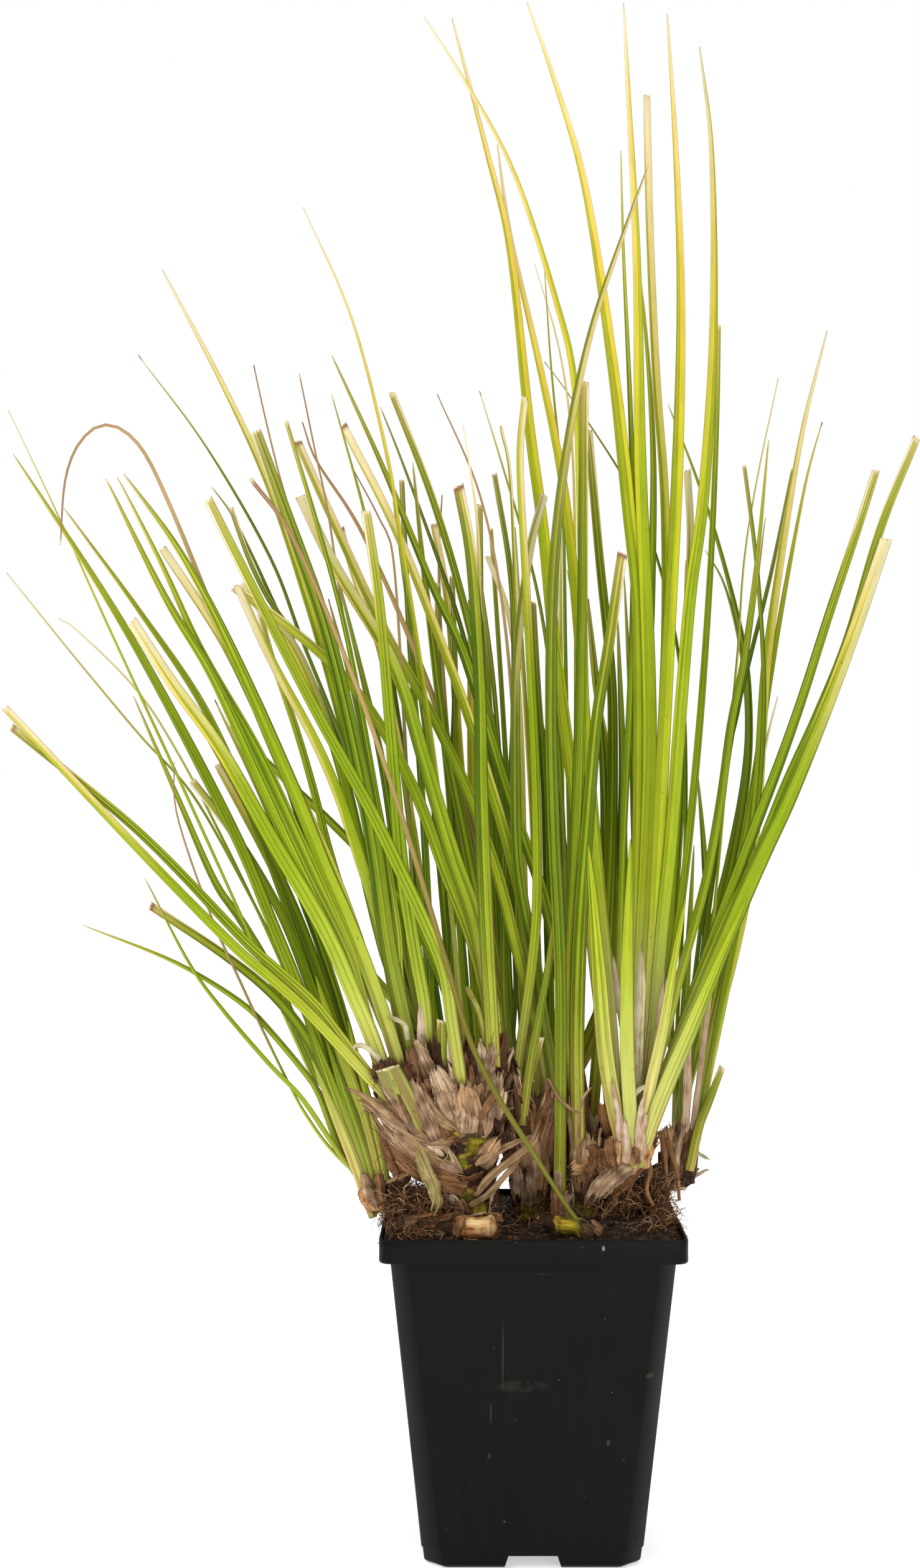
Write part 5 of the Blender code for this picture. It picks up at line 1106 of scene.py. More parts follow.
@dataclass(frozen=True)
class PeatFinish:
    """Damp dark peat."""

    name: str = "damp_peat"

    def material(self) -> Material:
        """Builds the material.

        Returns:
            The material.
        """
        graph = Graph(self.name, IOR=1.4, Specular_IOR_Level=0.35)
        lumps = graph.grain(graph.place(), 420.0, 4.0, 0.65)
        grit = graph.grain(graph.place(), 1500.0, 2.0, 0.6)
        threads = graph.grain(graph.place((1.0, 3.5, 1.0), (0.0, 0.0, 0.7)), 620.0, 2.0, 0.5, 1.2)
        graph.colour = graph.ramp(lumps, (0.3, 14, 10, 8), (0.46, 30, 21, 16), (0.6, 62, 44, 30),
                                  (0.74, 104, 78, 54))
        graph.lay(graph.between(threads, 0.63, 0.7, 0.0, 0.7), (140, 106, 72))
        graph.lay(graph.between(grit, 0.74, 0.78, 0.0, 0.6), (150, 132, 108))
        height = lumps * 1.5 + grit * 0.7
        rough = graph.between(lumps, 0.3, 0.7, 0.6, 0.95)
        return graph.dress(rough, graph.bump(height, 1.0, 0.0006))


@dataclass(frozen=True)
class Mark:
    """A scratch or a dusty place on the pot's front: its centre, its half widths, how strong."""

    centre: tuple[float, float]
    reach: tuple[float, float]
    strength: float
    broken: bool = False


@dataclass(frozen=True)
class PotFinish:
    """Thin black nursery plastic, drawn upright in the mould, scratched and dusty."""

    name: str = "nursery_black"
    marks: tuple[Mark, ...] = (
        Mark((-9.0, 64.0), (0.25, 12.5), 0.07), Mark((-12.5, 47.0), (0.25, 4.0), 0.07),
        Mark((-3.0, 55.0), (9.0, 2.2), 0.025, True), Mark((-13.0, 34.0), (0.8, 1.0), 0.1, True),
        Mark((20.0, 96.6), (0.5, 0.9), 0.5, True), Mark((22.0, 38.0), (0.6, 1.2), 0.12, True),
        Mark((34.0, 58.0), (1.6, 1.0), 0.06, True), Mark((4.0, 88.5), (7.0, 0.25), 0.04, True),
    )

    def _mark(self, graph: Graph, spot: Wire, mark: Mark) -> Wire:
        """A worn or dusty place of the front.

        Args:
            graph: The material's nodes.
            spot: Object coordinates.
            mark: The place.

        Returns:
            1 on it, falling to 0 round it.
        """
        x, y, z = graph.split(spot)
        aside = (x - mark.centre[0] * MM) * (1.0 / (mark.reach[0] * MM))
        above = (z - mark.centre[1] * MM) * (1.0 / (mark.reach[1] * MM))
        return graph.between(aside * aside + above * above, 1.0, 0.3) * graph.between(y, -0.02, -0.025)

    def material(self) -> Material:
        """Builds the material.

        Returns:
            The material.
        """
        graph = Graph(self.name, IOR=1.45, Specular_IOR_Level=0.12)
        spot = graph.place()
        drawn = graph.grain(graph.place((1.0, 1.0, 0.05)), 520.0, 3.0, 0.6)
        cloud = graph.grain(spot, 26.0, 3.0, 0.55)
        dust = graph.grain(spot, 900.0, 2.0, 0.5)
        smear = graph.grain(graph.place((1.0, 1.0, 1.0), (0.3, 0.5, 0.4)), 60.0, 4.0, 0.7, 1.5)
        graph.colour = graph.mix(graph.between(cloud, 0.35, 0.7), paint(7, 7, 6), paint(11, 10, 9))
        graph.lay(graph.between(drawn, 0.45, 0.75, 0.0, 0.5), (17, 16, 15))
        graph.lay(graph.between(smear, 0.66, 0.82, 0.0, 0.2), (54, 49, 44))
        broken = graph.between(smear, 0.4, 0.55)
        for mark in self.marks:
            worn = self._mark(graph, spot, mark) * (broken if mark.broken else 1.0)
            graph.lay(worn * mark.strength, (176, 166, 150))
        graph.lay(graph.between(dust, 0.76, 0.8, 0.0, 0.6), (140, 130, 116))
        rough = graph.between(cloud + (drawn - 0.5) * 0.5, 0.3, 0.75, 0.34, 0.5)
        height = drawn * 0.6 + cloud * 0.3 + smear * 0.3
        return graph.dress(rough, graph.bump(height, 0.25, 0.0001))


@dataclass(frozen=True)
class FloorFinish:
    """Plain white studio paper."""

    name: str = "studio_white"

    def material(self) -> Material:
        """Builds the material.

        Returns:
            The material.
        """
        graph = Graph(self.name, Specular_IOR_Level=0.1, Emission_Strength=0.5,
                      Emission_Color=(1.0, 1.0, 1.0, 1.0))
        fleck = graph.grain(graph.place(), 40.0, 2.0)
        graph.colour = graph.mix(fleck, paint(247, 247, 246), paint(250, 250, 249))
        return graph.dress(0.9)


def unit(vectors: np.ndarray) -> np.ndarray:
    """Vectors brought to length 1."""
    return vectors / np.maximum(np.linalg.norm(vectors, axis=-1, keepdims=True), TINY)


def read_between(table: np.ndarray, places: np.ndarray, runs: np.ndarray) -> np.ndarray:
    """Reads a table of numbers or points between its rows.

    Args:
        table: A number or a point for each run.
        places: Where it is read.
        runs: The run of each row.

    Returns:
        A number or a point for each place.
    """
    if table.ndim == 1:
        return np.interp(places, runs, table)
    return np.stack([np.interp(places, runs, table[:, axis]) for axis in range(3)], -1)


def tube_faces(rings: int, sides: int) -> tuple[np.ndarray, np.ndarray]:
    """Joins rings of points into a closed tube.

    Args:
        rings: How many rings follow each other.
        sides: The points of a ring.

    Returns:
        The four-sided faces of the wall, and the two end faces.
    """
    ring, spoke = np.meshgrid(np.arange(rings - 1), np.arange(sides), indexing="ij")
    here, there = ring * sides + spoke, ring * sides + (spoke + 1) % sides
    wall = np.stack([here, there, there + sides, here + sides], -1).reshape(-1, 4)
    return wall, np.stack([np.arange(sides)[::-1], (rings - 1) * sides + np.arange(sides)])


def grid_uv(along: np.ndarray, across: np.ndarray) -> np.ndarray:
    """A UV for each spot of a grid: its share across, then its share along."""
    return np.stack(np.meshgrid(along, across, indexing="ij")[::-1], -1).reshape(-1, 2)


def scatter(rng: random.Random, spread: float) -> np.ndarray:
    """A random step in space."""
    return np.array([rng.gauss(0, spread) for _ in range(3)])


def fibre_line(rng: random.Random, start: np.ndarray, heading: np.ndarray, bend: float, wander: float,
               stride: tuple[float, float], scale: float = 1.0) -> np.ndarray:
    """The line of a loose fibre that leaves an edge and wanders off.

    Args:
        rng: The draws of its piece.
        start: Where it is held.
        heading: The way it leaves.
        bend: How much it bends to one side all along.
        wander: How much each step strays.
        stride: The shortest and longest step.
        scale: What the steps are multiplied by.

    Returns:
        The points of the line.
    """
    turn = scatter(rng, bend)
    line = [start]
    for _ in range(FIBRE_STEPS):
        heading = unit(heading + turn + scatter(rng, wander))
        line.append(line[-1] + heading * rng.uniform(*stride) * scale)
    return np.array(line)


def deselect_all() -> None:
    """An operator acts on all that is selected, so nothing is before each one."""
    bpy.ops.object.select_all(action="DESELECT")


def activate(obj: Piece) -> None:
    """Selects one object and makes it the active one.

    Args:
        obj: The object.
    """
    deselect_all()
    obj.select_set(True)
    bpy.context.view_layer.objects.active = obj


def place_points(obj: Piece, points: np.ndarray) -> None:
    """Puts an object's points in place, its own origin at the world's.

    Args:
        obj: The object.
        points: Its points in millimetres.
    """
    obj.matrix_world = Matrix.Identity(4)
    obj.data.vertices.foreach_set("co", (points * MM).astype(np.float32).ravel())
    obj.data.update()


def carry(mesh: bpy.types.Mesh, name: str, values: np.ndarray) -> None:
    """Stores three numbers for each point of a mesh."""
    attribute = mesh.attributes.new(name, "FLOAT_VECTOR", "POINT")
    attribute.data.foreach_set("vector", values.astype(np.float32).ravel())


def carry_uv(mesh: bpy.types.Mesh, corner_uv: np.ndarray) -> None:
    """Stores a UV for each face corner."""
    layer = mesh.uv_layers.active or mesh.uv_layers.new(name="UVMap")
    layer.uv.foreach_set("vector", corner_uv.astype(np.float32).ravel())


def face_outwards() -> None:
    """Turns the faces of the mesh in edit mode outwards, and leaves edit mode."""
    bpy.ops.mesh.select_all(action="SELECT")
    bpy.ops.mesh.normals_make_consistent(inside=False)
    bpy.ops.object.mode_set(mode="OBJECT")


def cover(obj: Piece, finish: Material, smooth: bool = True) -> None:
    """Gives an object its one finish, and shades it all over.

    Args:
        obj: The piece.
        finish: Its material.
        smooth: Whether it is shaded smooth.
    """
    obj.data.materials.clear()
    obj.data.materials.append(finish)
    obj.data.polygons.foreach_set("use_smooth", [smooth] * len(obj.data.polygons))


def ride_as(obj: Piece, slot: str, *nodes: str) -> Piece:
    """Puts a finished piece on the plant's one body, in place of its nodes.

    Args:
        obj: The piece.
        slot: Not used.
        nodes: The CAD nodes it stands for.

    Returns:
        The piece.
    """
    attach(obj, BODY)
    if nodes:
        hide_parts(*nodes)
    LOG.info("%s: %d faces", obj.name, len(obj.data.polygons))
    return obj


class MeshPile:
    """Sheets, strands and lumps gathered into one mesh, with a UV and a tint all over."""

    def __init__(self) -> None:
        """Starts empty."""
        self.points: list[np.ndarray] = []
        self.tints: list[np.ndarray] = []
        self.corners: list[np.ndarray] = []
        self.sizes: list[np.ndarray] = []
        self.uvs: list[np.ndarray] = []
        self.count = 0

    def add(self, points: np.ndarray, faces: Sequence[np.ndarray], uv: np.ndarray,
            tint: np.ndarray) -> None:
        """Adds one closed form.

        Args:
            points: Its points in millimetres.
            faces: Arrays of faces, each array of one corner count.
            uv: One UV for each point.
            tint: One colour, or one for each point.
        """
        self.points.append(points)
        self.tints.append(np.broadcast_to(tint, points.shape))
        for batch in faces:
            self.corners.append((batch + self.count).ravel())
            self.sizes.append(np.full(len(batch), batch.shape[1]))
            self.uvs.append(uv[batch.ravel()])
        self.count += len(points)

    def strand(self, line: np.ndarray, radii: np.ndarray, tint: np.ndarray, sides: int = 4,
               flat: float = 1.0) -> None:
        """Adds a round or flattened strand.

        Args:
            line: Its points.
            radii: Its radius at each of them.
            tint: One colour, or one for each point of its rings.
            sides: The points of a ring.
            flat: Its thickness as a share of its width.
        """
        rings = len(line)
        along = unit(np.gradient(line, axis=0))
        side = np.empty_like(line)
        last = np.cross(along[0], (0.31, 0.87, 0.38))
        for ring in range(rings):
            last = last - along[ring] * float(last @ along[ring])
            last = last / max(float(np.linalg.norm(last)), TINY)
            side[ring] = last
        face = np.cross(along, side)
        angles = np.arange(sides) * math.tau / sides
        ring_points = (side[:, None] * np.cos(angles)[None, :, None]
                       + face[:, None] * np.sin(angles)[None, :, None] * flat)
        points = (line[:, None] + ring_points * radii[:, None, None]).reshape(-1, 3)
        uv = grid_uv(np.linspace(0, 1, rings), np.arange(sides) / sides)
        self.add(points, tube_faces(rings, sides), uv, tint)

    def sheet(self, grid: np.ndarray, thick: float, tint: np.ndarray) -> None:
        """Adds a thin closed sheet, thinner at its edges.

        Args:
            grid: Rows of points that it passes through.
            thick: Its thickness.
            tint: One colour, or one for each point of the grid.
        """
        rows, columns = grid.shape[:2]
        normal = unit(np.cross(np.gradient(grid, axis=1), np.gradient(grid, axis=0)))
        half = np.full((rows, columns, 1), thick / 2)
        half[0] = half[-1] = half[:, 0] = half[:, -1] = thick / 5
        points = np.concatenate([(grid + normal * half).reshape(-1, 3),
                                 (grid - normal * half).reshape(-1, 3)])
        index = np.arange(rows * columns).reshape(rows, columns)
        top = np.stack([index[:-1, :-1], index[:-1, 1:], index[1:, 1:], index[1:, :-1]], -1)
        top = top.reshape(-1, 4)
        bottom = top[:, ::-1] + rows * columns
        rim = np.concatenate([index[0, :-1], index[:-1, -1], index[-1, :0:-1], index[:0:-1, 0]])
        ahead = np.roll(rim, -1)
        walls = np.stack([ahead, rim, rim + rows * columns, ahead + rows * columns], -1)
        uv = grid_uv(np.linspace(0, 1, rows), np.linspace(0, 1, columns))
        if tint.ndim == 3:
            tint = np.tile(tint.reshape(-1, 3), (2, 1))
        self.add(points, (top, bottom, walls), np.tile(uv, (2, 1)), tint)

    def make(self, name: str, finish: Material, smooth: bool = True) -> Piece:
        """Turns the pile into one object at the origin.

        Args:
            name: The piece's name.
            finish: Its material.
            smooth: Whether it is shaded smooth.

        Returns:
            The piece.
        """
        mesh = bpy.data.meshes.new(name)
        corners, sizes = np.concatenate(self.corners), np.concatenate(self.sizes)
        mesh.vertices.add(self.count)
        mesh.vertices.foreach_set("co", (np.concatenate(self.points) * MM).astype(np.float32).ravel())
        mesh.loops.add(len(corners))
        mesh.loops.foreach_set("vertex_index", corners.astype(np.int32))
        mesh.polygons.add(len(sizes))
        starts = np.concatenate([[0], np.cumsum(sizes)[:-1]])
        mesh.polygons.foreach_set("loop_start", starts.astype(np.int32))
        mesh.update(calc_edges=True)
        mesh.validate()
        carry(mesh, "tint", np.concatenate(self.tints))
        carry_uv(mesh, np.concatenate(self.uvs))
        obj = bpy.data.objects.new(name, mesh)
        cover(obj, finish, smooth)
        bpy.context.scene.collection.objects.link(obj)
        return obj


@dataclass
class Blade:
    """One leaf: a flat sword with a low midrib, thick in its sheath and fine at its tip."""

    leaf: Leaf
    host: Leaf
    seed: float
    around: int = 12
    ring_gap: float = 3.6
    ridge: float = 0.45
    fold: float = 0.05
    cut_depth: float = 0.5
    slant: float = 0.5
    belly: float = 0.2
    belly_share: float = 0.28
    dying_reach: dict[End, float] = field(default_factory=lambda: {CUT: 1.6, TIP: 0.1})
    ragged: float = 0.25
    sheath_growth: float = 0.3
    clean_lead: float = 100.0
    sheath: bool = False

    def _spots(self) -> list[tuple[Vector, float, float]]:
        """Steps down the leaf, with two close rings at a cut end.

        Returns:
            The centre, run and share of the length of each ring.
        """
        line = leaf_line(self.leaf, self.host)
        length = spots_along(line, [1.0])[0][1]
        count = max(int(length / self.ring_gap), 12)
        shares = even_shares(count)
        if self.leaf.end is CUT:
            shares[-1:] = [1.0 - self.cut_depth / length, 1.0]
        return [(spot, run, run / length) for spot, run in spots_along(line, shares)]

    def _section(self) -> tuple[np.ndarray, np.ndarray]:
        """The blade's cross-section.

        Returns:
            Places across from -1 to 1, and through it.
        """
        angle = np.linspace(0.0, math.tau, self.around + 1)
        across = np.cos(angle)
        through = np.sign(np.sin(angle).round(9)) * (
            (1 - self.ridge) * np.abs(np.sin(angle)) + self.ridge * (1 - np.abs(across)))
        return across, through

    def _points(self, spots: list[tuple[Vector, float, float]]) -> np.ndarray:
        """Lays every ring round the leaf's line.

        Args:
            spots: The centre, run and share of each ring.

        Returns:
            Their points in millimetres.
        """
        across, through = self._section()
        rng = random.Random(self.seed)
        lean = rng.uniform(-self.slant, self.slant)
        fold = self.fold * rng.choice((-1.0, 1.0))
        rings = []
        for number, (centre, run, share) in enumerate(spots):
            along = (spots[min(number + 1, len(spots) - 1)][0] - spots[max(number - 1, 0)][0])
            along.normalize()
            face = (EYE - centre).normalized()
            side = along.cross(face).normalized()
            face = side.cross(along).normalized()
            sheath = sheath_share(run)
            turn = math.radians(self.leaf.turn) * (1.0 - sheath)
            wide = side * math.cos(turn) + face * math.sin(turn)
            thin = face * math.cos(turn) - side * math.sin(turn)
            swell = self.belly * math.exp(-((share - self.belly_share) / self.belly_share) ** 2)
            extra = SHEATH_EXTRA * sheath if self.leaf.width > BROAD_LEAF else 0.0
            width = self.leaf.width * (1.0 + swell * (1.0 - sheath)) + extra
            thick = BLADE_THICK + (SHEATH_THICK - BLADE_THICK) * sheath
            if self.sheath:
                width *= 0.5 + 0.5 * min(run / FOOT_REACH, 1.0) ** 0.7
            if self.leaf.end is TIP:
                fine = min((1.0 - share) / TAPER_SHARE, 1.0) ** TAPER_POWER
                width = TIP_WIDTH + (width - TIP_WIDTH) * fine
                thick = TIP_THICK + (thick - TIP_THICK) * fine
            else:
                width *= CUT_NARROWING + (1.0 - CUT_NARROWING) * min(2.0 * (1.0 - share), 1.0)
            centre, along, wide, thin = (np.array(v) for v in (centre, along, wide, thin))
            ring = (centre + np.outer(across, wide) * width / 2
                    + np.outer(through * thick / 2 + fold * width * (np.abs(across) - 0.5), thin))
            if self.leaf.end is CUT and number >= len(spots) - 2:
                ragged = np.array([rng.uniform(-self.ragged, self.ragged) for _ in across])
                ragged[-1] = ragged[0]
                ring = ring + np.outer(across * lean * width / 2 + ragged, along)
            rings.append(ring)
        return np.concatenate(rings)

    def build(self, name: str) -> Piece:
        """A grid wrapped round the leaf's line, sewn up its seam and closed at both ends.

        Args:
            name: The blade's name.

        Returns:
            The blade, with what its finish reads.
        """
        spots = self._spots()
        deselect_all()
        bpy.ops.mesh.primitive_grid_add(x_subdivisions=self.around, y_subdivisions=len(spots) - 1,
                                        size=MM)
        obj = bpy.context.active_object
        obj.name = name
        place_points(obj, self._points(spots))
        across, _ = self._section()
        mix = TONE_MIXES[self.leaf.tone]
        rows = len(spots)
        share = np.repeat([spot[2] for spot in spots], self.around + 1)
        run = np.repeat([spot[1] for spot in spots], self.around + 1)
        same = np.ones_like(share)
        cut = np.zeros(rows)
        cut[-1] = 1.0 if self.leaf.end is CUT else 0.0
        growth = share * (self.sheath_growth if self.sheath else 1.0)
        carry(obj.data, "growth", np.stack([growth, same * mix.gold, same * mix.pale], -1))
        carry(obj.data, "state", np.stack([same * mix.dark, same * mix.dry, same * mix.half], -1))
        clean = self.leaf.end is TIP and self.leaf.tone in (GOLD, PALE)
        left = run.max() - run + (self.clean_lead if self.sheath or clean else 0.0)
        reach = self.dying_reach[self.leaf.end] * (0.6 + 0.8 * self.seed)
        carry(obj.data, "mark", np.stack([same * self.seed, np.repeat(cut, self.around + 1),
                                          np.clip(1.0 - left / reach, 0.0, 1.0)], -1))
        uv = np.stack([(np.tile(across, rows) + 1) / 2, run / 10.0], -1)
        corners = np.empty(len(obj.data.loops), np.int32)
        obj.data.loops.foreach_get("vertex_index", corners)
        carry_uv(obj.data, uv[corners])
        bpy.ops.object.mode_set(mode="EDIT")
        bpy.ops.mesh.select_all(action="SELECT")
        bpy.ops.mesh.remove_doubles(threshold=2e-6)
        bpy.ops.mesh.select_all(action="SELECT")
        bpy.ops.mesh.fill_holes(sides=0)
        face_outwards()
        return obj


@dataclass
class Tuft:
    """All the leaves, one piece for each sheath."""

    finishes: dict[str, LeafFinish] = field(default_factory=lambda: {
        "left_clump": LeafFinish("leaf_left_clump", 0.9),
        "big_left": LeafFinish("leaf_big_left", 0.45),
        "big_middle": LeafFinish("leaf_big_middle", 0.5),
        "big_right": LeafFinish("leaf_big_right", 0.5),
        "rear_left": LeafFinish("leaf_rear_left", 1.0),
        "middle": LeafFinish("leaf_middle", 0.85),
        "centre": LeafFinish("leaf_centre", 0.7),
        "right_fan": LeafFinish("leaf_right_fan", 0.3, pale_foot=0.3),
        "right_rear": LeafFinish("leaf_right_rear", 0.45),
    })

    def build(self) -> None:
        """Builds every sheath's leaves and joins them into its piece."""
        for clump, sheaths in CLUMPS.items():
            material = self.finishes[clump].material()
            for number, leaves in enumerate(sheaths, 1):
                word = "leaf" if len(leaves) == 1 else "leaves"
                name = f"{clump}_{'blade' if len(leaves) == 1 else 'blades'}_{number}"
                piece = self._sheath(name, leaves, material)
                ride_as(piece, clump, f"{clump}_{word}_{number}")
            if clump in SHEATHS:
                ride_as(self._sheath(f"{clump}_sheaths", SHEATHS[clump], material), clump)

    def _sheath(self, name: str, leaves: tuple[Leaf, ...],
                material: Material) -> Piece:
        """Joins the leaves that grew from one sheath.

        Args:
            name: The piece's name.
            leaves: Its leaves.
            material: Their finish.

        Returns:
            The piece.
        """
        blades = []
        for number, leaf in enumerate(leaves):
            seed = math.modf(math.sin(sum(map(ord, name)) * 12.9898 + number * 78.233) * 437.585)[0]
            short = leaves in SHEATHS.values()
            blade = Blade(leaf, leaf if short else leaves[0], abs(seed), sheath=short)
            blades.append(blade.build(f"{name}_{number}"))
        deselect_all()
        for blade in blades:
            blade.select_set(True)
        bpy.context.view_layer.objects.active = blades[0]
        if len(blades) > 1:
            bpy.ops.object.join()
        piece = bpy.context.view_layer.objects.active
        piece.name = name
        cover(piece, material)
        return piece


class StemLine:
    """A stem's axis in space, at millimetre steps and running on past its end."""

    past = 16
    fading = 14.0

    def __init__(self, stem: Sequence[tuple[float, float, float, float]]) -> None:
        """Lays the axis through the stem's points.

        Args:
            stem: (across, height, depth, radius) points.
        """
        points = [in_space(*spot[:3]) for spot in stem]
        line = np.array(smooth_route(points))
        steps = np.linalg.norm(np.diff(line, axis=0), axis=1)
        runs = np.concatenate([[0.0], np.cumsum(steps)])
        self.length = float(runs[-1])
        self.runs = np.linspace(0.0, self.length, max(int(self.length) + 1, 4))
        centres = read_between(line, self.runs, runs)
        places = np.linspace(0.0, self.length, len(stem))
        self.radii = np.interp(self.runs, places, [spot[3] for spot in stem])
        ahead = unit(centres[-1] - centres[-2])
        extra = np.arange(1.0, self.past + 1.0)
        self.runs = np.concatenate([self.runs, self.length + extra])
        self.centres = np.concatenate([centres, centres[-1] + extra[:, None] * ahead])
        self.radii = np.concatenate([self.radii, self.radii[-1] * np.exp(-extra / self.fading)])
        self.along = unit(np.gradient(self.centres, axis=0))
        self.side = unit(np.cross(self.along, (0.0, 1.0, 0.0)))
        self.face = np.cross(self.side, self.along)

    def at(self, table: np.ndarray, run: np.ndarray) -> np.ndarray:
        """A table of the axis, read at any runs."""
        return read_between(table, run, self.runs)

    def out(self, run: np.ndarray, angle: np.ndarray) -> np.ndarray:
        """The way out from the axis at a run and an angle, an angle of a quarter turn to the eye."""
        return (self.at(self.side, run) * np.cos(angle)[..., None]
                - self.at(self.face, run) * np.sin(angle)[..., None])


def torn(rng: random.Random, columns: int, depth: float) -> np.ndarray:
    """How far each column of a sheet reaches: its end is torn into strips."""
    rough = np.array([rng.random() for _ in range(columns)])
    return 1.0 - depth * (0.6 * rough + 0.4 * np.roll(rough, 1))[None, :]


def streaked_with_shaded_foot(rng: random.Random, down: np.ndarray, columns: int, low: float = 0.66) -> np.ndarray:
    """Light and dark along the strips of a sheet, at random from strip to strip, with painted shade at
    its foot, so that it is lighter towards its end.
    """
    strips = np.array([rng.uniform(low, 1.2) for _ in range(columns)])[None, :]
    # Painted shade: each sheet is darkened towards its foot, where the sheets above cover it.
    return ((0.42 + 0.78 * down ** 0.7) * strips)[..., None]


BARE_PAINTS: dict[Bare, tuple[Colour, Colour]] = {
    Bare.LIVE: (paint(112, 122, 24), paint(196, 182, 54)),
    Bare.SHEATH: (paint(172, 178, 100), paint(214, 212, 156)),
    Bare.KNOB: (paint(206, 150, 98), paint(238, 212, 160)),
}
HUSK_PAINTS: dict[Husk, tuple[Colour, ...]] = {
    Husk.BROWN: (paint(140, 100, 68), paint(178, 142, 108), paint(206, 176, 142), paint(222, 200, 168),
                 paint(100, 70, 48), paint(158, 122, 94)),
    Husk.PALE: (paint(188, 146, 102), paint(222, 188, 142), paint(238, 214, 174), paint(150, 110, 74)),
}
# The stem's colour outside its windows: painted shade, as dark as the hollows under the husks
STEM_SHADE_BROWN = paint(58, 40, 28)
COLLAR_BROWN = paint(112, 78, 52)


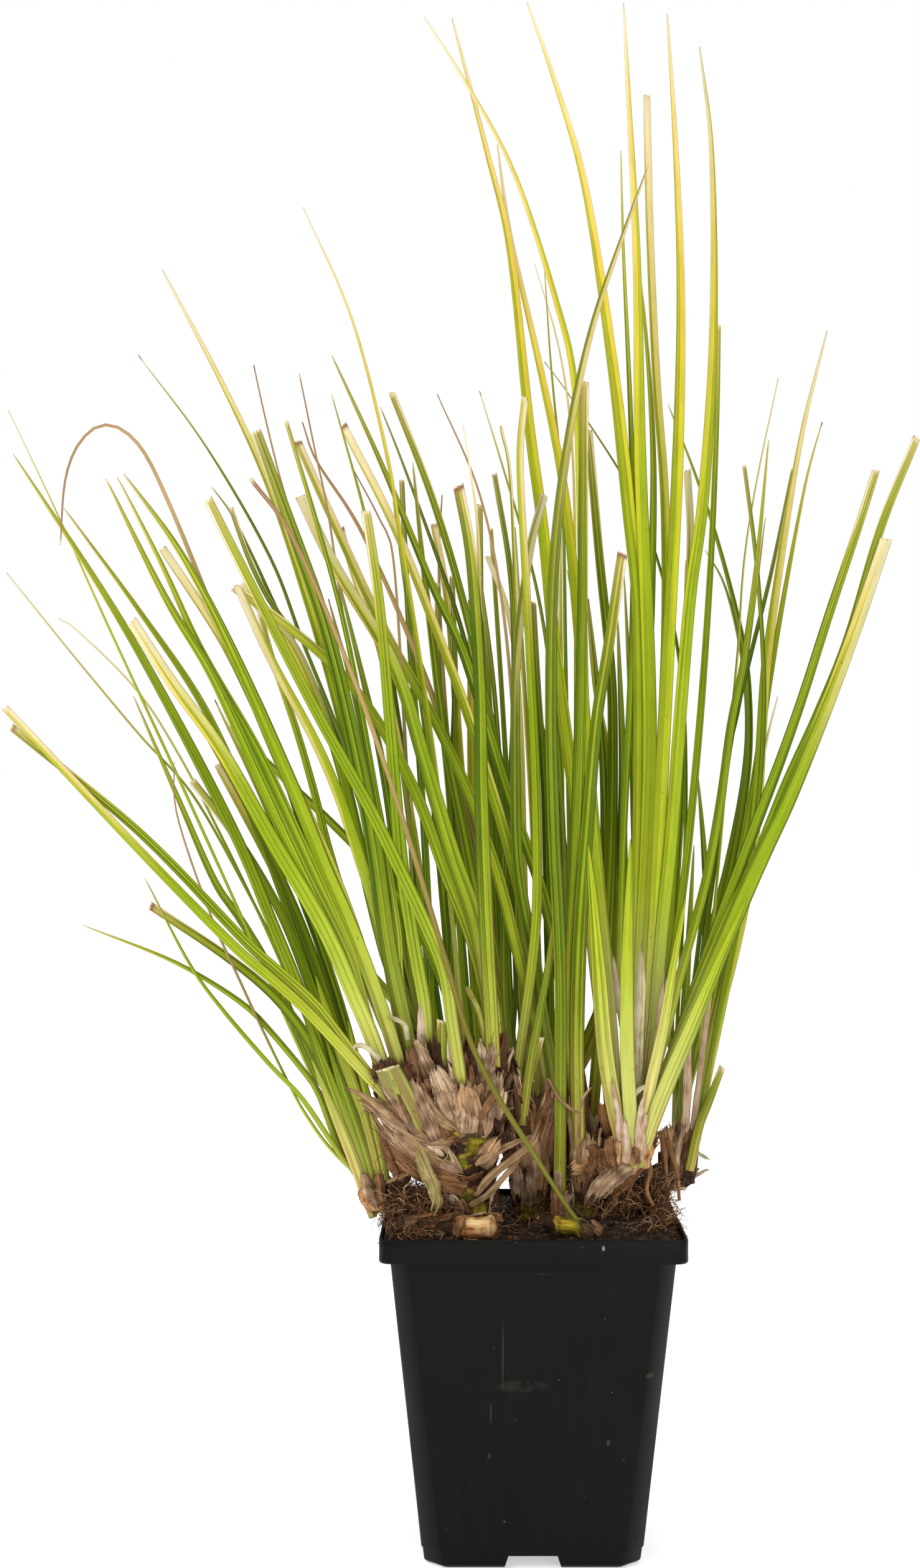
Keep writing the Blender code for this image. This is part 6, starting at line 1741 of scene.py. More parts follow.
@dataclass
class Rootstock:
    """A rootstock: lumpy stems wrapped in torn husks, broad dry scales and wisps of fibre."""

    name: str
    stock: Stock
    rng: random.Random
    stem_sides: int = 22
    stem_share: float = 0.94
    ring_gap: float = 0.9
    scar_depth: float = 0.35
    scar_gap: float = 2.6
    lump_height: float = 0.5
    lump_scale: float = 0.35
    first_husk: float = 2.0
    husk_rows: int = 11
    husk_columns: int = 13
    husk_width: float = 7.0
    husk_overlap: float = 0.8
    husk_thick: float = 0.25
    husk_tear: float = 0.4
    scale_tear: float = 0.3
    scale_grid: int = 15
    scale_thick: float = 0.35
    collar_rows: int = 7
    collar_columns: int = 73
    collar_thick: float = 0.3
    wisps: int = 5
    wisp_thick: float = 0.11
    pile: MeshPile = field(default_factory=MeshPile)

    def build(self, finish: Material) -> Piece:
        """Builds the stems, husks, collars and scales as one piece.

        Args:
            finish: Its material.

        Returns:
            The piece.
        """
        for stem in self.stock.stems:
            axis = StemLine(stem)
            self._stem(axis)
            self._husks(axis)
        first = StemLine(self.stock.stems[0])
        for run in self.stock.collars:
            self._collar(first, run)
        for root, tip, width in self.stock.scales:
            self._scale(root, tip, width)
        return self.pile.make(self.name.replace("rootstock", "husks"), finish)

    def _patch_at(self, point: np.ndarray, margin: float = 0.0) -> Patch | None:
        """The bare window within which the eye sees a point."""
        spot = on_plane(point)
        return next((patch for patch in self.stock.patches if patch.holds(*spot, margin)), None)

    def _stem(self, axis: StemLine) -> None:
        """Adds the stem itself, ringed with scars, painted dark brown for the shade under its husks, and
        green in its windows.

        Args:
            axis: The stem's line.
        """
        runs = np.arange(0.0, axis.length, self.ring_gap)
        close = np.array([0.3, 0.6, 0.85, 1.0])
        radius_end = float(axis.at(axis.radii, np.array([axis.length]))[0])
        runs = np.concatenate([runs, axis.length + close * 0.5 * radius_end])
        radii = axis.at(axis.radii, runs) * self.stem_share
        radii[-len(close):] = radius_end * self.stem_share * np.sqrt(np.maximum(1.0 - close ** 2, 0.02))
        angles = np.arange(self.stem_sides) * math.tau / self.stem_sides
        run_grid, angle_grid = np.meshgrid(runs, angles, indexing="ij")
        out = axis.out(run_grid, angle_grid)
        scar = self.scar_depth * (np.mod(run_grid / self.scar_gap, 1.0) ** 3)
        centres = axis.at(axis.centres, run_grid)
        lump = np.array([[noise.noise(Vector(spot) * self.lump_scale) for spot in row]
                         for row in centres + out * radii[:, None, None]])
        points = centres + out * (radii[:, None] + scar + self.lump_height * lump)[..., None]
        tint = np.empty_like(points)
        for row in range(len(runs)):
            for column in range(self.stem_sides):
                # Painted shade: the stem is dark brown wherever no window shows it.
                tone = np.array(STEM_SHADE_BROWN)
                patch = self._patch_at(points[row, column], 0.4)
                if patch and out[row, column][1] < 0.2:
                    first, second = (np.array(paint) for paint in BARE_PAINTS[patch.look])
                    tone = first + (second - first) * min(max(0.4 + 2.4 * lump[row, column], 0.0), 1.0)
                    tone = tone * (0.5 if scar[row, column] > 0.2 else 1.0)
                tint[row, column] = tone
        wall, ends = tube_faces(len(runs), self.stem_sides)
        uv = np.stack([angle_grid / math.tau, run_grid / 10.0], -1).reshape(-1, 2)
        self.pile.add(points.reshape(-1, 3), (wall[:, [0, 3, 2, 1]], ends[:, ::-1]), uv,
                      tint.reshape(-1, 3))

    def _husks(self, axis: StemLine) -> None:
        """Adds rows of old leaf bases up a stem, each wrapped part of the way round it.

        Args:
            axis: The stem's line.
        """
        stock, rng = self.stock, self.rng
        run = self.first_husk
        while run < axis.length + 1.0:
            radius = float(axis.at(axis.radii, np.array([run]))[0])
            around = max(round(math.tau * radius / (self.husk_width * self.husk_overlap)), 3)
            start = rng.uniform(0.0, math.tau)
            for number in range(around):
                angle = start + (number + rng.uniform(-0.25, 0.25)) * math.tau / around
                self._husk(axis, run + rng.uniform(-1.0, 1.0), angle, radius)
            run += stock.husk_gap

    def _husk(self, axis: StemLine, run: float, angle: float, radius: float) -> None:
        """Adds one torn husk, fluted lengthwise, its tip ragged and turned out.

        Args:
            axis: The stem's line.
            run: How far up it the husk begins.
            angle: Where round it the husk stands.
            radius: The stem's radius there.
        """
        stock, rng = self.stock, self.rng
        length = stock.husk_length * rng.uniform(0.55, 1.15)
        width = self.husk_width * rng.uniform(0.6, 1.3)
        flare = rng.uniform(0.0, 0.22) * stock.shaggy
        down = np.linspace(0.0, 1.0, self.husk_rows)[:, None]
        over = np.linspace(-1.0, 1.0, self.husk_columns)[None, :]
        reach = (length * down * (1.0 - 0.15 * over ** 2 * down)
                 * torn(rng, self.husk_columns, self.husk_tear))
        phase, flutes = rng.uniform(0.0, 6.0), rng.uniform(6.0, 11.0)
        ripple = 0.3 * np.sin(over * flutes + phase + 1.4 * np.sin(3.0 * down)) * (0.4 + 0.6 * down)
        curl = 0.9 * rng.uniform(-0.3, 1.0) * over ** 2 * down
        lift = 0.2 + flare * length * down ** 2.2 + ripple + curl
        spread = over * width / 2 * (1.0 - 0.3 * down ** 2) / max(radius, 3.0)
        runs = run + reach * (1.0 - 0.4 * flare)
        angles = angle + spread + 0.15 * math.sin(phase) * down
        radii = axis.at(axis.radii, runs) + lift
        grid = axis.at(axis.centres, runs) + axis.out(runs, angles) * radii[..., None]
        middle = self.husk_columns // 2
        for row in (1, self.husk_rows // 2, self.husk_rows - 1):
            if self._patch_at(grid[row, middle], 0.6) and grid[row, middle][1] < axis.centres[0][1]:
                return
        tone = np.array(rng.choice(HUSK_PAINTS[stock.husk])) * rng.choice((0.3, 0.6, 0.85, 1.0, 1.2))
        # Painted shade darkens the husk towards its foot.
        self.pile.sheet(grid, self.husk_thick, tone * streaked_with_shaded_foot(rng, down, self.husk_columns))
        for _ in range(rng.randrange(self.wisps)):
            self._wisp(grid, tone)

    def _wisp(self, grid: np.ndarray, tone: np.ndarray) -> None:
        """Adds a loose fibre that has come off a husk's edge.

        Args:
            grid: The husk's rows of points.
            tone: Its colour.
        """
        rng = self.rng
        column = rng.choice((0, 1, grid.shape[1] - 2, grid.shape[1] - 1))
        row = rng.randrange(2, grid.shape[0])
        heading = unit(grid[row, column] - grid[row - 2, column])
        line = fibre_line(rng, grid[row, column], heading, 0.35, 0.25, (0.4, 0.9), self.stock.shaggy)
        self.pile.strand(line, np.linspace(self.wisp_thick, FIBRE_TIP, len(line)), tone * 1.1, 3)

    def _scale(self, root: Spot, tip: Spot, width: float) -> None:
        """Adds one broad scale with its tip turned out, torn along its edge.

        Args:
            root: Where it begins.
            tip: Where it ends.
            width: Its widest width.
        """
        rng = self.rng
        start, end = np.array(in_space(*root)), np.array(in_space(*tip))
        along = unit(end - start)
        out = np.array((0.0, -1.0 if root[2] > tip[2] else 1.0, 0.0))
        side = unit(np.cross(along, out))
        out = unit(np.cross(side, along))
        down = np.linspace(0.0, 1.0, self.scale_grid)[:, None]
        over = np.linspace(-1.0, 1.0, self.scale_grid)[None, :]
        length = float(np.linalg.norm(end - start))
        shape = np.interp(down, (0.0, 0.55, 0.85, 1.0), (1.0, 0.95, 0.75, 0.5))
        phase = rng.uniform(0.0, 6.0)
        ripple = 0.3 * np.sin(over * width * 1.3 + phase + 1.5 * np.sin(down * 3.0)) * (0.4 + 0.6 * down)
        bow = length * 0.12 * np.sin(math.pi * down) - (0.14 * width) * over ** 2 * (1 - 0.8 * down)
        reach = length * down * torn(rng, self.scale_grid, self.scale_tear)
        grid = (start + reach[..., None] * along + (over * shape * width / 2)[..., None] * side
                + (bow + ripple)[..., None] * out)
        tone = np.array(rng.choice(HUSK_PAINTS[self.stock.husk][1:4]))
        # Painted shade darkens the scale towards its foot.
        self.pile.sheet(grid, self.scale_thick, tone * streaked_with_shaded_foot(rng, down, self.scale_grid))
        for _ in range(self.wisps * 2):
            self._wisp(grid, tone)

    def _collar(self, axis: StemLine, run: float) -> None:
        """Adds a dark ruffled ring, left round the stem by a fallen leaf.

        Args:
            axis: The stem's line.
            run: How far up it the ring is.
        """
        rng = self.rng
        down = np.linspace(0.0, 1.0, self.collar_rows)[:, None]
        angles = np.linspace(0.0, math.tau, self.collar_columns)[None, :]
        phase, waves = rng.uniform(0.0, 6.0), rng.randrange(8, 13)
        radius = float(axis.at(axis.radii, np.array([run]))[0])
        jag = np.array([rng.uniform(0.5, 1.3) for _ in range(self.collar_columns)])[None, :]
        jag[0, -1] = jag[0, 0]
        ruffle = 0.7 * np.sin(angles * waves + phase) + 0.6 * np.sin(angles * (waves - 5) - phase)
        runs = (run + 1.3 * np.cos(angles + phase) + 0.5 * np.sin(angles * 3.0 + phase)
                + 3.0 * (down - 0.5) * jag)
        radii = radius + (0.7 + 0.6 * ruffle) * np.sin(math.pi * down * 0.8) + 0.8 * down ** 2 * jag
        radii = radii - 0.2
        grid = axis.at(axis.centres, runs) + axis.out(runs, angles + 0 * down) * radii[..., None]
        for row, column in np.ndindex(*radii.shape):
            if self._patch_at(grid[row, column], 0.2):
                radii[row, column] = radius * 0.8
        grid = axis.at(axis.centres, runs) + axis.out(runs, angles + 0 * down) * radii[..., None]
        # Random streaks, with painted shade darkening the collar's lower rows.
        shade = streaked_with_shaded_foot(rng, down, self.collar_columns, 0.35)
        self.pile.sheet(grid, self.collar_thick, np.array(COLLAR_BROWN) * shade)


@dataclass
class LooseStrips:
    """The loose strips, membranes, bracts and live roots of one rootstock."""

    name: str
    ribbons: tuple[Ribbon, ...]
    rng: random.Random
    rows: int = 26
    rod_sides: int = 9
    thick: float = 0.2
    tear: float = 0.3
    hairs: int = 14
    hair_thick: float = 0.1

    def build(self, finish: Material) -> Piece:
        """Builds every strip and root as one piece.

        Args:
            finish: Its material.

        Returns:
            The piece.
        """
        pile = MeshPile()
        for ribbon in self.ribbons:
            line = smooth_route(route_points(ribbon.route))
            spots = [spot for spot, _ in spots_along(line, even_shares(self.rows))]
            centres = np.array([in_space(*spot) for spot in spots])
            if ribbon.kind in (Strip.ROOT, Strip.STUB):
                self._rod(pile, ribbon, centres)
            else:
                self._strip(pile, ribbon, centres)
        return pile.make(self.name, finish)

    def _rod(self, pile: MeshPile, ribbon: Ribbon, centres: np.ndarray) -> None:
        """Adds a live root, or the stub of a leaf.

        Args:
            pile: The piece so far.
            ribbon: What it is.
            centres: Its line.
        """
        dark, light = (np.array(paint) for paint in STRIP_PAINTS[ribbon.kind])
        wobble = np.array([1.0 + self.rng.uniform(-0.08, 0.08) for _ in range(self.rows)])
        taper = np.linspace(1.0, 0.8 if ribbon.kind is Strip.STUB else 0.6, self.rows)
        shade = np.repeat(np.linspace(0.2, 0.9, self.rows), self.rod_sides)[:, None]
        pile.strand(centres, ribbon.width / 2 * wobble * taper, dark + (light - dark) * shade,
                    self.rod_sides, 0.6 if ribbon.kind is Strip.STUB else 1.0)

    def _strip(self, pile: MeshPile, ribbon: Ribbon, centres: np.ndarray) -> None:
        """Adds a dry strip, curled across and ragged along its edges.

        Args:
            pile: The piece so far.
            ribbon: What it is.
            centres: Its line.
        """
        rng = self.rng
        along = unit(np.gradient(centres, axis=0))
        toward = unit(np.array(EYE) - centres)
        side = unit(np.cross(along, toward))
        toward = np.cross(side, along)
        twist = np.cumsum([rng.gauss(0.0, 0.09) for _ in range(self.rows)])
        wide = side * np.cos(twist)[:, None] + toward * np.sin(twist)[:, None]
        thin = toward * np.cos(twist)[:, None] - side * np.sin(twist)[:, None]
        columns = 2 * round(ribbon.width * 1.6) + 5
        over = np.linspace(-1.0, 1.0, columns)[None, :]
        tip = 0.6 if ribbon.width > 4.0 else 0.22
        profile = np.interp(even_shares(self.rows), (0.0, 0.15, 0.7, 1.0), (0.75, 1.0, 0.9, tip))
        edge = np.array([1.0 + rng.uniform(-0.1, 0.1) for _ in range(self.rows)])
        half = ribbon.width / 2 * profile * edge
        reach = np.array(even_shares(self.rows))[:, None] * torn(rng, columns, self.tear)
        places, steps = reach * (self.rows - 1), np.arange(self.rows)
        centres, wide, thin, half = (read_between(table, places, steps)
                                     for table in (centres, wide, thin, half))
        phase = rng.uniform(0.0, 6.0)
        flutes = np.sin(over * ribbon.width * 1.5 + phase + 1.5 * np.sin(reach * 4.0))
        depth = 0.02 if ribbon.kind in (Strip.MEMBRANE, Strip.BRACT, Strip.PAPER) else 0.06
        bow = -ribbon.curl * half * over ** 2 + min(depth * ribbon.width, 0.3) * flutes
        grid = centres + wide * (half * over)[..., None] + thin * bow[..., None]
        dark, light = (np.array(paint) for paint in STRIP_PAINTS[ribbon.kind])
        mottle = np.array([[0.5 + 0.5 * noise.noise(Vector(spot) * 0.4) for spot in row]
                           for row in grid])
        strips = np.array([rng.random() for _ in range(columns)])[None, :]
        shade = np.clip(mottle * 1.1 + strips * 0.4 - 0.3, 0, 1)[..., None]
        pile.sheet(grid, self.thick, dark + (light - dark) * shade)
        if ribbon.kind in (Strip.PAPER, Strip.HUSK, Strip.BURNT):
            for _ in range(self.hairs):
                self._hair(pile, grid, dark + (light - dark) * rng.random())

    def _hair(self, pile: MeshPile, grid: np.ndarray, tone: np.ndarray) -> None:
        """Adds a loose fibre frayed off a strip's edge or end.

        Args:
            pile: The piece so far.
            grid: The strip's rows of points.
            tone: Its colour.
        """
        rng = self.rng
        row = rng.randrange(4, self.rows)
        column = rng.choice((0, -1)) if rng.random() < 0.5 else rng.randrange(grid.shape[1])
        heading = unit(grid[row, column] - grid[row - 3, column])
        line = fibre_line(rng, grid[row, column], heading, 0.3, 0.2, (0.3, 0.9))
        pile.strand(line, np.linspace(self.hair_thick, FIBRE_TIP, len(line)), tone, 3)


@dataclass(frozen=True)
class Mat:
    """A mat of fine roots: where it lies, how far it reaches, how many roots, and their length."""

    centre: Spot
    reach: Spot
    count: int
    length: float
    thick: float
    lift: float = 0.3


@dataclass
class RootMats:
    """Fine dead roots, matted on the soil and hanging from the rootstocks."""

    mats: tuple[Mat, ...]
    tones: tuple[Colour, ...] = (paint(166, 124, 86), paint(202, 164, 122), paint(228, 198, 158),
                                 paint(134, 96, 66), paint(88, 62, 42))
    steps: int = 9

    def build(self, name: str, rng: random.Random, finish: Material) -> Piece:
        """Builds the mats as one piece.

        Args:
            name: The piece's name.
            rng: Its random draws.
            finish: Its material.

        Returns:
            The piece.
        """
        pile = MeshPile()
        for mat in self.mats:
            for _ in range(mat.count):
                self._root(pile, mat, rng)
        return pile.make(name, finish)

    def _root(self, pile: MeshPile, mat: Mat, rng: random.Random) -> None:
        """Adds one fine root, curling through its mat and kept within it.

        Args:
            pile: The piece so far.
            mat: The mat.
            rng: The random draws.
        """
        centre = np.array(mat.centre)
        reach = np.array(mat.reach)
        spot = centre + reach * unit(scatter(rng, 1.0)) * rng.random() ** 0.5
        heading = unit(np.array([rng.gauss(0, 1), rng.gauss(0, 1), rng.gauss(0, mat.lift)]))
        bend = scatter(rng, 0.3)
        line = []
        for _ in range(self.steps):
            line.append(spot)
            inward = (centre - spot) / reach
            pull = 0.6 * max(float(np.linalg.norm(inward)) - 0.75, 0.0)
            heading = unit(heading + bend + pull * inward + scatter(rng, 0.3))
            spot = spot + heading * mat.length / self.steps
        thick = mat.thick * rng.uniform(0.5, 1.3)
        tone = np.array(rng.choice(self.tones)) * rng.uniform(0.7, 1.2)
        pile.strand(np.array(line), np.linspace(thick, thick * 0.5, self.steps), tone)


@dataclass
class Soil:
    """The peat: a crumbly surface heaped beside the rootstocks, with loose crumbs on it."""

    level: float = 97.0
    half_width: float = 43.7
    edge_top: float = 98.3
    ledge: float = 92.0
    body_half: float = 40.7
    floor: float = 5.2
    foot_half: float = 31.6
    corner_cut: float = 6.6
    corner_draw: float = 0.985
    lump_height: float = 0.9
    lump_scale: float = 0.45
    rim_reach: float = 3.0
    rim_slope: float = 0.9
    cells: int = 150
    mounds: tuple[tuple[float, float, float, float], ...] = (
        (-31.0, -14.0, 12.0, 8.0), (34.0, 12.0, 11.0, 9.0), (26.0, -14.0, 12.0, 3.5))
    crumb_count: int = 1000
    crumb_tones: tuple[Colour, ...] = (paint(24, 17, 13), paint(46, 32, 22), paint(74, 52, 36),
                                       paint(34, 25, 18), paint(140, 104, 70))
    grain_share: float = 0.02
    grain_tone: Colour = paint(206, 196, 176)

    def height(self, x: float, y: float) -> float:
        """The surface at a spot, without its finest crumbs.

        Args:
            x: The spot's place to the right.
            y: Its place away from the eye.

        Returns:
            The height in millimetres.
        """
        heaps = sum(high * math.exp(-((x - cx) ** 2 + (y - cy) ** 2) / reach ** 2)
                    for cx, cy, reach, high in self.mounds)
        roll = (0.7 * math.sin(x / 3.1) * math.cos(y / 3.7) + 0.5 * math.sin(x / 1.7 - y / 2.3))
        return self.level + heaps + roll

    def surface(self, x: float, y: float) -> float:
        """The surface at a spot, crumbs and all, kept down beside the pot's wall.

        Args:
            x: The spot's place to the right.
            y: Its place away from the eye.

        Returns:
            The height in millimetres.
        """
        fine = noise.fractal(Vector((x, y, 7.0)) * self.lump_scale, 0.7, 2.1, 5)
        top = self.height(x, y) + self.lump_height * fine
        near = max(abs(x), abs(y)) - (self.half_width - self.rim_reach)
        kept = self.edge_top + max(-near, 0.0) * self.rim_slope + 0.4 * fine
        return min(top, kept) if near > -4.0 else top

    def build(self, finish: Material) -> Piece:
        """A fine grid laid over the heaps, its rim drawn down the inside of the pot.

        Args:
            finish: Its material.

        Returns:
            The piece.
        """
        deselect_all()
        bpy.ops.mesh.primitive_grid_add(x_subdivisions=self.cells, y_subdivisions=self.cells,
                                        size=2 * self.half_width * MM)
        obj = bpy.context.active_object
        obj.name = "peat"
        flat = np.array([vert.co / MM for vert in obj.data.vertices])
        flat[:, 2] = [self.surface(x, y) for x, y in flat[:, :2]]
        corner = np.minimum(np.abs(flat[:, 0]), np.abs(flat[:, 1])) > self.half_width - 1.0
        flat[corner, :2] *= self.corner_draw
        place_points(obj, flat)
        bpy.ops.object.mode_set(mode="EDIT")
        bpy.ops.mesh.select_all(action="DESELECT")
        bpy.ops.mesh.select_non_manifold(extend=False, use_wire=False, use_boundary=True,
                                         use_multi_face=False, use_non_contiguous=False,
                                         use_verts=False)
        size = self.half_width
        for height, reach in ((self.ledge + 1.2, self.half_width - 0.5), (self.ledge, self.body_half),
                              (self.floor, self.foot_half)):
            bpy.ops.mesh.extrude_region_move()
            mesh = bmesh.from_edit_mesh(obj.data)
            for vert in mesh.verts:
                if vert.select:
                    x, y = vert.co.x * reach / size, vert.co.y * reach / size
                    cut = min((2.0 * reach - self.corner_cut) * MM / max(abs(x) + abs(y), MM), 1.0)
                    vert.co = (x * cut, y * cut, height * MM)
            bmesh.update_edit_mesh(obj.data)
            size = reach
        bpy.ops.mesh.edge_face_add()
        face_outwards()
        cover(obj, finish)
        return obj

    def crumbs(self, rng: random.Random, finish: Material) -> Piece:
        """Loose crumbs, a few pale grains and bits of husk, lying on the surface.

        Args:
            rng: The random draws.
            finish: Their material.

        Returns:
            The piece.
        """
        deselect_all()
        bpy.ops.mesh.primitive_ico_sphere_add(subdivisions=1, radius=1.0)
        model = bpy.context.active_object
        round_form = np.array([vert.co for vert in model.data.vertices])
        faces = np.array([face.vertices[:] for face in model.data.polygons])
        bpy.data.objects.remove(model)
        pile = MeshPile()
        for _ in range(self.crumb_count):
            x, y = (rng.uniform(-self.half_width + 1.5, self.half_width - 1.5) for _ in range(2))
            size = 0.25 + 0.8 * rng.random() ** 2.4
            tone = rng.choice(self.crumb_tones)
            if rng.random() < self.grain_share:
                size, tone = 0.4 * size + 0.15, self.grain_tone
            lumpy = round_form * np.array([[rng.uniform(0.65, 1.2)] for _ in round_form])
            spin = np.array(Matrix.Rotation(rng.uniform(0, math.tau), 3, (
                rng.gauss(0, 1), rng.gauss(0, 1), rng.gauss(0, 1))))
            shape = (lumpy * (1.0, rng.uniform(0.5, 1.0), rng.uniform(0.5, 0.9))) @ spin * size
            place = np.array((x, y, self.surface(x, y) + size * 0.25))
            uv = round_form[:, :2] * 0.5 + 0.5
            pile.add(shape + place, (faces,), uv, np.array(tone))
        return pile.make("peat_crumbs", finish, smooth=False)


@dataclass
class Pot:
    """The square nursery pot: a thin tapered body on a stepped foot, under an upright band."""

    height: float = 99.0
    rim_width: float = 90.0
    rim_band: float = 7.0
    rim_corner: float = 3.5
    body_top_width: float = 84.0
    base_width: float = 65.0
    top_chamfer: float = 5.4
    base_chamfer: float = 5.8
    chamfer_round: float = 1.1
    wall: float = 1.0
    step_height: float = 4.5
    step_depth: float = 0.35
    step_rise: float = 0.4
    floor: float = 1.2
    foot_bevel: float = 0.8
    ledge_bevel: float = 0.6
    notch_wide: float = 18.0
    notch_narrow: float = 14.5
    notch_height: float = 3.6
    channel_length: float = 20.0
    ridge_inset: float = 0.9
    drain_radius: float = 3.0
    drain_place: float = 10.0
    drain_sides: int = 24
    overcut: float = 2.0
    corner_steps: int = 6
    side_steps: int = 14
    warp: float = 0.35
    lip: float = 0.35
    crease: float = 32.0

    def _outline(self, width: float, height: float, corner: float, flat: bool) -> list[Vector]:
        """A square outline, anticlockwise, its corners rounded or cut flat with soft edges.

        Args:
            width: How wide it is.
            height: How high it lies.
            corner: The corners' radius or cut.
            flat: Whether they are cut flat.

        Returns:
            Its points.
        """
        half = width / 2
        if flat:
            soft = self.chamfer_round
            quarter = [Vector((half, half - corner - soft)), Vector((half, half - corner - soft / 3)),
                       Vector((half - soft / 3, half - corner + soft / 2)),
                       Vector((half - corner / 2, half - corner / 2)),
                       Vector((half - corner + soft / 2, half - soft / 3)),
                       Vector((half - corner - soft / 3, half)), Vector((half - corner - soft, half))]
        else:
            inner = half - corner
            quarter = [Vector((inner + corner * math.cos(math.pi / 2 * step / self.corner_steps),
                               inner + corner * math.sin(math.pi / 2 * step / self.corner_steps)))
                       for step in range(self.corner_steps + 1)]
        outline = []
        for turn in range(4):
            spin = Matrix.Rotation(math.pi / 2 * turn, 2)
            corner_spots = [spin @ spot for spot in quarter]
            following = Matrix.Rotation(math.pi / 2 * (turn + 1), 2) @ quarter[0]
            outline += corner_spots
            outline += [corner_spots[-1].lerp(following, step / self.side_steps)
                        for step in range(1, self.side_steps)]
        return [Vector((spot.x, spot.y, height)) for spot in outline]

    def _body_width(self, height: float) -> float:
        """The body's outer width at a height."""
        return self.base_width + (self.body_top_width - self.base_width) * height / (
            self.height - self.rim_band)

    def _warped(self, outline: list[Vector], amount: float) -> list[Vector]:
        """An outline pushed in and out a little, as thin plastic is.

        Args:
            outline: The outline.
            amount: The share of the full warp.

        Returns:
            The pushed points.
        """
        warped = []
        for spot in outline:
            push = amount * self.warp * noise.noise(Vector((spot.x * 0.035, spot.y * 0.035, 3.0)))
            lift = amount * self.warp * 0.6 * noise.noise(Vector((spot.x * 0.06, spot.y * 0.06, 9.0)))
            warped.append(Vector((spot.x * (1 + push / 45), spot.y * (1 + push / 45), spot.z + lift)))
        return warped

    def _rings(self) -> list[list[Vector]]:
        """The outlines up the outside, over the rim and down the inside.

        Returns:
            A row of points for each.
        """
        ledge = self.height - self.rim_band
        base, top = self.base_chamfer, self.top_chamfer
        foot = self.base_width - 2 * self.step_depth
        step_top = self.step_height + self.step_rise
        inner_rim = self.rim_width - 2 * self.wall
        rings = [self._outline(*row) for row in (
            (foot - 2 * self.foot_bevel, 0.0, base, True),
            (foot, self.foot_bevel, base, True),
            (self._body_width(self.step_height) - 2 * self.step_depth, self.step_height, base, True),
            (self._body_width(step_top), step_top, base, True),
        )]
        for share in (0.25, 0.5, 0.75, 0.97):
            height = step_top + (ledge - step_top) * share
            ring = self._outline(self._body_width(height), height, base + (top - base) * share, True)
            rings.append(self._warped(ring, 0.5 if share < 0.9 else 0.2))
        lip = self.lip
        rings += [self._outline(*row) for row in (
            (self.body_top_width, ledge, top, True),
            (self.rim_width - self.ledge_bevel, ledge, self.rim_corner, False),
            (self.rim_width, ledge + self.ledge_bevel, self.rim_corner, False),
            (self.rim_width - 0.1, (ledge + self.height) / 2, self.rim_corner, False),
            (self.rim_width, self.height - lip, self.rim_corner, False),
            (self.rim_width - lip, self.height, self.rim_corner - lip / 2, False),
            (inner_rim + lip, self.height, self.rim_corner - self.wall, False),
            (inner_rim, self.height - lip, self.rim_corner - self.wall, False),
            (inner_rim, ledge + self.wall, self.rim_corner - self.wall, False),
            (self.body_top_width - 2 * self.wall, ledge, top - self.wall / 2, True),
            (self._body_width(self.floor) - 2 * self.wall - 2 * self.step_depth, self.floor,
             base - self.wall / 2, True),
        )]
        for number in range(9, 17):
            rings[number] = self._warped(rings[number], 1.0)
        return rings

    def _bar(self, low: Spot, high: Spot, narrow: float = 1.0) -> Piece:
        """A block whose top may be narrower than its bottom, for a channel or its roof.

        Args:
            low: Its lowest corner.
            high: Its highest corner.
            narrow: The top's width as a share of the bottom's.

        Returns:
            The block.
        """
        deselect_all()
        bpy.ops.mesh.primitive_cube_add(size=1.0)
        bar = bpy.context.active_object
        spots = np.array([vert.co for vert in bar.data.vertices])
        top = spots[:, 2] > 0
        spots = (np.array(low) + np.array(high)) / 2 + spots * (np.array(high) - np.array(low))
        spots[top, 0] *= narrow
        place_points(bar, spots)
        return bar

    def _join(self, pot: Piece, tool: Piece, operation: str,
              quarter: int) -> None:
        """Adds or cuts a tool on one side of the pot, and removes the tool.

        Args:
            pot: The pot.
            tool: The tool, made for the rear side.
            operation: UNION or DIFFERENCE.
            quarter: How many quarter turns it is moved.
        """
        tool.data.transform(Matrix.Rotation(math.pi / 2 * quarter, 4, "Z"))
        activate(pot)
        modifier = pot.modifiers.new("channel", "BOOLEAN")
        modifier.operation = operation
        modifier.object = tool
        bpy.ops.object.modifier_apply(modifier=modifier.name)
        bpy.data.objects.remove(tool)

    def build(self, finish: Material) -> Piece:
        """A disc drawn out from outline to outline, then channelled and drained underneath.

        Args:
            finish: Its material.

        Returns:
            The piece.
        """
        rings = self._rings()
        deselect_all()
        bpy.ops.mesh.primitive_circle_add(vertices=len(rings[0]), radius=MM, fill_type="NGON")
        pot = bpy.context.active_object
        pot.name = "nursery_pot"
        place_points(pot, np.array(rings[0]))
        bpy.ops.object.mode_set(mode="EDIT")
        bpy.ops.mesh.select_all(action="SELECT")
        for before, ring in zip(rings, rings[1:]):
            bpy.ops.mesh.extrude_region_move()
            mesh = bmesh.from_edit_mesh(pot.data)
            fresh = [vert for vert in mesh.verts if vert.select]
            for old, place in zip(before, ring):
                nearest = min(fresh, key=lambda vert, old=old: (vert.co - old * MM).length_squared)
                fresh.remove(nearest)
                nearest.co = place * MM
            bmesh.update_edit_mesh(pot.data)
        bpy.ops.mesh.select_all(action="SELECT")
        bpy.ops.mesh.remove_doubles(threshold=1e-6)
        face_outwards()
        self._drain(pot)
        activate(pot)
        bpy.ops.object.shade_smooth_by_angle(angle=math.radians(self.crease))
        pot.data.materials.clear()
        pot.data.materials.append(finish)
        return pot

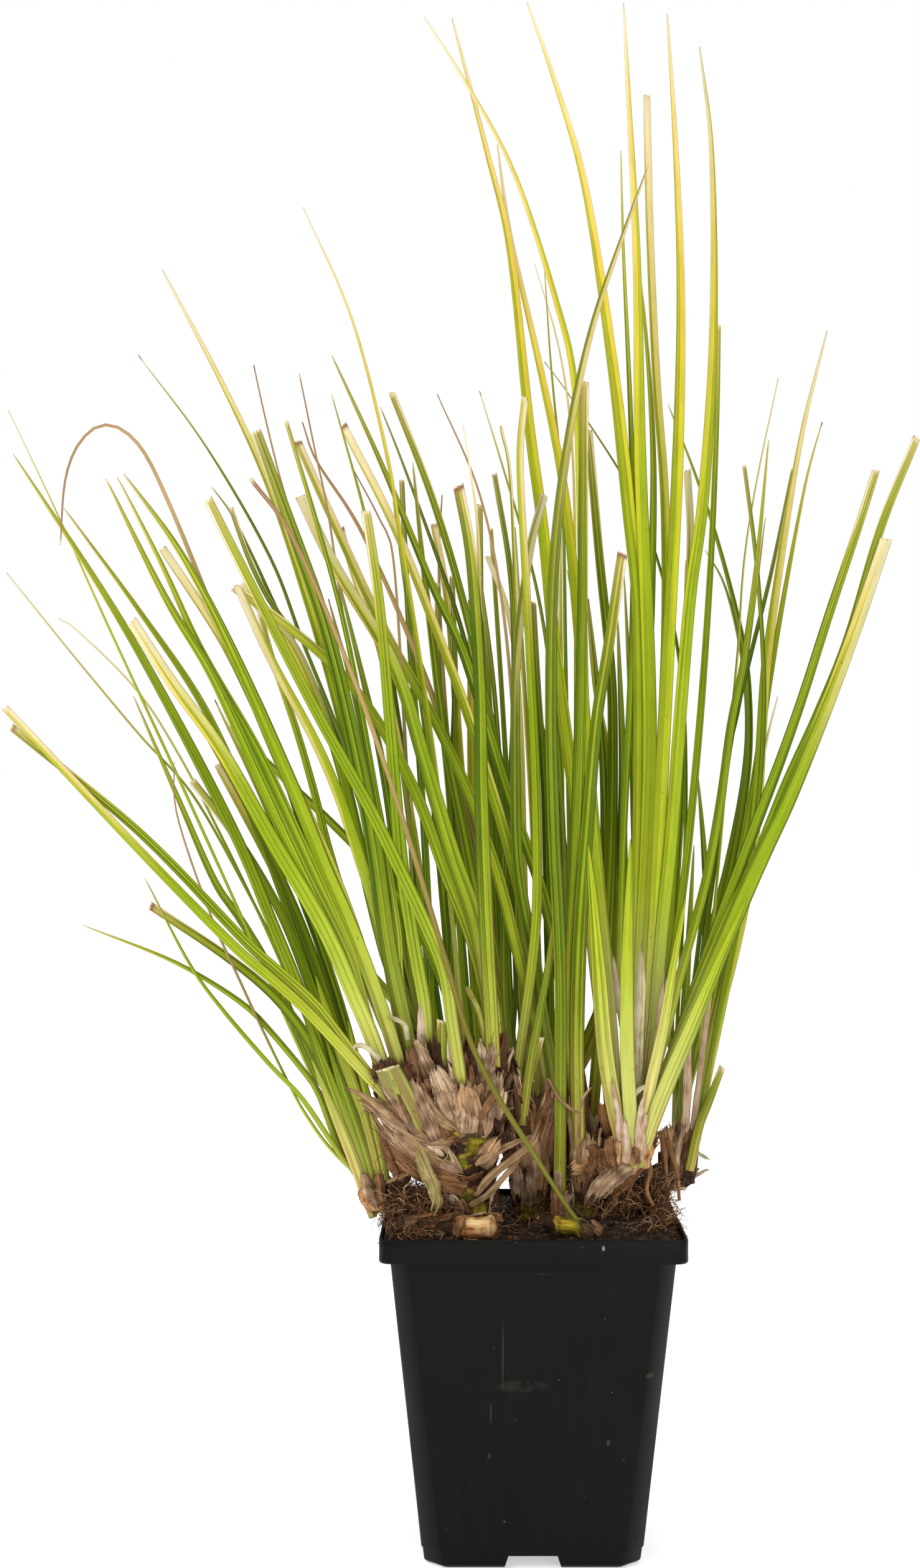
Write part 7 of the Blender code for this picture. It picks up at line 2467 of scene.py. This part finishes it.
    def _drain(self, pot: Piece) -> None:
        """Four channels under the floor, each arched over inside and drained by a hole.

        Args:
            pot: The pot.
        """
        edge = self.base_width / 2
        start = edge - self.channel_length
        wide = self.notch_wide / 2
        for quarter in range(4):
            ridge = self._bar((-wide - self.wall, start - self.wall, self.floor / 2),
                              (wide + self.wall, edge - self.ridge_inset,
                               self.notch_height + self.wall))
            self._join(pot, ridge, "UNION", quarter)
        for quarter in range(4):
            channel = self._bar((-wide, start, -self.overcut),
                                (wide, edge + self.overcut, self.notch_height),
                                self.notch_narrow / self.notch_wide)
            self._join(pot, channel, "DIFFERENCE", quarter)
            deselect_all()
            bpy.ops.mesh.primitive_cylinder_add(vertices=self.drain_sides,
                                                radius=self.drain_radius * MM,
                                                depth=2 * self.overcut * MM)
            drain = bpy.context.active_object
            drain.data.transform(Matrix.Translation(
                (0.0, (start + self.drain_place) * MM, (self.notch_height + self.wall / 2) * MM)))
            self._join(pot, drain, "DIFFERENCE", quarter)


@dataclass
class Studio:
    """White paper, soft lamps and the camera at the photograph's view."""

    lens: float = 55.7
    sensor: float = 36.0
    near: float = 0.01
    aim: Spot = (0.0, 0.0, 0.2)
    floor_size: float = 12.0
    floor_gap: float = 0.0003
    room_light: float = 0.85
    dim_side: float = 0.55
    lamps: tuple[tuple[str, Spot, float, float], ...] = (
        ("key_light", (-0.85, -1.0, 1.1), 0.8, 9.0),
        ("fill_light", (0.5, -1.4, 0.35), 0.9, 7.0),
        ("back_light", (0.3, 1.1, 1.2), 0.8, 4.0),
    )

    def build(self, finish: Material) -> None:
        """Sets the floor, the lamps, the world and the camera.

        Args:
            finish: The floor's material.
        """
        deselect_all()
        bpy.ops.mesh.primitive_circle_add(vertices=64, radius=self.floor_size / 2, fill_type="NGON",
                                          location=(0.0, 0.0, -self.floor_gap))
        floor = bpy.context.active_object
        floor.name = "studio_floor"
        floor.data.materials.append(finish)
        bpy.context.scene.world = self._surround()
        for lamp in self.lamps:
            self._lamp(*lamp)
        camera_data = bpy.data.cameras.new("camera")
        camera_data.lens = self.lens
        camera_data.sensor_width = self.sensor
        camera_data.clip_start = self.near
        camera = bpy.data.objects.new("camera", camera_data)
        camera.location = EYE * MM
        camera.rotation_euler = (math.pi / 2, 0.0, 0.0)
        bpy.context.scene.collection.objects.link(camera)
        bpy.context.scene.camera = camera
        bpy.context.scene.view_settings.view_transform = "Standard"

    def _surround(self) -> bpy.types.World:
        """White behind the plant, and the light of a studio that is dim on the camera's side.

        Returns:
            The world.
        """
        world = bpy.data.worlds.new("studio")
        world.use_nodes = True
        tree = world.node_tree
        backdrop = tree.nodes["Background"]
        backdrop.inputs["Color"].default_value = (1.0, 1.0, 1.0, 1.0)
        room = tree.nodes.new("ShaderNodeBackground")
        room.inputs["Strength"].default_value = self.room_light
        spot = tree.nodes.new("ShaderNodeTexCoord")
        axes = tree.nodes.new("ShaderNodeSeparateXYZ")
        shade = tree.nodes.new("ShaderNodeMapRange")
        shade.interpolation_type = "SMOOTHSTEP"
        for number, value in enumerate((-0.7, 0.6, self.dim_side, 1.0), 1):
            shade.inputs[number].default_value = value
        sight = tree.nodes.new("ShaderNodeLightPath")
        either = tree.nodes.new("ShaderNodeMixShader")
        tree.links.new(spot.outputs["Generated"], axes.inputs[0])
        tree.links.new(axes.outputs["Y"], shade.inputs[0])
        tree.links.new(shade.outputs[0], room.inputs["Color"])
        tree.links.new(sight.outputs["Is Camera Ray"], either.inputs[0])
        tree.links.new(room.outputs[0], either.inputs[1])
        tree.links.new(backdrop.outputs[0], either.inputs[2])
        tree.links.new(either.outputs[0], tree.nodes["World Output"].inputs["Surface"])
        return world

    def _lamp(self, name: str, place: Spot, size: float, power: float) -> None:
        """Adds one soft square lamp, turned to the middle of the plant.

        Args:
            name: Its name.
            place: Where it hangs, in metres.
            size: Its side in metres.
            power: Its power in watts.
        """
        light = bpy.data.lights.new(name, "AREA")
        light.size = size
        light.energy = power
        lamp = bpy.data.objects.new(name, light)
        lamp.location = place
        lamp.rotation_euler = (Vector(self.aim) - Vector(place)).to_track_quat("-Z", "Y").to_euler()
        bpy.context.scene.collection.objects.link(lamp)


ROOT_MATS = (
    Mat((-34.5, -24.0, 103.5), (9.0, 9.0, 7.0), 900, 10.0, 0.2),
    Mat((-35.0, -33.0, 98.0), (8.0, 5.0, 3.0), 360, 7.0, 0.2),
    Mat((-40.0, -10.0, 103.0), (5.0, 10.0, 7.0), 300, 9.0, 0.2),
    Mat((-12.0, -12.0, 99.0), (12.0, 16.0, 2.2), 60, 12.0, 0.13),
    Mat((3.0, -6.0, 99.5), (9.0, 10.0, 3.0), 40, 12.0, 0.13, 0.8),
    Mat((12.0, -10.0, 101.0), (8.0, 8.0, 5.0), 70, 12.0, 0.13, 1.0),
    Mat((26.0, -12.0, 103.0), (7.0, 7.0, 5.0), 240, 11.0, 0.18, 0.9),
    Mat((37.0, 2.0, 104.0), (7.0, 12.0, 6.0), 440, 11.0, 0.18, 1.0),
    Mat((33.0, -24.0, 98.6), (9.0, 9.0, 1.8), 50, 10.0, 0.16),
    Mat((40.5, -14.0, 99.5), (4.5, 12.0, 3.5), 120, 10.0, 0.15, 0.8),
    Mat((20.0, 22.0, 99.0), (18.0, 14.0, 2.0), 160, 12.0, 0.14),
    Mat((-22.0, 16.0, 98.5), (18.0, 18.0, 1.6), 160, 12.0, 0.14),
)


def main() -> None:
    """Loads the frame, builds every sub-assembly on it and lights it."""
    logging.basicConfig(level=logging.INFO, format="%(name)s %(message)s")
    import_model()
    husk = HuskFinish("dry_husk").material()
    strand = HuskFinish("dry_strip", 14.0, 0.7, 0.15).material()
    roots = HuskFinish("dead_root", 6.0, 0.8, 0.25).material()
    crumb = HuskFinish("peat_crumb", 4.0, 0.9).material()
    ride_as(Pot().build(PotFinish().material()), "pot_black", "pot")
    soil = Soil()
    ride_as(soil.build(PeatFinish().material()), "soil_peat", "soil")
    ride_as(soil.crumbs(random.Random(5), crumb), "soil_peat")
    for number, (name, stock) in enumerate(STOCKS.items()):
        slot = "pale_bark" if stock.husk is Husk.PALE else "bark"
        piece = Rootstock(name, stock, random.Random(100 + number)).build(husk)
        ride_as(piece, slot, name)
    for number, (name, ribbons) in enumerate(RIBBONS.items()):
        strips = LooseStrips(f"{name}_loose_strips", ribbons, random.Random(200 + number))
        ride_as(strips.build(strand), "pale_bark")
    ride_as(RootMats(ROOT_MATS).build("dead_roots", random.Random(31), roots), "bark")
    Tuft().build()
    Studio().build(FloorFinish().material())


if __name__ == "__main__":
    main()
